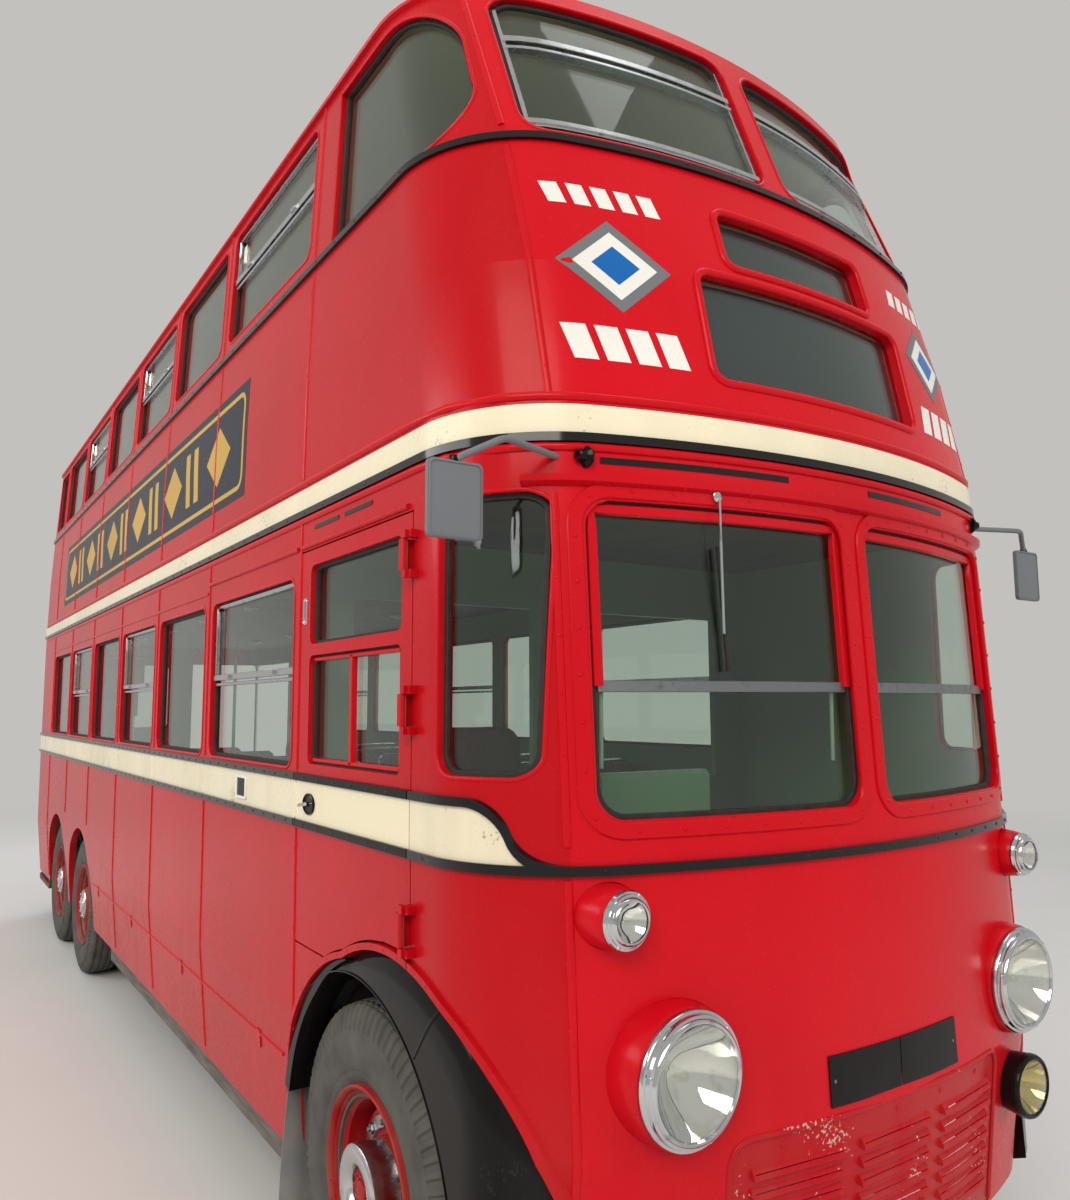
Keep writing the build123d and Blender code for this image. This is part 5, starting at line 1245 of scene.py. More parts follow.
def finish_of(name: str) -> str:
    """Name of the finish of a node."""
    if name in NODE_FINISH:
        return NODE_FINISH[name]
    if "tyre" in name:
        return "tyre"
    if "wheel" in name:
        return "red_wheel"
    if "boom" in name or "turntable" in name:
        return "steel"
    if "knuckle" in name:
        return "black_frame"
    # Any other node takes the side's darker red, which is painted shade
    return "red_side"


def dress_nodes(finishes: Finishes) -> None:
    """Give each construction node its material."""
    for name, piece in frame["nodes"].items():
        piece.data.materials.clear()
        piece.data.materials.append(finishes[finish_of(name)])


@dataclass(frozen=True)
class Dresser:
    """Makes the pieces of one part of the bus."""

    finishes: Finishes

    def put(
        self, name: str, shape: Shape, finish: str, body: str = ROOT, **more: object
    ) -> bpy.types.Object:
        """Make a piece from a shape.

        Args:
            name: piece name.
            shape: what it is made of.
            finish: name of its finish.
            body: body it rides on.
            more: further arguments of Shape.make.

        Returns:
            The new object.
        """
        return shape.make(name, body, self.finishes[finish], **more)


# ---- Windows


@dataclass(frozen=True)
class Window:
    """One opening: its surface, its outline and what is fitted in it."""

    surface: SurfaceMap
    u: tuple[float, float]
    v: tuple[float, float]
    corner: float = 0.055
    sash: float = 0.0

    def inset(self, gap: float) -> Loop:
        """Outline drawn in by a gap."""
        return inset_loop(self.u, self.v, gap, max(0.01, self.corner - gap))


@dataclass(frozen=True)
class SideWindows:
    """The two rows of side windows with their half-drop sashes, seals and rolled edges."""

    first_joint: float = 1.600
    first_bay: float = 1.220
    bay: float = 1.060
    pillar: float = 0.130
    lower: tuple[float, float] = (1.755, 2.445)
    upper: tuple[float, float] = (3.705, 4.250)
    tail: tuple[float, float] = (8.185, 8.640)
    lower_sash: float = 2.105
    upper_sash: float = 4.020
    opening_bays: tuple[int, ...] = (0, 2, 4)

    @property
    def joints(self) -> list[float]:
        """Distances back of the pillars."""
        return [self.first_joint] + [
            self.first_joint + self.first_bay + self.bay * k for k in range(6)
        ]

    def windows(self, side: Side) -> list[Window]:
        """Every window of one side.

        Args:
            side: which side.

        Returns:
            The windows; a sash height of nought means that the pane is fixed.
        """
        surface = FLANK[side]
        found = []
        joints = self.joints
        for number, (front, back) in enumerate(zip(joints[:-1], joints[1:])):
            span = (front + self.pillar / 2, back - self.pillar / 2)
            drops = number in self.opening_bays
            found.append(Window(surface, span, self.lower, sash=self.lower_sash if drops else 0.0))
            found.append(Window(surface, span, self.upper, sash=self.upper_sash if drops else 0.0))
        found.append(Window(surface, self.tail, self.upper))
        return found


class Glazier(Dresser):
    """Fits seals, bright sashes and rolled edges in a list of windows."""

    SEAL = bar(0.016, -0.031, -0.019)
    SASH_EDGE = bar(0.014, -0.029, -0.012)
    SASH_RAIL = bar(0.026, -0.029, -0.006)

    def fit(self, name: str, windows: Sequence[Window]) -> None:
        """Make the pieces of some windows as two or three objects.

        Args:
            name: start of the piece names.
            windows: the windows.
        """
        seals, bright, lips = Shape(), Shape(), Shape()
        for window in windows:
            seals.on_surface(window.surface, window.inset(0.006), self.SEAL, True)
            lips.on_surface(window.surface, window.inset(-0.005), ROLLED_EDGE, True)
            if window.sash:
                self.half_drop(bright, window)
        self.put(f"{name}_seals", seals, "rubber")
        self.put(f"{name}_rolled_edges", lips, "red")
        if bright.count:
            self.put(f"{name}_half_drops", bright, "bright")

    def half_drop(self, shape: Shape, window: Window) -> None:
        """Bright channel round the upper pane, with the heavier rail at its foot and two pulls."""
        low, high = window.u[0] + 0.016, window.u[1] - 0.016
        top = window.v[1] - 0.016
        line = [[low, window.sash], [low, top], [high, top], [high, window.sash]]
        shape.on_surface(window.surface, line, self.SASH_EDGE, False)
        rail = [[low, window.sash], [high, window.sash]]
        shape.on_surface(window.surface, rail, self.SASH_RAIL, False)
        lower = [[low, window.sash - 0.030], [high, window.sash - 0.030]]
        shape.on_surface(window.surface, lower, self.SASH_EDGE, False)
        middle = (low + high) / 2
        for way in (-1, 1):
            at = middle + way * (high - low) * 0.28
            shape.patch(
                window.surface, (at - 0.03, at + 0.03), (window.sash - 0.008, window.sash + 0.008),
                -0.008, 0.004,
            )


def stud_row(
    shape: Shape,
    surface: SurfaceMap,
    line: Points,
    pitch: float,
    radius: float,
    height: float,
    lift: float = 0.0,
    closed: bool = False,
) -> None:
    """Add round heads at an even pitch along a line that is drawn on a surface.

    Args:
        shape: shape that gets them.
        surface: map to points.
        line: line of first and second numbers.
        pitch: spacing.
        radius: radius of a head.
        height: height of a head.
        lift: distance of the heads' feet from the surface.
        closed: true if the line is a loop.
    """
    line = np.asarray(line, float)
    run = np.concatenate([line, line[:1]]) if closed else line
    lengths = np.concatenate([[0], np.cumsum(np.linalg.norm(np.diff(run, axis=0), axis=1))])
    count = max(1, int(round(lengths[-1] / pitch)))
    stops = (np.arange(count) + 0.5) * lengths[-1] / count
    u = np.interp(stops, lengths, run[:, 0])
    v = np.interp(stops, lengths, run[:, 1])
    normals = surface_normals(surface, u, v)
    points, faces = dome(radius, height, around=8, rings=2)
    shape.copies(points, faces, surface(u, v) + normals * lift, frames_from(normals))


# ---- Front


@dataclass(frozen=True)
class LampSize:
    """One front lamp: where it is and its radii, as on the construction model."""

    x: float
    z: float
    radius: float
    stand_out: float
    lens_dome: float


class FrontLamps(Dresser):
    """Head, side and fog lamps with fairings, plated rims, reflectors and lenses."""

    HEAD = (
        LampSize(-0.720, 1.085, 0.162, 0.088, 0.016), LampSize(0.720, 1.085, 0.162, 0.088, 0.016)
    )
    SIDE = (
        LampSize(-0.867, 1.460, 0.072, 0.092, 0.008), LampSize(0.867, 1.460, 0.072, 0.092, 0.008)
    )
    FOG = LampSize(0.735, 0.756, 0.098, 0.085, 0.014)

    @staticmethod
    def face_of(size: LampSize) -> float:
        """Y of the front of a lamp's rim."""
        nose = np.interp(size.z, (0.420, 0.900, 1.600), (0.055, 0.0, 0.030))
        bow = BOW - math.sqrt(BOW**2 - size.x**2)
        return float(along(nose + bow)) - size.stand_out

    def place(self, size: LampSize) -> tuple[float, float, float]:
        """Middle of the front of a lamp's rim."""
        return (size.x, self.face_of(size), size.z)

    def turn(
        self, shape: Shape, size: LampSize, rows: Sequence[tuple[float, float]], count: int = 64
    ) -> None:
        """Turn rows of distance behind the rim's front and radius about the lamp's axis."""
        shape.turned(np.array(rows, float), self.place(size), (0, 1, 0), count)

    def build(self) -> None:
        """Make every lamp."""
        housings, rims, reflectors, lenses, bulbs, screws = (Shape() for _ in range(6))
        for size in self.HEAD:
            r = size.radius
            self.turn(
                housings,
                size,
                [
                    (0.168, 0.0), (0.168, r + 0.004), (0.150, r + 0.008), (0.085, r + 0.008),
                    (0.052, r + 0.006), (0.040, r + 0.001), (0.036, r - 0.010),
                ],
            )
            self.turn(
                rims,
                size,
                [
                    (0.040, r - 0.012), (0.039, r - 0.002), (0.034, r), (0.026, r),
                    (0.022, r - 0.003), (0.021, r - 0.009), (0.016, r - 0.011), (0.011, r - 0.012),
                    (0.009, r - 0.019), (0.003, r - 0.021), (0.0005, r - 0.025),
                    (0.002, r - 0.030), (0.008, r - 0.033),
                ],
            )
            depth = np.linspace(0, 1, 14)
            bowl = np.stack([0.108 - 0.100 * depth**2, (r - 0.032) * depth + 0.001], axis=-1)
            self.turn(reflectors, size, bowl.tolist(), 72)
            self.lens(lenses, size, r - 0.031, 0.006)
            self.turn(
                bulbs,
                size,
                [
                    (0.108, 0.014), (0.080, 0.014), (0.070, 0.016), (0.055, 0.014), (0.046, 0.008),
                    (0.043, 0.001),
                ],
                20,
            )
            self.rim_screws(screws, size, (45, 165, 285), r - 0.015, 0.012)
        for size in self.SIDE:
            r = size.radius
            self.turn(
                housings,
                size,
                [
                    (0.160, 0.0), (0.160, r + 0.006), (0.120, r + 0.008), (0.075, r + 0.006),
                    (0.045, r + 0.001), (0.034, r - 0.006), (0.032, r - 0.014),
                ],
                48,
            )
            self.turn(
                rims,
                size,
                [
                    (0.036, r - 0.014), (0.034, r - 0.003), (0.027, r), (0.020, r - 0.003),
                    (0.018, r - 0.008), (0.014, r - 0.009), (0.011, r - 0.015), (0.004, r - 0.017),
                    (0.001, r - 0.021), (0.003, r - 0.025),
                ],
                48,
            )
            self.turn(
                reflectors,
                size,
                [(0.040, 0.0005), (0.038, 0.018), (0.024, 0.036), (0.010, r - 0.024)],
                40,
            )
            self.lens(lenses, size, r - 0.024, 0.003)
            self.turn(
                bulbs, size, [(0.038, 0.008), (0.026, 0.009), (0.018, 0.006), (0.015, 0.0005)], 16
            )
            self.rim_screws(screws, size, (60, 240), r - 0.006, 0.020)
        self.put("lamp_fairings", housings, "red", replaces=["front_lamps"])
        self.put("lamp_rims", rims, "chrome")
        self.put("lamp_reflectors", reflectors, "mirror")
        self.put("lamp_lenses", lenses, "lens")
        self.put("lamp_bulbs", bulbs, "lens")
        self.put("lamp_rim_screws", screws, "bright")
        self.fog_lamp()

    def fog_lamp(self) -> None:
        """Low lamp on the nearside: black shell with its rim and a yellowish glass."""
        size = self.FOG
        r = size.radius
        shell, bowl, glass, bulb = (Shape() for _ in range(4))
        self.turn(
            shell,
            size,
            [
                (0.165, 0.0005), (0.160, 0.040), (0.130, 0.070), (0.090, 0.088), (0.050, r - 0.004),
                (0.030, r - 0.002), (0.024, r), (0.012, r), (0.004, r - 0.004), (0.001, r - 0.012),
                (0.006, r - 0.018),
            ],
            56,
        )
        self.put("fog_lamp_shell", shell, "black")
        depth = np.linspace(0, 1, 10)
        self.turn(
            bowl,
            size,
            np.stack([0.078 - 0.070 * depth**2, (r - 0.018) * depth + 0.001], axis=-1).tolist(),
            56,
        )
        self.put("fog_lamp_reflector", bowl, "mirror")
        self.lens(glass, size, r - 0.017, 0.004)
        self.put("fog_lamp_lens", glass, "amber")
        self.turn(bulb, size, [(0.070, 0.010), (0.030, 0.011), (0.018, 0.007), (0.014, 0.0005)], 16)
        self.put("fog_lamp_bulb", bulb, "lens")

    def lens(self, shape: Shape, size: LampSize, radius: float, back: float) -> None:
        """Domed glass with faint upright flutes.

        The glass stands out by dome (1 - (r / radius)^2) and the flutes are a cosine across.
        """
        rings = np.linspace(0.0005, radius, 14)
        angle = np.linspace(0, 2 * math.pi, 56, endpoint=False)
        rr, aa = np.meshgrid(rings, angle, indexing="ij")
        x = rr * np.cos(aa)
        flutes = 0.0005 * np.cos(2 * math.pi * x / 0.016) * (1 - rr / radius)
        out = size.lens_dome * (1 - (rr / radius) ** 2) + flutes
        face = self.face_of(size)
        front = np.stack([size.x + x, face + back - out, size.z + rr * np.sin(aa)], axis=-1)
        behind = front + np.array([0, 0.003, 0])
        shape.grid(np.concatenate([front, behind[::-1]]), wrap_v=True)

    def rim_screws(
        self, shape: Shape, size: LampSize, angles: Sequence[float], radius: float, back: float
    ) -> None:
        """Round screw heads on a rim."""
        turn = np.radians(np.array(angles, float))
        centre = np.array(self.place(size)) + np.array([0, back, 0])
        places = centre + radius * np.stack([np.cos(turn), 0 * turn, np.sin(turn)], axis=-1)
        shape.heads(dome(0.005, 0.005, around=10, rings=3), places, (0, -1, 0))


@dataclass(frozen=True)
class FrontTrim(Dresser):
    """Small parts of the dash and windscreens: frames, canopy rail, plate and joint beads."""

    screen_x: tuple[float, float] = (0.042, 0.885)
    screen_z: tuple[float, float] = (1.685, 2.505)
    screen_corner: float = 0.075
    sash_z: float = 2.020
    frame_band: float = 0.052
    frame_inner_x: float = 0.034
    corner_x: float = 0.955
    plate_x: tuple[float, float] = (-0.265, 0.300)
    plate_z: tuple[float, float] = (0.928, 1.054)
    rail_z: float = 2.555
    vents: tuple[tuple[float, float], ...] = ((-0.840, -0.250), (0.100, 0.560))

    def build(self) -> None:
        """Make the pieces."""
        self.screens()
        self.beads()
        self.plate()
        self.grille_edge()
        self.wiper()

    def screens(self) -> None:
        """Studded frames round both windscreens, the hinged upper sashes and their stays."""
        frames, studs, seals, sashes, strips, stays = (Shape() for _ in range(6))
        for side in Side:
            x = side.span(self.screen_x)
            outer = side.span((self.frame_inner_x, self.screen_x[1] + self.frame_band / 2))
            z = (self.screen_z[0] - self.frame_band / 2, self.screen_z[1] + self.frame_band / 2)
            middle = rounded_loop(outer, z, self.screen_corner + 0.015)
            frames.on_surface(
                BODY.front,
                middle,
                bar(self.frame_band * 0.8, -0.002, 0.007, 0.003),
                True,
                step=0.05,
            )
            stud_row(studs, BODY.front, middle, 0.118, 0.0065, 0.004, lift=0.007, closed=True)
            seals.on_surface(
                BODY.front,
                inset_loop(x, self.screen_z, 0.006, self.screen_corner),
                bar(0.016, -0.031, -0.018),
                True,
                step=0.05,
            )
            self.sash(sashes, strips, stays, x)
        self.put("windscreen_surrounds", frames, "red")
        self.put("windscreen_studs", studs, "red")
        self.put("windscreen_seals", seals, "rubber")
        self.put("windscreen_sashes", sashes, "red")
        self.put("windscreen_sash_strips", strips, "steel")
        self.put("windscreen_stays", stays, "green_pale")

    def sash(self, sashes: Shape, strips: Shape, stays: Shape, x: tuple[float, float]) -> None:
        """Top-hinged upper pane: a painted frame at the top and sides and a stay on each side."""
        low, high = x[0] + 0.020, x[1] - 0.020
        top = self.screen_z[1] - 0.022
        line = [(low, self.sash_z), (low, top), (high, top), (high, self.sash_z)]
        sashes.on_surface(BODY.front, line, bar(0.026, -0.029, -0.010), False, step=0.05)
        foot = [[low, self.sash_z], [high, self.sash_z]]
        strips.on_surface(BODY.front, foot, bar(0.030, -0.027, -0.020), False, step=0.05)
        for at in (low + 0.03, high - 0.03):
            ends = BODY.front(
                np.array([at, at]), np.array([self.sash_z + 0.01, self.sash_z - 0.21])
            )
            ends = ends + np.array([[0, 0.045, 0], [0, 0.060, 0]])
            stays.rod(ends, 0.05, 0.0055, 8)

    def beads(self) -> None:
        """Joint beads: upright ones at both front corners, the canopy rail and the vent slots."""
        beads, rails, vents, studs = (Shape() for _ in range(4))
        for side in Side:
            x = side.value * self.corner_x
            for low, high in ((0.640, 1.545), (1.625, 2.520), (2.790, 3.600), (3.680, 4.290)):
                line = upright_line(x, low, high, 12)
                beads.on_surface(BODY.front, line, half_round(0.022, 0.006), False)
                stud_row(studs, BODY.front, line, 0.150, 0.005, 0.003, lift=0.005)
        # Canopy rail over the windscreens, on round both corners to the doors
        across = np.linspace(-1.02, 1.02, 49)
        front = BODY.front(across, self.rail_z)
        ups = surface_normals(BODY.front, across, self.rail_z)
        rails.sweep(
            front,
            ups,
            [
                [0.016, -0.002], [0.016, 0.004], [0.006, 0.022], [-0.010, 0.024], [-0.014, 0.004],
                [-0.014, -0.002],
            ],
            False,
        )
        for z in (2.645, 2.785):
            self.round_body(rails, z, 0.026, 0.011)
        for low, high in self.vents:
            vents.patch(BODY.front, (low, high), (2.602, 2.620), 0.0005, 0.0025)
        self.put("front_joint_beads", beads, "red")
        self.put("front_joint_studs", studs, "red")
        self.put("canopy_rails", rails, "red")
        self.put("front_vent_slots", vents, "black_bead")

    @staticmethod
    def round_body(shape: Shape, z: float, width: float, height: float, back: float = 8.7) -> None:
        """Half-round moulding from one side round the front to the other side."""
        s, x = np.linspace(back, 0.52, 60), np.linspace(-0.90, 0.90, 41)
        bend = np.array([-1.06, -1.02, -0.97])
        runs = (
            (offside, s),
            (BODY.front, bend),
            (BODY.front, x),
            (BODY.front, -bend[::-1]),
            (nearside, s[::-1]),
        )
        path = np.concatenate([surface(u, z) for surface, u in runs])
        normals = np.concatenate([surface_normals(surface, u, z) for surface, u in runs])
        shape.sweep(path, normals, half_round(width, height), False)

    def plate(self) -> None:
        """Black number plate in two halves, left blank, with four screws."""
        plates, screws = Shape(), Shape()
        middle = (self.plate_x[0] + self.plate_x[1]) / 2
        for low, high in ((self.plate_x[0], middle - 0.002), (middle + 0.002, self.plate_x[1])):
            gu, gv = np.meshgrid(
                np.linspace(low, high, 9), np.linspace(*self.plate_z, 4), indexing="ij"
            )
            plates.plate(
                BODY.front, gu, gv, -0.001, self.spare(BODY.front(gu, gv), 0.005)[..., None]
            )
            for x in (low + 0.018, high - 0.018):
                line = [[x, self.plate_z[0] + 0.02], [x, self.plate_z[1] - 0.02]]
                lift = float(self.spare(BODY.front(*line[0]), 0.005))
                stud_row(screws, BODY.front, line, 0.06, 0.0045, 0.0012, lift=lift)
        self.put("number_plate", plates, "black_plate")
        self.put("number_plate_screws", screws, "steel")

    @staticmethod
    def spare(points: Array, most: float) -> Array:
        """How far a piece may stand out there without passing the body's foremost point."""
        return np.clip(points[..., 1] - float(along(0.0003)), 0, most)

    def grille_edge(self) -> None:
        """Rolled edge round the louvred panel and the fasteners that hold it."""
        edge, studs = Shape(), Shape()
        corner = arc((-0.580, 0.842), (-0.5624, 0.8844), (-0.520, 0.902), 7)
        line = np.concatenate([[[-0.580, 0.440]], corner, corner[::-1] * [-1, 1], [[0.580, 0.440]]])
        line = refine(line, 0.02, False)
        surface = BODY.front(line[:, 0], line[:, 1])
        ups = surface_normals(BODY.front, line[:, 0], line[:, 1])
        path = surface + ups * (self.spare(surface, 0.006)[:, None] - 0.0065)
        edge.sweep(path, ups, half_round(0.016, 0.006), False)
        self.put("louvre_panel_edge", edge, "red_chipped")
        inner = [(-0.545, 0.46), (-0.545, 0.868), (0.545, 0.868), (0.545, 0.46)]
        stud_row(studs, BODY.front, inner, 0.21, 0.008, 0.004, lift=-0.004)
        self.put("louvre_panel_fasteners", studs, "red_chipped")

    def wiper(self) -> None:
        """Windscreen wiper that hangs from the top of the driver's screen."""
        arm, blade = Shape(), Shape()
        x = np.array([-0.512, -0.508, -0.500])
        z = np.array([2.535, 2.36, 2.16])
        path = BODY.front(x, z) + np.array([[0, -0.018, 0], [0, -0.006, 0], [0, 0.012, 0]])
        arm.rod(path, 0.04, 0.004, 8)
        arm.turned(
            [[0.0, 0.001], [0.0, 0.017], [0.014, 0.017], [0.020, 0.010], [0.022, 0.001]],
            BODY.front(-0.512, 2.535),
            (0, -1, 0),
            20,
        )
        self.put("wiper_arm", arm, "chrome")
        z = np.linspace(2.40, 2.06, 8)
        line = BODY.front(np.linspace(-0.500, -0.492, 8), z) + np.array([0, 0.018, 0])
        normal = surface_normals(BODY.front, np.linspace(-0.500, -0.492, 8), z)
        blade.sweep(
            line,
            normal,
            [[0.004, 0.008], [-0.004, 0.008], [-0.0015, -0.004], [0.0015, -0.004]],
            False,
        )
        self.put("wiper_blade", blade, "rubber")


@dataclass(frozen=True)
class UpperFront(Dresser):
    """Upper front: half-drop windows, destination screens, blinds and painted panels."""

    screen_x: tuple[float, float] = (0.045, 0.905)
    screen_z: tuple[float, float] = (3.662, 4.236)
    route_half: float = 0.335
    route_z: tuple[float, float] = (3.290, 3.480)
    place_half: float = 0.460
    place_z: tuple[float, float] = (2.890, 3.235)
    quarter_s: tuple[float, float] = (0.622, 1.430)
    quarter_z: tuple[float, float] = (3.652, 4.250)

    def build(self) -> None:
        """Make the pieces."""
        self.half_drops()
        self.screens()
        self.panels()
        self.quarter_lights()

    def half_drops(self) -> None:
        """Front windows: seal, rolled edge, bright channels and three rails."""
        seals, bright, lips = Shape(), Shape(), Shape()
        for side in Side:
            x = side.span(self.screen_x)
            inside = inset_loop(x, self.screen_z, 0.006, 0.07)
            seals.on_surface(BODY.front, inside, bar(0.016, -0.032, -0.018), True, step=0.05)
            lips.on_surface(
                BODY.front, inset_loop(x, self.screen_z, -0.004, 0.078), ROLLED_EDGE, True,
                step=0.05,
            )
            low, high = x[0] + 0.018, x[1] - 0.018
            line = [[low, 4.195], [low, 3.70], [high, 3.70], [high, 4.195]]
            bright.on_surface(BODY.front, line, bar(0.016, -0.029, -0.012), False, step=0.05)
            for z, width in ((4.060, 0.024), (4.022, 0.012), (3.708, 0.020)):
                rail = [[low, z], [high, z]]
                bright.on_surface(BODY.front, rail, bar(width, -0.029, -0.006), False, step=0.05)
        self.put("upper_front_window_seals", seals, "rubber")
        self.put("upper_front_window_edges", lips, "red")
        self.put("upper_front_window_sashes", bright, "bright")

    def screens(self) -> None:
        """Rounded red frames of both destination screens, their blank blinds and rollers."""
        frames, blinds, rollers = Shape(), Shape(), Shape()
        for half, z, corner in (
            (self.route_half, self.route_z, 0.035), (self.place_half, self.place_z, 0.040)
        ):
            frames.on_surface(
                BODY.front,
                rounded_loop(
                    (-half - 0.010, half + 0.010), (z[0] - 0.010, z[1] + 0.010), corner + 0.010
                ),
                half_round(0.026, 0.010, 9),
                True,
                step=0.04,
            )
            blinds.patch(
                BODY.front, (-half + 0.004, half - 0.004), (z[0] + 0.004, z[1] - 0.004), -0.046,
                -0.042,
            )
            for level in (z[0] + 0.014, z[1] - 0.014):
                line = BODY.front(np.linspace(-half + 0.01, half - 0.01, 12), level)
                rollers.tube(line + np.array([0, 0.040, 0]), 0.004, 8)
        self.put("destination_screen_frames", frames, "red")
        self.put("destination_blinds", blinds, "grey_blind")
        self.put("destination_blind_rollers", rollers, "steel")

    def panels(self) -> None:
        """Painted shapes beside the destination screens: slanted white blocks and a lozenge."""
        white, grey, blue = Shape(), Shape(), Shape()
        for side in Side:
            way = side.value
            for low, high, count, slant in ((3.400, 3.470, 5, 0.018), (2.900, 3.005, 4, 0.026)):
                edges = np.linspace(0.545, 0.905, count + 1)
                for start, end in zip(edges[:-1], edges[1:] - 0.024):
                    corners = [(start, low), (end, low), (end + slant, high), (start + slant, high)]
                    white.quadrangle(BODY.front, [(way * x, z) for x, z in corners], 0.0003, 0.0012)
            for shape, reach, lift in (
                (grey, 1.0, 0.0010), (white, 0.74, 0.0016), (blue, 0.42, 0.0022)
            ):
                wide, tall = 0.170 * reach, 0.150 * reach
                corners = [(-wide, 0.0), (0.0, -tall), (wide, 0.0), (0.0, tall)]
                shape.quadrangle(
                    BODY.front, [(way * 0.725 + x, 3.205 + z) for x, z in corners], 0.0003, lift
                )
        self.put("front_panel_white_shapes", white, "white")
        self.put("front_panel_grey_shapes", grey, "grey")
        self.put("front_panel_blue_shapes", blue, "blue")

    def quarter_lights(self) -> None:
        """Seals and rolled edges of the raked windows at both upper front corners."""
        seals, lips = Shape(), Shape()
        front, back = self.quarter_s
        low, high = self.quarter_z
        crown = arc(
            (front + 0.420, high), (front + 0.190, high - 0.062), (front + 0.080, high - 0.195), 12
        )
        toe = arc(
            (front + 0.012, high - 0.370), (front + 0.018, low + 0.065), (front + 0.130, low), 12
        )
        outline = np.concatenate([[[back, low], [back, high]], crown, toe])
        centre = outline.mean(axis=0)
        for side in Side:
            surface = FLANK[side]
            inward = outline + (centre - outline) * 0.016
            seals.on_surface(surface, inward, bar(0.014, -0.031, -0.018), True, step=0.05)
            outward = outline + (outline - centre) * 0.008
            lips.on_surface(surface, outward, ROLLED_EDGE, True, step=0.05)
        self.put("quarter_window_seals", seals, "rubber")
        self.put("quarter_window_edges", lips, "red")


# ---- Sides


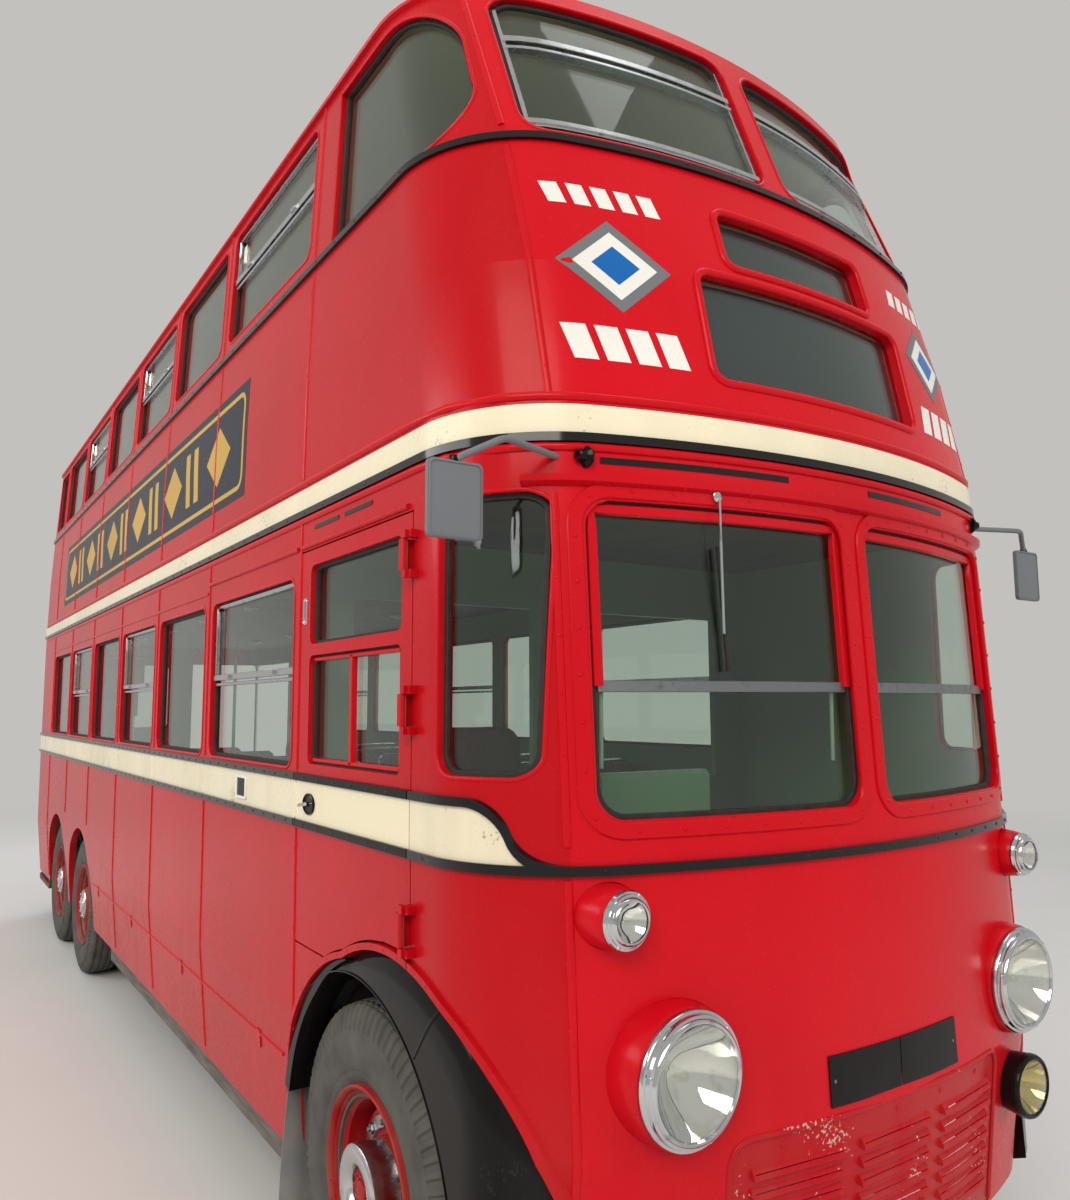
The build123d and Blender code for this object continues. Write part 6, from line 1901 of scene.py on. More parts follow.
@dataclass(frozen=True)
class SideTrim(Dresser):
    """Beads, studs, gutters, slots and panels along both sides."""

    joints: tuple[float, ...] = (1.600, 2.820, 3.880, 4.940, 6.000, 7.060, 8.120)
    waist: tuple[float, float] = (1.580, 1.715)
    mould: float = 0.024
    mould_proud: float = 0.013
    advert_s: tuple[float, float] = (2.34, 7.70)
    advert_z: tuple[float, float] = (2.890, 3.420)
    skirt_hinge_z: float = 0.742

    def build(self) -> None:
        """Make the pieces."""
        for side in Side:
            self.joint_beads(side)
            self.moulding_studs(side)
            self.gutters(side)
            self.advert(side)
            self.fittings(side)
        self.front_studs()

    def joint_beads(self, side: Side) -> None:
        """Upright beads at the pillars: red on the panels, cream on the band, and pins."""
        surface = FLANK[side]
        red, cream, pins = Shape(), Shape(), Shape()
        last = 8.30 if side is Side.OFFSIDE else 8.00
        for s in self.joints:
            if s > last:
                continue
            over_wheels = 5.74 < s < 8.10
            foot = 1.120 if over_wheels else 0.860 if s < 1.7 else 0.460
            spans = [(foot, 1.545), (1.752, 2.640), (2.800, 3.600), (3.660, 4.290)]
            for low, high in spans:
                line = upright_line(s, low, high, 10)
                red.on_surface(surface, line, JOINT_BEAD, False, step=0.12)
                stud_row(pins, surface, line, 0.150, 0.004, 0.0025, lift=0.0045)
            line = [[s, self.waist[0] + 0.004], [s, self.waist[1] - 0.004]]
            cream.on_surface(surface, line, half_round(0.020, 0.010), False, step=0.12)
        word = side.word
        self.put(f"{word}_joint_beads", red, "red")
        self.put(f"{word}_band_beads", cream, "cream")
        self.put(f"{word}_joint_pins", pins, "red")

    def head_row(
        self, shape: Shape, surface: SurfaceMap, ends: Sequence[float], z: float, pitch: float
    ) -> None:
        """Level row of round heads on a black moulding."""
        line = [(end, z) for end in ends]
        stud_row(shape, surface, line, pitch, 0.006, 0.0035, lift=self.mould_proud - 0.0005)

    def moulding_studs(self, side: Side) -> None:
        """Round heads along the black mouldings."""
        surface = FLANK[side]
        studs = Shape()
        end = 8.62 if side is Side.OFFSIDE else 8.08
        runs = [(0.520, 0.680), (1.612, end)] if side is Side.OFFSIDE else [(0.520, end)]
        for low, high in runs:
            for z in (self.waist[0] - self.mould / 2, self.waist[1] + self.mould / 2):
                self.head_row(studs, surface, (low, high), z, 0.125)
        for z in (3.633, 2.670):
            self.head_row(studs, surface, (0.75, 8.6), z, 0.180)
        self.put(f"{side.word}_moulding_studs", studs, "black_bead")

    def front_studs(self) -> None:
        """Round heads along the black moulding across the front."""
        studs = Shape()
        self.head_row(studs, BODY.front, (-0.93, 0.93), self.waist[0] - self.mould / 2, 0.120)
        self.head_row(studs, BODY.front, (-0.90, 0.90), 3.633, 0.200)
        self.put("front_moulding_studs", studs, "black_bead")

    def gutters(self, side: Side) -> None:
        """Gutter under the roof, and drip mouldings over the lower windows and the cab door."""
        surface = FLANK[side]
        gutter, drips = Shape(), Shape()
        line = level_line(0.80, 8.75, 4.300, 50)
        channel = [
            (0.007, -0.004), (0.007, 0.014), (-0.002, 0.018), (-0.009, 0.012), (-0.009, -0.004)
        ]
        gutter.on_surface(surface, line, channel, False)
        cab_door = [(0.72, 1.58)] if side is Side.OFFSIDE else []
        for low, high in cab_door + [(1.62, 2.80)]:
            line = level_line(low, high, 2.545, 16)
            drips.on_surface(surface, line, half_round(0.018, 0.013), False)
        line = level_line(2.84, 8.06, 2.505, 30)
        drips.on_surface(surface, line, half_round(0.014, 0.008), False)
        self.put(f"{side.word}_roof_gutter", gutter, "red")
        self.put(f"{side.word}_drip_mouldings", drips, "red")

    def advert(self, side: Side) -> None:
        """Painted panel between the decks: dark blue with a gold border and plain gold shapes."""
        surface = FLANK[side]
        ground, border, shapes = Shape(), Shape(), Shape()
        ground.patch(surface, self.advert_s, self.advert_z, 0.0003, 0.0010)
        loop = inset_loop(self.advert_s, self.advert_z, 0.05, 0.06)
        border.on_surface(surface, loop, bar(0.022, 0.0008, 0.0018, 0.0004), True, step=0.08)
        middle = (self.advert_z[0] + self.advert_z[1]) / 2
        for s in np.linspace(2.78, 7.26, 6):
            corners = [
                (s - 0.20, middle), (s, middle - 0.145), (s + 0.20, middle), (s, middle + 0.145)
            ]
            shapes.quadrangle(surface, corners, 0.0004, 0.0018)
        for s in np.linspace(3.228, 6.812, 5):
            for shift in (-0.10, 0.06):
                corners = [(s + shift, middle - 0.145), (s + shift + 0.08, middle - 0.145)]
                corners += [(s + shift + 0.12, middle + 0.145), (s + shift + 0.04, middle + 0.145)]
                shapes.quadrangle(surface, corners, 0.0004, 0.0018)
        word = side.word
        self.put(f"{word}_side_panel_ground", ground, "navy")
        self.put(f"{word}_side_panel_border", border, "gold")
        self.put(f"{word}_side_panel_shapes", shapes, "gold")

    def fittings(self, side: Side) -> None:
        """Skirt hinge line, blank plate holder and vents of one side."""
        surface = FLANK[side]
        hinge, plate, frame_edge, vents = (Shape() for _ in range(4))
        line = level_line(1.72, 5.72, self.skirt_hinge_z, 40)
        hinge.on_surface(surface, line, half_round(0.012, 0.006), False)
        stud_row(hinge, surface, line, 0.24, 0.007, 0.004, lift=0.001)
        for s in (2.0, 3.2, 4.4, 5.5):
            hinge.patch(
                surface,
                (s - 0.02, s + 0.02),
                (self.skirt_hinge_z - 0.05, self.skirt_hinge_z + 0.012),
                0.0005,
                0.005,
            )
        s, z = 2.225, 1.648
        plate.patch(surface, (s - 0.052, s + 0.052), (z - 0.034, z + 0.034), 0.005, 0.008)
        frame_edge.on_surface(
            surface,
            rounded_loop((s - 0.060, s + 0.060), (z - 0.042, z + 0.042), 0.008),
            bar(0.012, 0.003, 0.012),
            True,
        )
        for low, high in ((0.98, 1.20), (1.25, 1.47)):
            vents.patch(surface, (low, high), (2.598, 2.612), 0.0005, 0.0025)
        word = side.word
        self.put(f"{word}_skirt_hinges", hinge, "red")
        self.put(f"{word}_plate_holder_plate", plate, "black_plate")
        self.put(f"{word}_plate_holder_frame", frame_edge, "white")
        self.put(f"{word}_vent_slots", vents, "black_bead")


@dataclass(frozen=True)
class CabDoor(Dresser):
    """What is fixed to the cab door: pane seals and frames, handles, pins and studs."""

    panes: tuple[tuple[float, float], ...] = ((2.190, 2.470), (1.775, 2.150))
    pane_s: tuple[float, float] = (0.765, 1.500)
    hinges: tuple[float, ...] = (1.365, 1.960, 2.400)
    handle: tuple[float, float] = (1.460, 1.640)
    slot: tuple[float, float] = (1.545, 2.310)

    def build(self) -> None:
        """Make the pieces, which all ride on the door."""
        seals, bright, pins, recess, lever, heads = (Shape() for _ in range(6))
        for z in self.panes:
            loop = inset_loop(self.pane_s, z, 0.005, 0.028)
            seals.on_surface(offside, loop, bar(0.014, -0.031, -0.018), True, step=0.05)
        z = self.panes[1]
        middle = (self.pane_s[0] + self.pane_s[1]) / 2 + 0.02
        for s in (self.pane_s[0] + 0.022, middle):
            line = [[s, z[0] + 0.012], [s, z[1] - 0.012]]
            bright.on_surface(offside, line, bar(0.018, -0.029, -0.010), False, step=0.06)
        for level in (z[0] + 0.014, z[1] - 0.014):
            line = [[self.pane_s[0] + 0.02, level], [self.pane_s[1] - 0.02, level]]
            bright.on_surface(offside, line, bar(0.012, -0.029, -0.010), False, step=0.06)
        self.put("cab_door_seals", seals, "rubber", "cab_door")
        self.put("cab_door_sliding_frames", bright, "red", "cab_door")
        # Recessed oval plate with a T handle, and a slot handle higher up
        s, z_handle = self.handle
        angle = np.linspace(0, 2 * math.pi, 32, endpoint=False)
        rings = []
        for reach, lift in (
            (1.0, 0.004), (1.0, 0.010), (0.90, 0.012), (0.80, 0.006), (0.05, 0.0045)
        ):
            u, v = s + 0.052 * reach * np.cos(angle), z_handle + 0.036 * reach * np.sin(angle)
            rings.append(offside(u, v) + surface_normals(offside, u, v) * lift)
        recess.grid(np.stack(rings), wrap_v=True)
        self.put("cab_door_handle_plate", recess, "black", "cab_door")
        foot = offside(s, z_handle) + np.array([-0.004, 0, 0])
        lever.turned([[0, 0.001], [0, 0.008], [0.022, 0.006], [0.024, 0.001]], foot, (-1, 0, 0), 16)
        ends = np.array(
            [foot + [-0.027, -0.030, 0.004], foot + [-0.029, 0, 0], foot + [-0.027, 0.030, -0.004]]
        )
        lever.rod(ends, 0.01, 0.006, 10)
        su, sv = self.slot
        lever.on_surface(
            offside,
            rounded_loop((su - 0.012, su + 0.012), (sv - 0.045, sv + 0.045), 0.010),
            half_round(0.008, 0.006),
            True,
            step=0.02,
        )
        self.put("cab_door_handles", lever, "chrome", "cab_door")
        for level in self.hinges:
            for ds in (0.030, 0.052):
                line = [[0.700 + ds, level - 0.03], [0.700 + ds, level + 0.03]]
                stud_row(pins, offside, line, 0.03, 0.004, 0.003, lift=0.0)
        for s_edge in (0.712, 1.582):
            line = [[s_edge, 1.34], [s_edge, 1.54]]
            stud_row(pins, offside, line, 0.10, 0.004, 0.0025)
        for z_mould in (1.568, 1.727):
            stud_row(
                heads, offside, [[0.76, z_mould], [1.57, z_mould]], 0.125, 0.006, 0.0035,
                lift=0.0125,
            )
        self.put("cab_door_studs", pins, "red", "cab_door")
        self.put("cab_door_moulding_studs", heads, "black_bead", "cab_door")


# ---- Wings, wheels and running gear


@dataclass(frozen=True)
class WheelPlace:
    """Where one tyre stands: its side, distance out, distance back, radius and section width."""

    name: str
    side: Side
    out: float
    s: float
    radius: float
    width: float
    body: str
    node: str = ""
    fine: bool = True


def wheel_places() -> list[WheelPlace]:
    """Every tyre of the bus.

    Returns:
        Ten places; the twin wheels of one axle end share a body.
    """
    places = []
    for side in Side:
        word = side.word
        places.append(
            WheelPlace(
                f"{word}_front", side, 0.975, 1.080, 0.530, 0.265, f"{word}_front_wheel",
                f"{word}_front_tyre",
            )
        )
        for number, s in ((1, 6.320), (2, 7.520)):
            body = f"{word}_rear_wheels_{number}"
            places.append(
                WheelPlace(
                    f"{word}_rear_{number}_outer", side, 0.984, s, 0.500, 0.236, body,
                    f"{word}_rear_tyres_{number}",
                )
            )
            places.append(
                WheelPlace(
                    f"{word}_rear_{number}_inner", side, 0.696, s, 0.500, 0.236, body, fine=False
                )
            )
    return places


class Tyres(Dresser):
    """Road tyres: four zigzag grooves in the tread, ribbed shoulders and rings on the walls."""

    RIM = 0.272
    GROOVE = 0.009
    BEAD = 0.022
    RIBS = 80

    def section(self, place: WheelPlace, count: int) -> tuple[Array, Array]:
        """Outer section of a tyre as distance across and radius.

        Args:
            place: the tyre.
            count: points on the tread.

        Returns:
            Two arrays from the inner lip over the tread to the outer lip.
        """
        half = place.width / 2
        lip = half * 0.72
        middle = ((self.RIM + place.radius) / 2, half - 0.001)
        top = (place.radius - 0.034, half * 0.86)
        wall = arc((self.RIM + 0.001, lip), middle, top, 24 if place.fine else 10)
        shoulder = np.array(
            [[place.radius - 0.020, half * 0.82], [place.radius - 0.009, half * 0.745]]
        )
        across = np.linspace(half * 0.72, -half * 0.72, count)
        crown = place.radius - 0.0082 * (across / (half * 0.72)) ** 2 - 0.0004
        tread = np.stack([crown, across], axis=-1)
        other = np.concatenate([wall, shoulder]) * [1, -1]
        rows = np.concatenate([wall, shoulder, tread, other[::-1]])
        return rows[:, 1], rows[:, 0]

    def make_tyre(self, place: WheelPlace) -> None:
        """Make one tyre.

        The radius falls by a groove's depth where the distance across, shifted by a triangle
        wave round the tyre, comes near a groove. On the shoulder it rises and falls with the
        ribs, and three small rings run round each wall.
        """
        front = place.width > 0.25
        around = self.RIBS * (6 if front else 3) if place.fine else 120
        across, radius = self.section(place, (29 if front else 21) if place.fine else 13)
        angle = np.linspace(0, 2 * math.pi, around, endpoint=False)
        half = place.width / 2
        h = np.repeat(across[:, None], around, axis=1)
        r = np.repeat(radius[:, None], around, axis=1)
        wave = np.abs(((angle * self.RIBS / (2 * math.pi)) % 1) - 0.5) * 4 - 1
        on_tread = radius > place.radius - 0.0090
        for centre in (-0.52, -0.18, 0.18, 0.52):
            near = np.abs(h - centre * half - 0.006 * wave[None, :]) < 0.0052
            r = np.where(on_tread[:, None] & near, r - self.GROOVE, r)
        ribs = (np.sin(angle * self.RIBS + 0.3) > 0.1)[None, :]
        shoulder = ((np.abs(across) > half * 0.66) & (radius > place.radius - 0.074))[:, None]
        r = np.where(shoulder & ribs, r - 0.006, r)
        h = np.where(shoulder & ribs, h * 0.955, h)
        for ring, width in ((0.088, 0.006), (0.106, 0.005), (0.200, 0.006)):
            raised = np.abs(radius - (place.radius - ring)) < width
            raised &= np.abs(across) > half * 0.8
            h = np.where(raised[:, None], h - np.sign(h) * 0.0030, h)
        x = place.side.value * place.out + place.side.value * h
        y = along(place.s) + r * np.sin(angle)[None, :]
        points = np.stack([x, y, place.radius + r * np.cos(angle)[None, :]], axis=-1)
        inner = points[[0, -1]].copy()
        ray = inner - np.array([0, along(place.s), place.radius])
        ray[..., 0] = 0
        inner -= ray / np.linalg.norm(ray, axis=-1, keepdims=True) * self.BEAD
        closed = np.concatenate([inner[:1], points, inner[1:]])
        shape = Shape()
        shape.grid(closed, wrap_u=True, wrap_v=True)
        replaces = [place.node] if place.node else []
        self.put(
            f"{place.name}_road_tyre", shape, "tyre", place.body, replaces=replaces, smooth=28.0
        )

    def build(self) -> None:
        """Make every tyre."""
        for place in wheel_places():
            self.make_tyre(place)


class WheelTrim(Dresser):
    """Nuts, polished ring, hub cap and rim flange of each outer wheel."""

    @staticmethod
    def hexagon(radius: float, height: float) -> tuple[Array, list[list[int]]]:
        """Wheel nut: a six-sided prism with a chamfered top and the stud's end."""
        rows = (
            (radius, 0.0), (radius, height * 0.8), (radius * 0.82, height), (radius * 0.45, height),
            (radius * 0.45, height * 1.35), (0.0008, height * 1.4),
        )
        angle = np.arange(6) * math.pi / 3
        points = np.concatenate(
            [
                np.stack([r * np.cos(angle), r * np.sin(angle), np.full(6, z)], axis=-1)
                for r, z in rows
            ]
        )
        faces = []
        for ring in range(len(rows) - 1):
            for k in range(6):
                n = (k + 1) % 6
                faces.append([ring * 6 + k, ring * 6 + n, ring * 6 + 6 + n, ring * 6 + 6 + k])
        return points, faces

    def build(self) -> None:
        """Make the trim of every outer wheel."""
        for place in wheel_places():
            if not place.fine:
                continue
            front = place.width > 0.25
            way = place.side.value
            centre = np.array(spot(way * place.out, place.s, place.radius))
            dish = 0.012 if front else -0.060
            hub = 0.118 if front else 0.095
            nuts, ring, cap, plate, flange = (Shape() for _ in range(5))
            angle = np.arange(10) * math.pi / 5 + 0.2
            face = centre + np.array([way * (dish + 0.012), 0, 0])
            places = face + 0.170 * np.stack([0 * angle, np.sin(angle), np.cos(angle)], axis=-1)
            nuts.heads(self.hexagon(0.0175, 0.022), places, (way, 0, 0))
            section = np.array([(0.000, 0.150), (0.012, 0.152), (0.012, 0.188), (0.000, 0.190)])
            ring.turned(section, face, (way, 0, 0), 64)
            outer = centre + np.array([way * hub, 0, 0])
            if front:
                # Polished step ring round the hub, and the hub's own plate within it
                rows = [
                    (-0.060, 0.128), (0.010, 0.134), (0.024, 0.132), (0.031, 0.122), (0.033, 0.104),
                    (0.030, 0.086), (0.022, 0.074), (0.006, 0.068), (-0.020, 0.066),
                ]
                cap.turned(rows, outer, (way, 0, 0), 64)
                plate.turned(
                    [
                        (-0.030, 0.070), (0.000, 0.068), (0.004, 0.060), (0.004, 0.034),
                        (0.014, 0.030), (0.016, 0.001),
                    ],
                    outer,
                    (way, 0, 0),
                    32,
                )
                bolt_ring, bolt_lift = 0.050, 0.004
            else:
                rows = [
                    (-0.030, 0.106), (0.002, 0.104), (0.008, 0.098), (0.010, 0.074), (0.011, 0.060),
                    (0.019, 0.056), (0.021, 0.030), (0.021, 0.001),
                ]
                cap.turned(rows, outer, (way, 0, 0), 48)
                bolt_ring, bolt_lift = 0.086, 0.009
            bolts = np.arange(8) * math.pi / 4
            ray = np.stack([0 * bolts, np.sin(bolts), np.cos(bolts)], axis=-1)
            spots = outer + np.array([way * bolt_lift, 0, 0]) + bolt_ring * ray
            (plate if front else cap).heads(self.hexagon(0.0085, 0.008), spots, (way, 0, 0))
            half = place.width * 0.72 / 2
            lip = centre + np.array([way * half, 0, 0])
            edge = 0.026 if front else 0.018
            # Rim flange, lock ring and a second ring, each a small half-round
            rows = [
                (-0.012, 0.252), (-0.004, 0.253), (0.000, 0.258), (-0.002, 0.262), (0.004, 0.263),
                (0.010, 0.268), (0.008, 0.273), (0.014, 0.274), (edge, 0.279),
                (edge + 0.003, 0.284), (edge, 0.290), (0.010, 0.292),
            ]
            flange.turned(rows, lip, (way, 0, 0), 96)
            name = place.name
            self.put(f"{name}_wheel_nuts", nuts, "steel", place.body)
            self.put(f"{name}_nut_rings", ring, "bright", place.body)
            self.put(f"{name}_hub_cap", cap, "bright", place.body)
            self.put(f"{name}_rim_flange", flange, "red_wheel", place.body)
            if plate.count:
                self.put(f"{name}_hub_plate", plate, "red_wheel", place.body)


@dataclass(frozen=True)
class FrontWings(Dresser):
    """Black front wings: a flat face, a rounded shoulder, a liner and a rear return."""

    radius: float = 0.625
    s: float = 1.080
    z: float = 0.530
    half: float = 1.135
    foot: float = 0.400
    nose: float = 0.022
    corner: float = 0.240
    inner_x: float = 0.952
    liner_x: float = 0.530
    liner: float = 0.014
    shoulder: float = 0.125
    drop: float = 0.056
    flap_x: tuple[float, float] = (0.825, 1.128)
    flap_z: tuple[float, float] = (0.155, 0.745)
    flap_s: float = 1.700
    flap_thick: float = 0.005

    def outline(self, inset: float) -> Loop:
        """Side-view edge of the wing from its front foot over the top to its rear foot.

        Args:
            inset: how far the line is moved towards the wheel.

        Returns:
            Points of distance back and height.
        """
        parts = [
            np.array([[0.190, 0.340], [0.204, 0.600]]),
            arc((0.215, 0.800), (0.290, 1.000), (0.450, 1.170), 16),
            arc((0.450, 1.170), (0.790, 1.272), (1.150, 1.196), 20)[1:],
            arc((1.150, 1.196), (1.474, 1.022), (1.668, 0.660), 20)[1:],
            np.array([[1.684, 0.500], [1.700, 0.340]]),
        ]
        line = np.concatenate(parts)
        run = np.gradient(line, axis=0)
        run /= np.linalg.norm(run, axis=1, keepdims=True)
        return line + inset * np.stack([run[:, 1], -run[:, 0]], axis=-1)

    def plan(self, s: Array) -> Array:
        """Half width of the wing's outer face: flat, then round the front corner."""
        centre_x = self.half - self.corner
        centre_s = self.nose + BOW - math.sqrt((BOW - self.corner) ** 2 - centre_x**2)
        reach = np.clip(centre_s - s, 0, self.corner * 0.999)
        return centre_x + np.sqrt(self.corner**2 - reach**2)

    def face(self, side: Side) -> Array:
        """Grid of one wing: rows go round the wheel, columns from the arch to the edge.

        A ray from the wheel's middle meets the edge or the level foot. The shoulder drops
        inboard as a quarter circle over the last stretch before the edge.

        Args:
            side: which side.

        Returns:
            Points (rows, columns, 3) with the inboard rims as first and last column.
        """
        edge = refine(self.outline(0.006), 0.012, False)
        turn = np.arctan2(edge[:, 1] - self.z, self.s - edge[:, 0])
        reach = np.hypot(edge[:, 1] - self.z, self.s - edge[:, 0])
        order = np.argsort(turn)
        angle = np.radians(np.concatenate([np.linspace(-11.5, 20, 14), np.linspace(22, 158.5, 84)]))
        far = np.interp(angle, turn[order], reach[order])
        below = np.where(angle < 0, (self.z - self.foot) / np.maximum(1e-6, -np.sin(angle)), 99.0)
        far = np.maximum(np.minimum(far, below), self.radius + 0.001)
        share = np.linspace(0, 1, 22) ** 0.85
        r = self.radius + share[None, :] * (far[:, None] - self.radius)
        s = self.s - r * np.cos(angle)[:, None]
        z = self.z + r * np.sin(angle)[:, None]
        gap = np.min(np.hypot(s[..., None] - edge[:, 0], z[..., None] - edge[:, 1]), axis=-1)
        near = np.clip(1 - gap / self.shoulder, 0, 1)
        # The shoulder gets shallower from the front over the top to the rear
        share = 1 - 0.78 * np.clip((np.degrees(angle) - 55) / 55, 0, 1)[:, None]
        x = np.maximum(
            self.plan(s) - self.drop * share * (1 - np.sqrt(1 - near**2 * 0.97)),
            self.inner_x + 0.001,
        )
        body = np.stack([side.value * x, along(s), z], axis=-1)
        rims = body[:, [0, -1]].copy()
        rims[..., 0] = side.value * self.inner_x
        return np.concatenate([rims[:, :1], body, rims[:, 1:]], axis=1)

    def build(self) -> None:
        """Make the wings, their liners, seams, edging, studs and rear returns."""
        wings, liners, seams, studs, returns, flaps = (Shape() for _ in range(6))
        for side in Side:
            grid = self.face(side)
            wings.grid(grid, wrap_v=True, caps=True)
            angle = np.radians(np.linspace(15.8, 164.2, 70))
            rows = []
            for x, r in (
                (self.liner_x, 0.0), (0.953, 0.0), (0.953, self.liner), (self.liner_x, self.liner)
            ):
                rows.append(self.ring(side, x, self.radius + 0.0005 + r, angle))
            liners.grid(np.stack(rows, axis=1), wrap_v=True, caps=True)
            sheet = [
                self.ring(side, self.liner_x, r, angle) for r in (0.30, self.radius + self.liner)
            ]
            sheet += [line - [side.value * 0.004, 0, 0] for line in sheet[::-1]]
            liners.grid(np.stack(sheet, axis=1), wrap_v=True, caps=True)
            row = int(np.argmin(np.abs(np.linspace(22, 158.5, 84) - 52))) + 14
            ridge = grid[row, 2:-1]
            out = np.tile(np.array([[float(side.value), 0.0, 0.25]]), (len(ridge), 1))
            out /= np.linalg.norm(out, axis=1, keepdims=True)
            seams.sweep(ridge, out, half_round(0.012, 0.003), False)
            lip = self.ring(
                side, self.half - 0.003, self.radius + 0.001, np.radians(np.linspace(-11, 158, 90))
            )
            inward = lip - np.array([side.value * self.half, along(self.s), self.z])
            inward[:, 0] = 0
            inward /= -np.linalg.norm(inward, axis=1, keepdims=True)
            seams.sweep(lip, inward, half_round(0.012, 0.004), False)
            surface = FLANK[side]
            line = self.outline(-0.010)
            line = line[(line[:, 1] > 0.44) & (line[:, 0] > 0.235)]
            stud_row(studs, surface, line, 0.090, 0.0045, 0.003, lift=0.0115)
            tail = self.outline(0.004)
            tail = tail[(tail[:, 0] > 1.12) & (tail[:, 1] > 0.640)]
            depth = np.clip((tail[:, :1] - 1.12) / 0.30, 0.02, 1) * 0.042
            middle = np.array([[self.s, self.z]])
            back = tail + depth * (middle - tail) / np.linalg.norm(
                middle - tail, axis=1, keepdims=True
            )
            grids = [
                np.stack([np.full(len(tail), side.value * x), along(q[:, 0]), q[:, 1]], axis=-1)
                for x, q in ((1.137, tail), (1.137, back), (1.040, back), (1.040, tail))
            ]
            returns.grid(np.stack(grids, axis=1), wrap_v=True, caps=True)
            # Rubber sheet behind the wheel: it lies on the flap board and its free edge curls back
            grid_x, grid_z = np.linspace(*self.flap_x, 13), np.linspace(*self.flap_z, 22)
            across, height = np.meshgrid(grid_x, grid_z, indexing="ij")
            curl = 0.045 * np.clip((across - 1.05) / 0.08, 0, 1) ** 2
            curl = curl * np.clip((0.62 - height) / 0.46, 0, 1)
            ripple = 0.003 * np.sin(across * 31 + height * 9)
            ahead = np.interp(height, (0.155, 0.34, 0.66, 0.745), (0.010, 0.012, 0.044, 0.052))
            ahead = ahead * np.clip((across - 1.03) / 0.06, 0, 1)
            free = np.clip((across - 1.0) / 0.1, 0, 1)
            back = along(self.flap_s - ahead + curl + ripple * free)
            sheet = np.stack([side.value * across, back, height], axis=-1)
            flaps.sheet(sheet, sheet + np.array([0, self.flap_thick, 0]))
        self.put("mud_flap_sheets", flaps, "flap")
        self.put("front_wing_shells", wings, "black", replaces=["front_wings"], smooth=35)
        self.put("front_wing_liners", liners, "black_frame")
        self.put("front_wing_seams", seams, "black")
        self.put("wing_edge_studs", studs, "red")
        self.put("front_wing_returns", returns, "black")

    def ring(self, side: Side, x: float, r: float, angle: Array) -> Array:
        """Points on a circle round the wheel's middle."""
        return np.stack(
            [
                np.full(len(angle), side.value * x),
                along(self.s) - r * np.cos(angle),
                self.z + r * np.sin(angle),
            ],
            axis=-1,
        )


# ---- Seats and inside


@dataclass(frozen=True)
class SeatSize:
    """One padded seat of the construction model: its middle, front edge and floor height."""

    x: float
    s: float
    floor: float


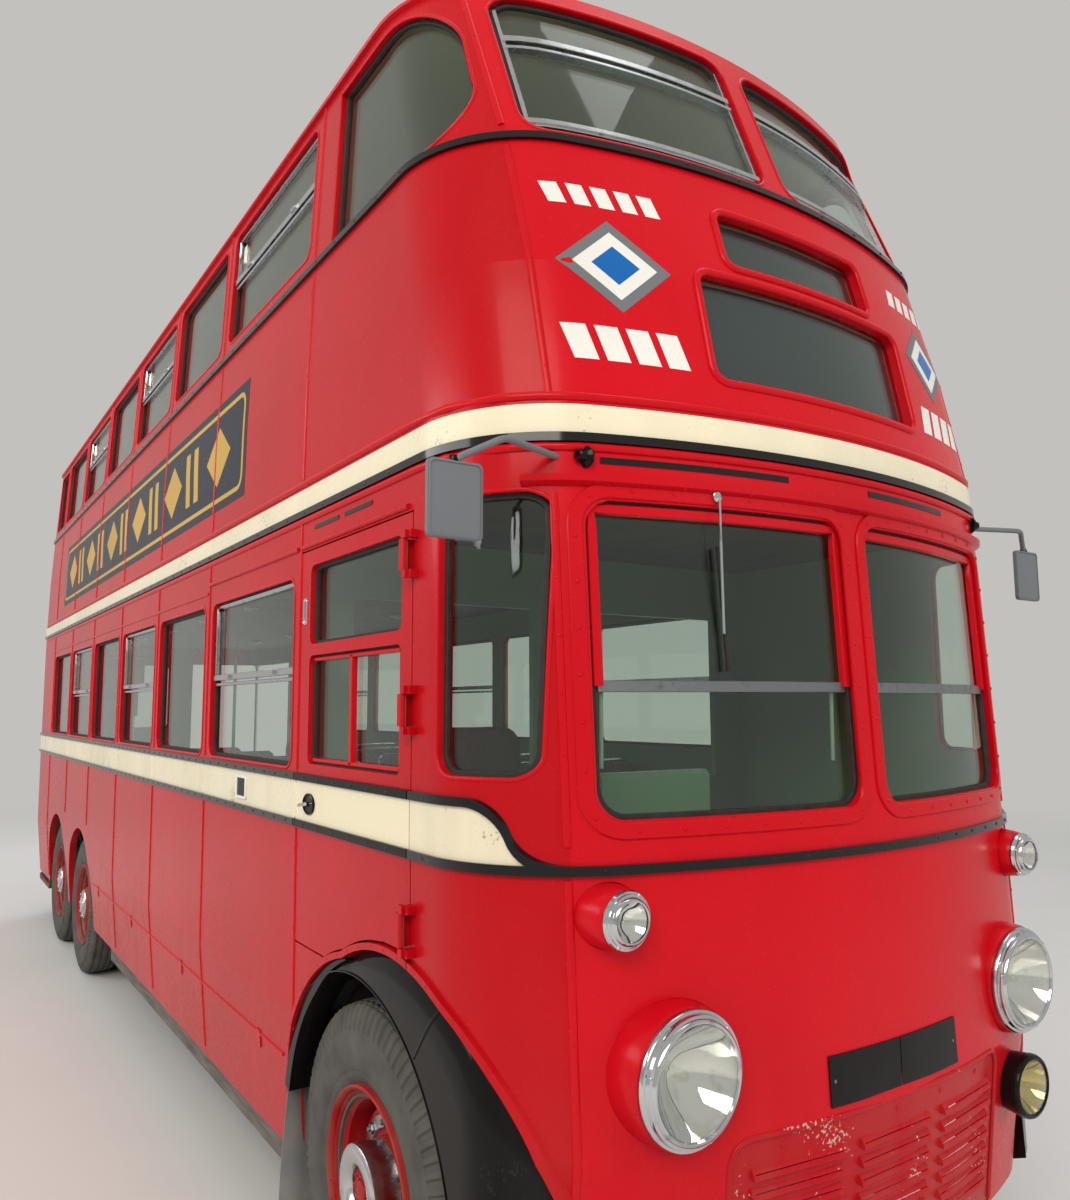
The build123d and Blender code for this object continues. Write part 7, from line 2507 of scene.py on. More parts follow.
@dataclass(frozen=True)
class CushionForm:
    """Form of a sprung cushion or squab: a cover blown up as cloth, then stitched into flutes."""

    half: tuple[float, float, float]
    power: float = 0.34
    around: int = 28
    rings: int = 15
    voxel: float = 0.009
    slack: float = 0.94
    cap: float = 0.014
    pressure: float = 4.0
    frames: int = 20
    flutes: int = 4
    flute_depth: float = 0.10

    def block(self, around: int, rings: int, scale: float) -> Array:
        """Superellipsoid grid: half sizes times the signed powers of cosines and sines.

        Args:
            around: points round.
            rings: points from end to end.
            scale: share of the full size.

        Returns:
            Points (rings, around, 3).
        """
        u = np.linspace(-math.pi / 2 + 0.02, math.pi / 2 - 0.02, rings)
        v = np.linspace(0, 2 * math.pi, around, endpoint=False)
        uu, vv = np.meshgrid(u, v, indexing="ij")

        def rounded(value: Array) -> Array:
            return np.sign(value) * np.abs(value) ** self.power

        x = self.half[0] * rounded(np.sin(uu))
        y = self.half[1] * rounded(np.cos(uu)) * rounded(np.cos(vv))
        z = self.half[2] * rounded(np.cos(uu)) * rounded(np.sin(vv))
        return np.stack([x, y, z], axis=-1) * scale

    def cover(self) -> bpy.types.Object:
        """Closed cover of even small faces, a little smaller than the finished cushion."""
        shape = Shape()
        shape.grid(self.block(56, 31, self.slack), wrap_v=True, caps=True)
        mesh = bpy.data.meshes.new("cushion_block")
        mesh.from_pydata(np.concatenate(shape.vertices).tolist(), [], shape.faces)
        block = bpy.data.objects.new("cushion_block", mesh)
        bpy.context.scene.collection.objects.link(block)
        remesh = block.modifiers.new("even_faces", "REMESH")
        remesh.mode = "VOXEL"
        remesh.voxel_size = self.voxel
        even = bpy.data.meshes.new_from_object(
            block.evaluated_get(bpy.context.evaluated_depsgraph_get())
        )
        bpy.data.objects.remove(block)
        cover = bpy.data.objects.new("cushion_cover", even)
        bpy.context.scene.collection.objects.link(cover)
        return cover

    def swollen(self) -> Array:
        """Grid of the cover after it is blown up, with moves that level off at the cap.

        The grid's points go to the nearest place on the swollen cover, and the whole is scaled
        to the half sizes.

        Returns:
            Points (rings, around, 3).
        """
        cover = self.cover()
        start = np.array([vertex.co[:] for vertex in cover.data.vertices])
        faces = [tuple(face.vertices) for face in cover.data.polygons]
        cloth = cover.modifiers.new("stuffing", "CLOTH")
        cloth.settings.use_pressure = True
        cloth.settings.uniform_pressure_force = self.pressure
        cloth.settings.effector_weights.gravity = 0.0
        cloth.point_cache.frame_start, cloth.point_cache.frame_end = 1, self.frames
        scene = bpy.context.scene
        for frame in range(1, self.frames + 1):
            scene.frame_set(frame)
        blown = cover.evaluated_get(bpy.context.evaluated_depsgraph_get()).to_mesh()
        moved = np.array([vertex.co[:] for vertex in blown.vertices]) - start
        length = np.linalg.norm(moved, axis=1, keepdims=True)
        moved *= self.cap * (1 - np.exp(-length / self.cap)) / np.maximum(length, 1e-9)
        LOG.info(
            "cushion cover %s: %d faces, moved up to %.4f m",
            self.half,
            len(faces),
            float(length.max()),
        )
        tree = BVHTree.FromPolygons((start + moved).tolist(), faces)
        bpy.data.objects.remove(cover)
        scene.frame_set(1)
        grid = self.block(self.around, self.rings, 1.0)
        found = np.array([tree.find_nearest(Vector(point))[0][:] for point in grid.reshape(-1, 3)])
        found *= np.array(self.half) / np.abs(found).max(axis=0)
        return found.reshape(grid.shape)

    def fluted(self, points: Array) -> Array:
        """Sink the broad faces by a cosine of the width, most in the middle."""
        x = points[..., :1]
        share = self.flute_depth * (0.5 + 0.5 * np.cos(math.pi * self.flutes * x / self.half[0]))
        sink = 1 - share * (1 - (x / self.half[0]) ** 2)
        thin = 1 + int(np.argmin(self.half[1:]))
        points = points.copy()
        points[..., thin : thin + 1] *= sink
        return points


@functools.lru_cache(maxsize=None)
def cushion_points(form: CushionForm) -> Array:
    plain = form.swollen()
    return form.fluted(plain)


class Seats(Dresser):
    """Double seats with sprung cushions, covered frames, bright rails and grab handles."""

    WIDTH = 0.860
    PITCH = 0.730
    BENCH_S = 5.950
    BENCH_LENGTH = 1.950
    DRIVER_X = -0.450

    @classmethod
    def places(cls) -> dict[str, list[SeatSize]]:
        """Every double seat by deck.

        Returns:
            Deck name to its seats.
        """
        lower = [
            SeatSize(way * 0.640, 1.900 + row * cls.PITCH, 0.800)
            for row in range(5) for way in (-1, 1)
        ]
        upper = [
            SeatSize(way * 0.630, 1.450 + row * cls.PITCH, 2.700)
            for row in range(7) for way in (-1, 1)
        ]
        upper += [SeatSize(0.630, 1.450 + row * cls.PITCH, 2.700) for row in (7, 8)]
        return {"lower": lower, "upper": upper}

    @staticmethod
    def pillow(
        shape: Shape, middle: Sequence[float], half: tuple[float, float, float], tilt: float = 0.0,
        power: float = 0.34,
    ) -> None:
        """Add one cushion or squab.

        Args:
            shape: shape that gets it.
            middle: centre.
            half: half sizes along X, Y and Z before the tilt.
            tilt: turn about X in degrees.
            power: lower is squarer.
        """
        points = cushion_points(CushionForm(half, power))
        turn = math.radians(tilt)
        x, y, z = points[..., 0], points[..., 1], points[..., 2]
        y, z = y * math.cos(turn) - z * math.sin(turn), y * math.sin(turn) + z * math.cos(turn)
        shape.grid(np.stack([x, y, z], axis=-1) + np.array(middle), wrap_v=True, caps=True)

    def double(
        self, cushions: Shape, backs: Shape, rails: Shape, panels: Shape, seat: SeatSize
    ) -> None:
        """Add one double seat to the deck's shapes."""
        y = float(along(seat.s))
        for way in (-1, 1):
            x = seat.x + way * self.WIDTH / 4
            self.pillow(
                cushions, (x, y + 0.205, seat.floor + 0.370), (self.WIDTH / 4 - 0.004, 0.195, 0.062)
            )
            self.pillow(
                backs,
                (x, y + 0.462, seat.floor + 0.655),
                (self.WIDTH / 4 - 0.004, 0.032, 0.215),
                tilt=-9.0,
            )
        low = seat.x - self.WIDTH / 2 + 0.012
        high = seat.x + self.WIDTH / 2 - 0.012
        foot = np.array([low, y + 0.470, seat.floor + 0.330])
        top = np.array([low, y + 0.530, seat.floor + 0.870])
        corner = 0.030
        hoop = np.array(
            [
                foot,
                top - [0, 0.004, corner],
                top + [corner * 0.3, 0, -corner * 0.3],
                top + [corner, 0.002, 0.002],
                [high - corner, top[1] + 0.002, top[2] + 0.002],
                [high - corner * 0.3, top[1], top[2] - corner * 0.3],
                [high, top[1] - 0.004, top[2] - corner],
                [high, foot[1], foot[2]],
            ]
        )
        rails.rod(hoop, 0.08, 0.011, 10)
        for x in (low, high):
            ends = [[x, y + 0.020, seat.floor + 0.305], [x, y + 0.470, seat.floor + 0.315]]
            rails.rod(ends, 0.10, 0.010, 8)
        # Back board of the squab, with its edges rounded over
        board = np.array(
            [[0.0, 0.0], [0.0, 0.012], [-0.004, 0.014], [-0.012, 0.014], [-0.014, 0.0]]
        )
        path = np.array(
            [[seat.x, y + 0.498, seat.floor + 0.42], [seat.x, y + 0.538, seat.floor + 0.86]]
        )
        width = self.WIDTH - 0.06
        across = np.linspace(-width / 2, width / 2, 9)
        face = path[:, None] + across[None, :, None] * np.array([1.0, 0, 0])
        panels.grid(np.concatenate([face, face[::-1] + np.array([0, 0.010, 0])]), wrap_u=True)
        foot = [[seat.x + way * width / 2, y + 0.50, seat.floor + 0.30] for way in (-1, 1)]
        panels.run(foot, board, 0.1)

    def pedestals(self, shape: Shape, seat: SeatSize) -> None:
        """Add the two turned feet of a seat."""
        for way in (-1, 1):
            centre = spot(seat.x + way * 0.27, seat.s + 0.260, seat.floor)
            section = [
                (0.001, 0.052), (0.010, 0.050), (0.014, 0.024), (0.26, 0.020), (0.292, 0.040),
                (0.300, 0.040),
            ]
            shape.turned(section, centre, (0, 0, 1), 16)

    def build(self) -> None:
        """Make the seats of both decks, the benches and the driver's seat."""
        first = True
        for deck, seats in self.places().items():
            cushions, backs, rails, panels, feet = (Shape() for _ in range(5))
            for seat in seats:
                self.double(cushions, backs, rails, panels, seat)
                self.pedestals(feet, seat)
            made = self.put(
                f"{deck}_deck_cushions", cushions, "cloth",
                replaces=["saloon_seats"] if first else [], smooth=60,
            )
            made = self.put(f"{deck}_deck_squabs", backs, "cloth", smooth=60)
            self.put(f"{deck}_deck_seat_rails", rails, "bright")
            self.put(f"{deck}_deck_seat_backs", panels, "hide")
            self.put(f"{deck}_deck_seat_feet", feet, "bright")
            first = False
        self.benches()
        self.driver_seat()

    def benches(self) -> None:
        """Side benches over the rear wheels, each of four cushions and squabs."""
        cushions, squabs, fronts = Shape(), Shape(), Shape()
        length = self.BENCH_LENGTH
        for way in (-1, 1):
            for k in range(4):
                y = float(along(self.BENCH_S + (k + 0.5) * length / 4))
                self.pillow(cushions, (way * 0.835, y, 1.170), (0.205, length / 8 - 0.004, 0.066))
                self.pillow(squabs, (way * 1.022, y, 1.435), (0.030, length / 8 - 0.004, 0.190))
            ends = [spot(way * 0.632, 5.96, 1.105), spot(way * 0.632, 7.89, 1.105)]
            fronts.run(ends, bar(0.020, -0.024, 0.030), 0.2)
        self.put("bench_cushions", cushions, "cloth", smooth=60)
        self.put("bench_squabs", squabs, "cloth", smooth=60)
        self.put("bench_front_boards", fronts, "timber")

    def driver_seat(self) -> None:
        """Driver's cushion and squab on a bracket."""
        cushion, squab, bracket = Shape(), Shape(), Shape()
        y = float(along(1.370))
        self.pillow(cushion, (self.DRIVER_X, y, 1.395), (0.222, 0.185, 0.050), power=0.45)
        self.pillow(squab, spot(self.DRIVER_X, 1.535, 1.690), (0.212, 0.030, 0.200), power=0.45)
        bracket.turned(
            [
                (0.002, 0.10), (0.012, 0.10), (0.020, 0.040), (0.36, 0.036), (0.39, 0.090),
                (0.405, 0.090),
            ],
            spot(-0.405, 1.375, 0.930),
            (0, 0, 1),
            24,
        )
        for way in (-1, 1):
            x = self.DRIVER_X + way * 0.17
            ends = [(x, y + 0.14, 1.350), (x, y + 0.195, 1.42), (x, y + 0.195, 1.80)]
            bracket.rod(ends, 0.05, 0.011, 8)
        self.put("driver_cushion", cushion, "hide", smooth=60)
        self.put("driver_squab", squab, "hide", smooth=60)
        self.put("driver_seat_bracket", bracket, "black_frame")


class Interior(Dresser):
    """Steering wheel, cab fittings, ceiling lamps, platform strips and pole collars."""

    COLUMN_AXIS = (0, 0.4067366, 0.9135455)
    COLUMN_LENGTH = 0.727
    WHEEL_RADIUS = 0.231
    PLATFORM_Z = 0.381
    DECK_LAMPS = (
        (2.618, 0.52, np.arange(2.15, 7.9, 1.06)), (4.440, 0.30, np.arange(1.9, 8.4, 1.06))
    )
    POLES = (
        (1.040, 9.010, 0.380, 2.450), (0.560, 8.200, 0.380, 2.620), (-0.420, 8.220, 0.380, 2.620)
    )

    def build(self) -> None:
        """Make the pieces."""
        self.steering()
        self.cab()
        self.ceiling_lamps()
        self.floor_strips()
        self.poles()

    def steering(self) -> None:
        """Steering wheel: a round rim with finger grips, four spokes and a domed boss."""
        axis = np.array(self.COLUMN_AXIS)
        foot = np.array(spot(-0.450, 0.560, 0.932))
        centre = foot + axis * self.COLUMN_LENGTH
        side_way = np.array([1.0, 0, 0])
        other = np.cross(axis, side_way)
        rim, spokes = Shape(), Shape()
        count = 96
        turn = np.linspace(0, 2 * math.pi, count, endpoint=False)
        ray = np.cos(turn)[:, None] * side_way + np.sin(turn)[:, None] * other
        section = np.linspace(0, 2 * math.pi, 14, endpoint=False)
        grip = 0.0135 - 0.0012 * (np.sin(turn * 24) > 0.3)
        points = (
            centre
            + ray[:, None] * (
                self.WHEEL_RADIUS + grip[:, None, None] * np.cos(section)[None, :, None]
            )
            + axis * grip[:, None, None] * np.sin(section)[None, :, None]
        )
        rim.grid(points, wrap_u=True, wrap_v=True)
        self.put("steering_wheel_rim", rim, "rubber", "steering_wheel", replaces=["steering_wheel"])
        for quarter in range(4):
            turned = quarter * math.pi / 2
            way = math.cos(turned) * side_way + math.sin(turned) * other
            ends = [centre + way * reach - axis * 0.004 for reach in (0.035, 0.13)]
            ends.append(centre + way * 0.222)
            spokes.rod(ends, 0.03, 0.0065, 8)
        spokes.turned(
            [
                (-0.030, 0.016), (-0.030, 0.044), (0.000, 0.044), (0.008, 0.040), (0.012, 0.026),
                (0.018, 0.024), (0.021, 0.001),
            ],
            centre,
            axis,
            32,
        )
        self.put("steering_wheel_spokes", spokes, "black", "steering_wheel")

    def cab(self) -> None:
        """Shelf, gauge box with three gauges, pedals and hand brake in the cab."""
        boxes, dials, metal = Shape(), Shape(), Shape()
        shelf = np.array([spot(x, 0.335, 1.640) for x in np.linspace(-0.80, 0.80, 9)])
        bow = BOW - np.sqrt(BOW**2 - shelf[:, 0] ** 2)
        shelf[:, 1] += bow - 0.13
        boxes.sweep(shelf, np.tile([[0, 0, 1.0]], (9, 1)), bar(0.150, -0.016, 0.0, 0.004), False)
        gauge = [spot(-0.70, 0.43, 1.665), spot(-0.32, 0.40, 1.665)]
        boxes.run(gauge, bar(0.060, -0.010, 0.115, 0.012), 0.1)
        self.put("cab_shelf_and_gauge_box", boxes, "green")
        for x in (-0.640, -0.520, -0.400):
            dials.turned(
                [(0.000, 0.042), (0.010, 0.042), (0.012, 0.036), (0.006, 0.035), (0.005, 0.001)],
                spot(x, 0.452, 1.725),
                (0, 1, 0),
                28,
            )
        self.put("cab_gauges", dials, "chrome")
        for x in (-0.560, -0.330):
            pedal = [spot(x, 0.70, 0.960), spot(x, 0.62, 1.060)]
            metal.run(pedal, bar(0.085, -0.006, 0.006), 0.04, up=(0.0, 0.78, 0.62))
            metal.rod([spot(x, 0.665, 1.005), spot(x, 0.58, 0.935)], 0.03, 0.010, 8)
        brake = [spot(-0.80, 1.05, 0.932), spot(-0.80, 1.00, 1.30), spot(-0.80, 0.97, 1.42)]
        metal.rod(brake, 0.05, 0.014)
        self.put("cab_pedals_and_brake", metal, "black_frame")

    def ceiling_lamps(self) -> None:
        """Round lamps under both ceilings, each a bright ring with a frosted dome."""
        rings, domes = Shape(), Shape()
        for level, half, rows in self.DECK_LAMPS:
            for s in rows:
                for way in (-1, 1):
                    centre = spot(way * half, s, level)
                    rings.turned(
                        [
                            (0.0, 0.060), (0.016, 0.060), (0.020, 0.052), (0.014, 0.048),
                            (0.0, 0.047),
                        ],
                        centre,
                        (0, 0, -1),
                        24,
                    )
                    domes.turned(
                        [(0.006, 0.047), (0.022, 0.040), (0.034, 0.024), (0.038, 0.001)],
                        centre,
                        (0, 0, -1),
                        20,
                    )
        self.put("ceiling_lamp_rings", rings, "bright")
        self.put("ceiling_lamp_domes", domes, "white")

    def floor_strips(self) -> None:
        """Hardwood slats on the platform and a bright nosing at its edge."""
        slats, nosing = Shape(), Shape()
        for x in np.arange(-0.36, 1.06, 0.075):
            end = 9.06 if x < 0.6 else 8.98 - (x - 0.6) * 0.35
            ends = [spot(x, 8.18, self.PLATFORM_Z), spot(x, end, self.PLATFORM_Z)]
            slats.run(ends, bar(0.042, -0.002, 0.009, 0.002), 0.3)
        edge = [spot(1.080, 8.17, self.PLATFORM_Z), spot(1.080, 8.84, self.PLATFORM_Z)]
        nosing.run(edge, bar(0.030, -0.004, 0.010, 0.003), 0.1)
        self.put("platform_slats", slats, "timber")
        self.put("platform_nosing", nosing, "bright")

    def poles(self) -> None:
        """Collars at both ends of the platform poles."""
        collars = Shape()
        for x, s, low, high in self.POLES:
            for z, start, way in ((low, 0.0, 1), (high, 0.001, -1)):
                rows = [
                    (start, 0.045), (0.006, 0.045), (0.010, 0.026), (0.034, 0.0225), (0.036, 0.018)
                ]
                collars.turned(rows, spot(x, s, z), (0, 0, way), 24)
        self.put("pole_collars", collars, "bright")


# ---- Roof, back and mirrors


class RoofGear(Dresser):
    """Roof battens, ventilators, walkway slats, boom fittings and current collectors."""

    BOOM_X = 0.305
    BOOM_Z = 4.800
    BOOM_END = 9.784
    COLLARS = ((4.45, 0.0395), (5.40, 0.0365), (6.80, 0.0330), (8.20, 0.0295), (9.50, 0.0245))

    @staticmethod
    def crown(x: Array, s: Array) -> Array:
        """Points on the roof for distances across and back, found from the body's rows.

        At each level the outline's half width and both ends are known, so the height over a
        point is where its scaled distance from the middle meets the rows.
        """
        x, s = np.broadcast_arrays(np.asarray(x, float), np.asarray(s, float))
        z = np.full(x.shape, 4.300)
        for level in np.linspace(4.300, 4.538, 120):
            half, nose, tail, corner = BODY.sizes(np.array(level))
            inside = (np.abs(x) < half) & (s > nose + corner * 0.2) & (
                s < LENGTH - tail - corner * 0.1
            )
            z = np.where(inside, level, z)
        return np.stack([x, along(s), z], axis=-1)

    def build(self) -> None:
        """Make the pieces."""
        self.seams()
        self.ventilators()
        self.walkway()
        for side in Side:
            self.boom(side)

    def seams(self) -> None:
        """Half-round battens across the roof at the pillars."""
        battens = Shape()
        x = np.linspace(-1.060, 1.060, 60)
        for s in SideTrim.joints:
            smooth = self.crown(x, np.full(60, s))
            for _ in range(3):
                smooth[1:-1, 2] = (smooth[:-2, 2] + smooth[1:-1, 2] + smooth[2:, 2]) / 3
            slope = np.gradient(smooth[:, 2], smooth[:, 0])
            ups = np.stack([-slope, 0 * slope, np.ones(60)], axis=-1)
            ups /= np.linalg.norm(ups, axis=1, keepdims=True)
            battens.sweep(smooth, ups, half_round(0.026, 0.008), False)
        self.put("roof_battens", battens, "red_roof")

    def ventilators(self) -> None:
        """Low round roof ventilators in two rows."""
        shells = Shape()
        for s in (1.95, 5.45, 7.60):
            for way in (-1, 1):
                centre = spot(way * 0.42, s, 4.512)
                section = [
                    (0.0, 0.105), (0.010, 0.104), (0.014, 0.086), (0.034, 0.086), (0.036, 0.112),
                    (0.048, 0.106), (0.066, 0.076), (0.076, 0.040), (0.079, 0.001),
                ]
                shells.turned(section, centre, (0, 0, 1), 32)
        self.put("roof_ventilators", shells, "red_roof")

    def walkway(self) -> None:
        """Timber slats over the gantry boards, and the bolts of both boom bases."""
        slats, bolts = Shape(), Shape()
        for x in np.arange(-0.445, 0.46, 0.089):
            if abs(abs(x) - self.BOOM_X) < 0.135:
                spans = ((3.66, 4.15), (4.45, 4.74))
            else:
                spans = ((3.66, 4.74),)
            for low, high in spans:
                ends = [spot(x, low, 4.601), spot(x, high, 4.601)]
                slats.run(ends, bar(0.060, -0.002, 0.012, 0.003), 0.3)
        points, faces = WheelTrim.hexagon(0.011, 0.010)
        turn = np.arange(6) * math.pi / 3 + 0.3
        for way in (-1, 1):
            centre = np.array(spot(way * self.BOOM_X, 4.300, 4.600))
            spots = centre + 0.104 * np.stack([np.cos(turn), np.sin(turn), 0 * turn], axis=-1)
            bolts.turned([(0.0, 0.128), (0.006, 0.128), (0.008, 0.1205)], centre, (0, 0, 1), 40)
            upright = frames_from(np.tile([[0, 0, 1.0]], (6, 1)), np.tile([[1.0, 0, 0]], (6, 1)))
            bolts.copies(points, faces, spots + [0, 0, 0.001], upright)
        self.put("walkway_slats", slats, "timber")
        self.put("boom_base_bolts", bolts, "iron")

    def boom(self, side: Side) -> None:
        """Coil springs and collars of one boom, with the collector's shoe and its cheeks."""
        x = side.value * self.BOOM_X
        word = side.word
        springs, collars, shoe = Shape(), Shape(), Shape()
        turns = np.linspace(0, 2 * math.pi * 26, 26 * 12)
        for way in (-1, 1):
            y = np.linspace(float(along(3.90)), float(along(4.25)), len(turns))
            path = np.stack(
                [x + way * 0.088 + 0.029 * np.cos(turns), y, 4.780 + 0.029 * np.sin(turns)], axis=-1
            )
            springs.tube(path, 0.0042, 6)
        self.put(f"{word}_boom_springs", springs, "iron", f"{word}_turntable")
        for s, radius in self.COLLARS:
            centre = spot(x, s, self.BOOM_Z)
            collars.turned(
                [
                    (-0.022, radius),
                    (-0.020, radius + 0.004),
                    (0.020, radius + 0.004),
                    (0.022, radius),
                ],
                centre,
                (0, 1, 0),
                24,
            )
        self.put(f"{word}_boom_collars", collars, "iron", f"{word}_boom")
        end = float(along(self.BOOM_END))
        half_groove = np.array([[0.016, -0.012], [0.016, 0.006], [0.009, 0.006], [0.006, 0.0005]])
        section = np.concatenate([half_groove, half_groove[::-1] * [-1, 1]])
        shoe.run([(x, end - 0.150, 4.8888), (x, end - 0.010, 4.8883)], section, 0.04)
        for way in (-1, 1):
            centre = (x + way * 0.0262, end - 0.050, 4.866)
            shoe.turned(
                [(0.0, 0.014), (0.004, 0.013), (0.006, 0.006), (0.0065, 0.001)],
                centre,
                (way, 0, 0),
                16,
            )
        self.put(f"{word}_collector_shoe", shoe, "brass", f"{word}_boom")


class BackTrim(Dresser):
    """Back of the bus: window and door trims, pillar strip, tail lamps and blank plate."""

    WINDOW = Window(BODY.back, (-0.800, 0.120), (1.755, 2.445))
    DOOR_X = (-0.606, 0.606)
    DOOR_Z = (3.244, 4.196)
    PANE_X = (0.031, 0.519)
    PANE_Z = (3.586, 4.109)
    LAMPS = ((-0.78, 0.98, 0.055), (-0.78, 1.12, 0.038), (0.20, 0.98, 0.055))
    PLATE_X = (-0.50, 0.02)
    PLATE_Z = (0.905, 1.025)

    def build(self) -> None:
        """Make the pieces."""
        seals, lips, beads, bright = (Shape() for _ in range(4))
        seals.on_surface(
            BODY.back, self.WINDOW.inset(0.006), bar(0.016, -0.031, -0.019), True, step=0.05
        )
        lips.on_surface(BODY.back, self.WINDOW.inset(-0.005), ROLLED_EDGE, True, step=0.05)
        edge = rounded_loop(self.DOOR_X, self.DOOR_Z, 0.006, 3)
        lips.on_surface(BODY.back, edge, half_round(0.014, 0.0045), True, step=0.05)
        for x in (-0.955, 0.955):
            line = upright_line(x, 2.80, 3.23, 6)
            beads.on_surface(BODY.back, line, JOINT_BEAD, False)
        bright.on_surface(
            BODY.back, [[0.338, 0.50], [0.338, 2.44]], bar(0.020, 0.0005, 0.006), False, step=0.1
        )
        self.put("back_window_seals", seals, "rubber")
        self.put("back_rolled_edges", lips, "red")
        self.put("back_joint_beads", beads, "red")
        self.put("platform_pillar_strip", bright, "bright")
        self.door()
        self.lamps()
        self.plate()

    def door(self) -> None:
        """Emergency door: pane seals, a handle bar and the pins round its edge."""
        seals, handle, pins = Shape(), Shape(), Shape()
        for side in Side:
            pane = rounded_loop(side.span(self.PANE_X), self.PANE_Z, 0.035)
            seals.on_surface(BODY.back, pane, bar(0.014, -0.031, -0.019), True, step=0.05)
            pins_line = rounded_loop(side.span((0.004, 0.545)), (3.56, 4.135), 0.05)
            stud_row(pins, BODY.back, pins_line, 0.12, 0.0045, 0.003, closed=True)
        x = np.linspace(-0.30, 0.30, 13)
        path = BODY.back(x, 3.400)
        normal = surface_normals(BODY.back, x, 3.400)
        handle.tube(path + normal * 0.030, 0.009, 12)
        for at in (0, 12):
            ends = np.array(
                [path[at], path[at] + normal[at] * 0.015, path[at] + normal[at] * 0.030]
            )
            handle.tube(ends, 0.008, 10)
        self.put("emergency_door_seals", seals, "rubber", "emergency_door")
        self.put("emergency_door_handle", handle, "chrome", "emergency_door")
        self.put("emergency_door_pins", pins, "red", "emergency_door")

    def lamps(self) -> None:
        """Tail lamps low at both corners and a lamp over the plate."""
        rims, glass = Shape(), Shape()
        for x, z, radius in self.LAMPS:
            at = BODY.back(x, z)
            normal = surface_normals(BODY.back, np.array([x]), np.array([z]))[0]
            rims.turned(
                [
                    (-0.002, radius + 0.010), (0.010, radius + 0.010), (0.018, radius + 0.004),
                    (0.018, radius - 0.003), (0.010, radius - 0.004),
                ],
                at,
                normal,
                32,
            )
            glass.turned(
                [
                    (0.012, radius - 0.003),
                    (0.020, radius * 0.8),
                    (0.026, radius * 0.5),
                    (0.029, 0.001),
                ],
                at,
                normal,
                32,
            )
        self.put("tail_lamp_rims", rims, "chrome")
        self.put("tail_lamp_glasses", glass, "ruby")

    def plate(self) -> None:
        """Blank black plate with a small hooded lamp over it."""
        plate, hood = Shape(), Shape()
        plate.patch(BODY.back, self.PLATE_X, self.PLATE_Z, 0.002, 0.006)
        line = [[-0.40, 1.045], [-0.08, 1.045]]
        hood.on_surface(
            BODY.back,
            line,
            [
                [0.018, 0.0], [0.018, 0.020], [0.006, 0.042], [-0.010, 0.046], [-0.018, 0.036],
                [-0.012, 0.0],
            ],
            False,
        )
        self.put("rear_number_plate", plate, "black_plate")
        self.put("rear_plate_lamp", hood, "black")


class Mirrors(Dresser):
    """Driving mirrors: round-edged heads with silvered glass, ball joints and arm clamps."""

    def build(self) -> None:
        """Make the parts added to both mirrors."""
        glass, rims, clamps = Shape(), Shape(), Shape()
        y_front, y_back = float(along(0.232)), float(along(0.246))
        for way in (-1, 1):
            x, z = way * 1.262, 2.460
            y = y_back + 0.0012
            loop = rounded_loop((x - 0.065, x + 0.065), (z - 0.085, z + 0.085), 0.010)
            ring = np.stack([loop[:, 0], np.full(len(loop), y), loop[:, 1]], axis=-1)
            middle = np.array([x, y, z])
            inner = [middle + (ring - middle) * share for share in (0.5, 0.02)]
            glass.grid(np.stack([ring - [0, 0.001, 0], ring] + inner), wrap_v=True)
            loop = rounded_loop((x - 0.0702, x + 0.0702), (z - 0.0905, z + 0.0905), 0.014)
            path = np.stack(
                [loop[:, 0], np.full(len(loop), (y_front + y_back) / 2), loop[:, 1]], axis=-1
            )
            out = path - [x, (y_front + y_back) / 2, z]
            out /= np.linalg.norm(out, axis=1, keepdims=True)
            rims.sweep(path, out, half_round(0.019, 0.0065), True)
            clamps.turned(
                [(-0.016, 0.001), (-0.014, 0.010), (0.0, 0.015), (0.014, 0.010), (0.016, 0.001)],
                spot(x, 0.245, 2.556),
                (0, 0, 1),
                20,
            )
            foot = BODY.front(np.array([way * 0.88]), np.array([2.618]))[0]
            clamps.turned(
                [(-0.004, 0.030), (0.004, 0.030), (0.010, 0.018), (0.030, 0.014), (0.032, 0.009)],
                foot,
                (way * 0.94, -0.34, 0),
                24,
            )
        self.put("mirror_glasses", glass, "mirror")
        self.put("mirror_rims", rims, "grey")
        self.put("mirror_clamps", clamps, "black")


# ---- Stage


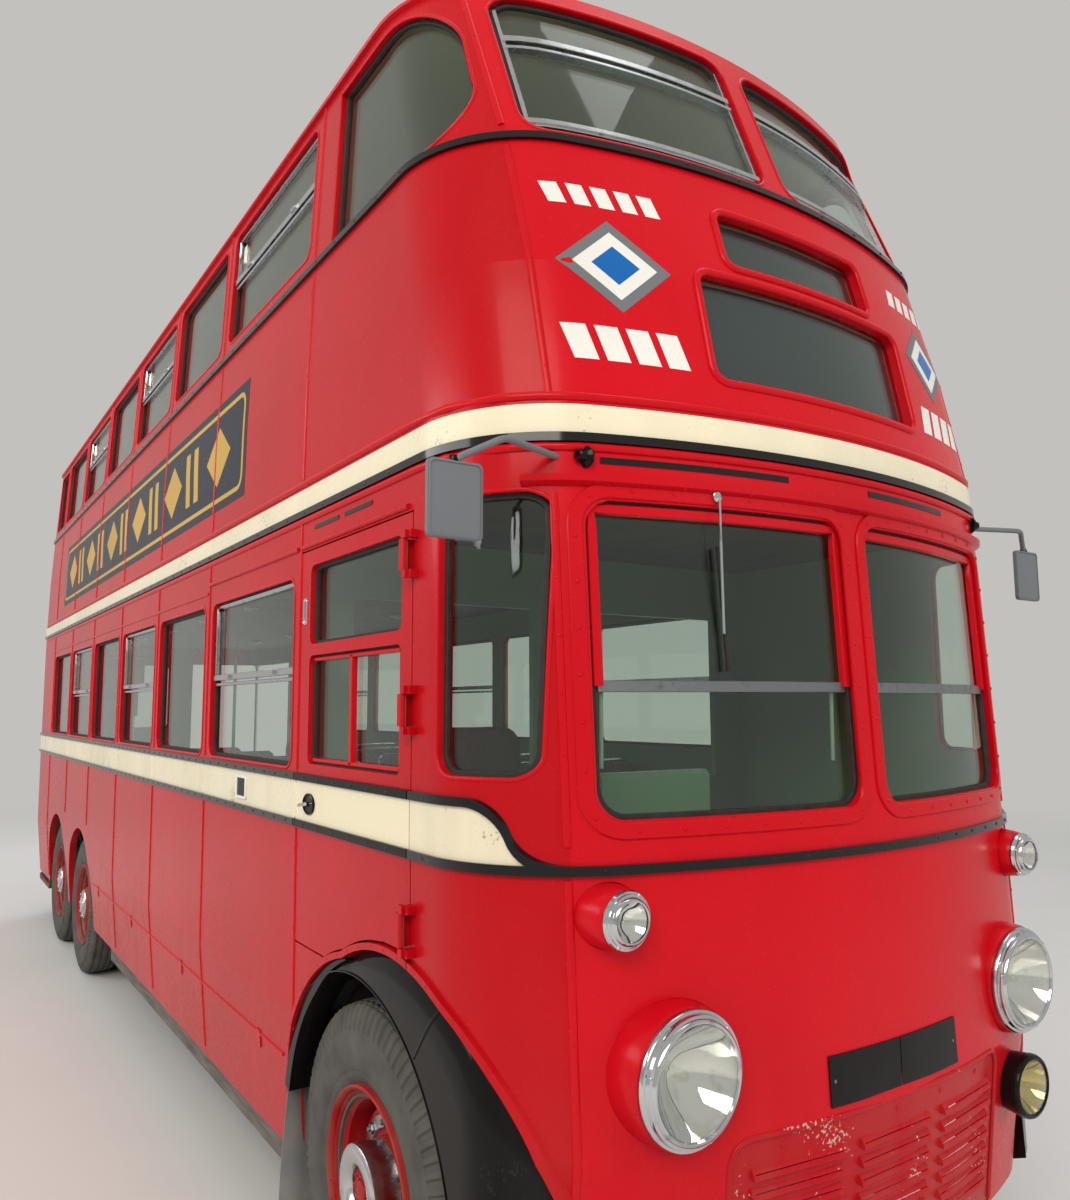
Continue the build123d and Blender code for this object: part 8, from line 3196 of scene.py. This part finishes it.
@dataclass(frozen=True)
class Studio:
    """Pale floor, soft lights and the camera that took the picture."""

    eye: tuple[float, float, float] = (-2.337, -6.594, 1.968)
    yaw: float = 33.92
    pitch: float = 6.45
    roll: float = -0.30
    lens_mm: float = 28.28
    sensor_mm: float = 36.0
    floor_half: float = 400.0
    background: str = "C2C1BD"

    def build(self) -> None:
        """Make the floor, the lights, the world and the camera."""
        self.floor()
        self.lights()
        self.world()
        self.camera()

    def floor(self) -> None:
        """Pale floor that shows only its shadow against the background."""
        mesh = bpy.data.meshes.new("studio_floor")
        half = self.floor_half
        mesh.from_pydata(
            [(-half, -half, 0), (half, -half, 0), (half, half, 0), (-half, half, 0)],
            [],
            [(0, 1, 2, 3)],
        )
        floor = bpy.data.objects.new("studio_floor", mesh)
        bpy.context.scene.collection.objects.link(floor)
        graph = Graph("pale_studio_floor")
        tone = graph.blend(graph.noise(0.8, 3.0), linear("D4D3CF"), linear("DCDBD7"))
        plain = graph.solid({"Base Color": tone, "Roughness": 0.75})
        # Far from the bus the floor turns into the background's tone, for the eye and in mirrors
        reach = node(graph.tree, "ShaderNodeVectorMath", {0: graph.place}, operation="LENGTH")
        inputs = {"Value": reach.outputs["Value"], 1: 7.0, 2: 17.0}
        far = node(graph.tree, "ShaderNodeMapRange", inputs, interpolation_type="SMOOTHSTEP")
        amount = graph.math("MULTIPLY", far.outputs[0], self.seen_ray(graph.tree))
        emission = {"Color": linear(self.background), "Strength": 1.0}
        even = node(graph.tree, "ShaderNodeEmission", emission)
        mesh.materials.append(graph.close(graph.mix(amount, plain, even.outputs[0])))

    @staticmethod
    def seen_ray(tree: bpy.types.NodeTree) -> Socket:
        """Socket that is 1 for rays that see: straight, mirrored or through glass."""
        rays = node(tree, "ShaderNodeLightPath").outputs
        found = rays["Is Camera Ray"]
        for name in ("Is Transmission Ray", "Is Glossy Ray"):
            found = node(
                tree, "ShaderNodeMath", {0: found, 1: rays[name]}, operation="MAXIMUM"
            ).outputs[0]
        return found

    @staticmethod
    def area(
        name: str,
        place: Sequence[float],
        aim: Sequence[float],
        size: tuple[float, float],
        power: float,
        colour: str,
        mirrored: bool = True,
    ) -> None:
        """Add a soft rectangular light.

        Args:
            name: its name.
            place: where it hangs.
            aim: the point it faces.
            size: width and height in metres.
            power: watts.
            colour: sRGB hex colour.
            mirrored: false to keep its shape out of the windscreens.
        """
        lamp = bpy.data.lights.new(name, "AREA")
        lamp.shape = "RECTANGLE"
        lamp.size, lamp.size_y = size
        lamp.energy = power
        lamp.color = linear(colour)[:3]
        holder = bpy.data.objects.new(name, lamp)
        holder.location = place
        holder.visible_glossy = mirrored
        holder.rotation_euler = (Vector(aim) - Vector(place)).to_track_quat("-Z", "Y").to_euler()
        bpy.context.scene.collection.objects.link(holder)

    def lights(self) -> None:
        """Large key from the front offside, a long strip along the side, and a weak back light."""
        self.area("key_light", (-9.0, -12.0, 9.5), (0, -2.0, 1.6), (9.0, 6.0), 1150.0, "FFF6EA")
        self.area(
            "front_fill", (5.5, -13.0, 5.0), (0, -3.0, 1.8), (6.0, 5.0), 300.0, "F3F6FF",
            mirrored=False,
        )
        self.area("side_strip", (-11.0, 3.0, 6.5), (0, 1.5, 2.0), (12.0, 3.5), 520.0, "FFFFFF")
        self.area("top_light", (0.5, -1.0, 13.0), (0, -0.5, 2.0), (7.0, 12.0), 380.0, "FFFFFF")
        self.area("back_light", (8.0, 11.0, 7.0), (0, 2.0, 2.5), (6.0, 5.0), 420.0, "F2F5FF")

    def world(self) -> None:
        """Pale background where it is seen and a softer grey one as light."""
        world = bpy.data.worlds.new("studio_world")
        bpy.context.scene.world = world
        world.use_nodes = True
        tree = world.node_tree
        tree.nodes.clear()
        seen = node(
            tree, "ShaderNodeBackground", {"Color": linear(self.background), "Strength": 1.0}
        )
        lit = node(tree, "ShaderNodeBackground", {"Color": linear("E4E6E8"), "Strength": 0.62})
        mix = node(
            tree,
            "ShaderNodeMixShader",
            {0: self.seen_ray(tree), 1: lit.outputs[0], 2: seen.outputs[0]},
        )
        node(tree, "ShaderNodeOutputWorld", {"Surface": mix.outputs[0]})

    def camera(self) -> None:
        """Camera at the picture's place: its axes come from yaw, pitch and roll."""
        yaw, pitch, roll = (math.radians(v) for v in (self.yaw, self.pitch, self.roll))
        ahead = Vector(
            (math.sin(yaw) * math.cos(pitch), math.cos(yaw) * math.cos(pitch), math.sin(pitch))
        )
        right = Vector((math.cos(yaw), -math.sin(yaw), 0.0))
        up = right.cross(ahead)
        turned_right = right * math.cos(roll) + up * math.sin(roll)
        turned_up = up * math.cos(roll) - right * math.sin(roll)
        data = bpy.data.cameras.new("photo_camera")
        data.sensor_width = self.sensor_mm
        data.lens = self.lens_mm
        data.clip_end = 1000.0
        holder = bpy.data.objects.new("photo_camera", data)
        matrix = Matrix((turned_right, turned_up, -ahead)).transposed().to_4x4()
        matrix.translation = Vector(self.eye)
        holder.matrix_world = matrix
        bpy.context.scene.collection.objects.link(holder)
        bpy.context.scene.camera = holder


def main() -> None:
    """Build the looks in order."""
    logging.basicConfig(level=logging.INFO, format="%(message)s")
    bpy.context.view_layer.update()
    finishes = Finishes()
    dress_nodes(finishes)
    glazier = Glazier(finishes)
    side_windows = SideWindows()
    for side in Side:
        glazier.fit(f"{side.word}_windows", side_windows.windows(side))
        corner = Window(FLANK[side], (0.262, 0.545), (1.790, 2.528), corner=0.060)
        glazier.fit(f"{side.word}_cab_corner", [corner])
    FrontLamps(finishes).build()
    FrontTrim(finishes).build()
    UpperFront(finishes).build()
    SideTrim(finishes).build()
    CabDoor(finishes).build()
    Tyres(finishes).build()
    WheelTrim(finishes).build()
    FrontWings(finishes).build()
    Seats(finishes).build()
    Interior(finishes).build()
    RoofGear(finishes).build()
    BackTrim(finishes).build()
    Mirrors(finishes).build()
    Studio().build()
    bpy.context.scene.view_settings.view_transform = "Standard"


if __name__ == "__main__":
    main()
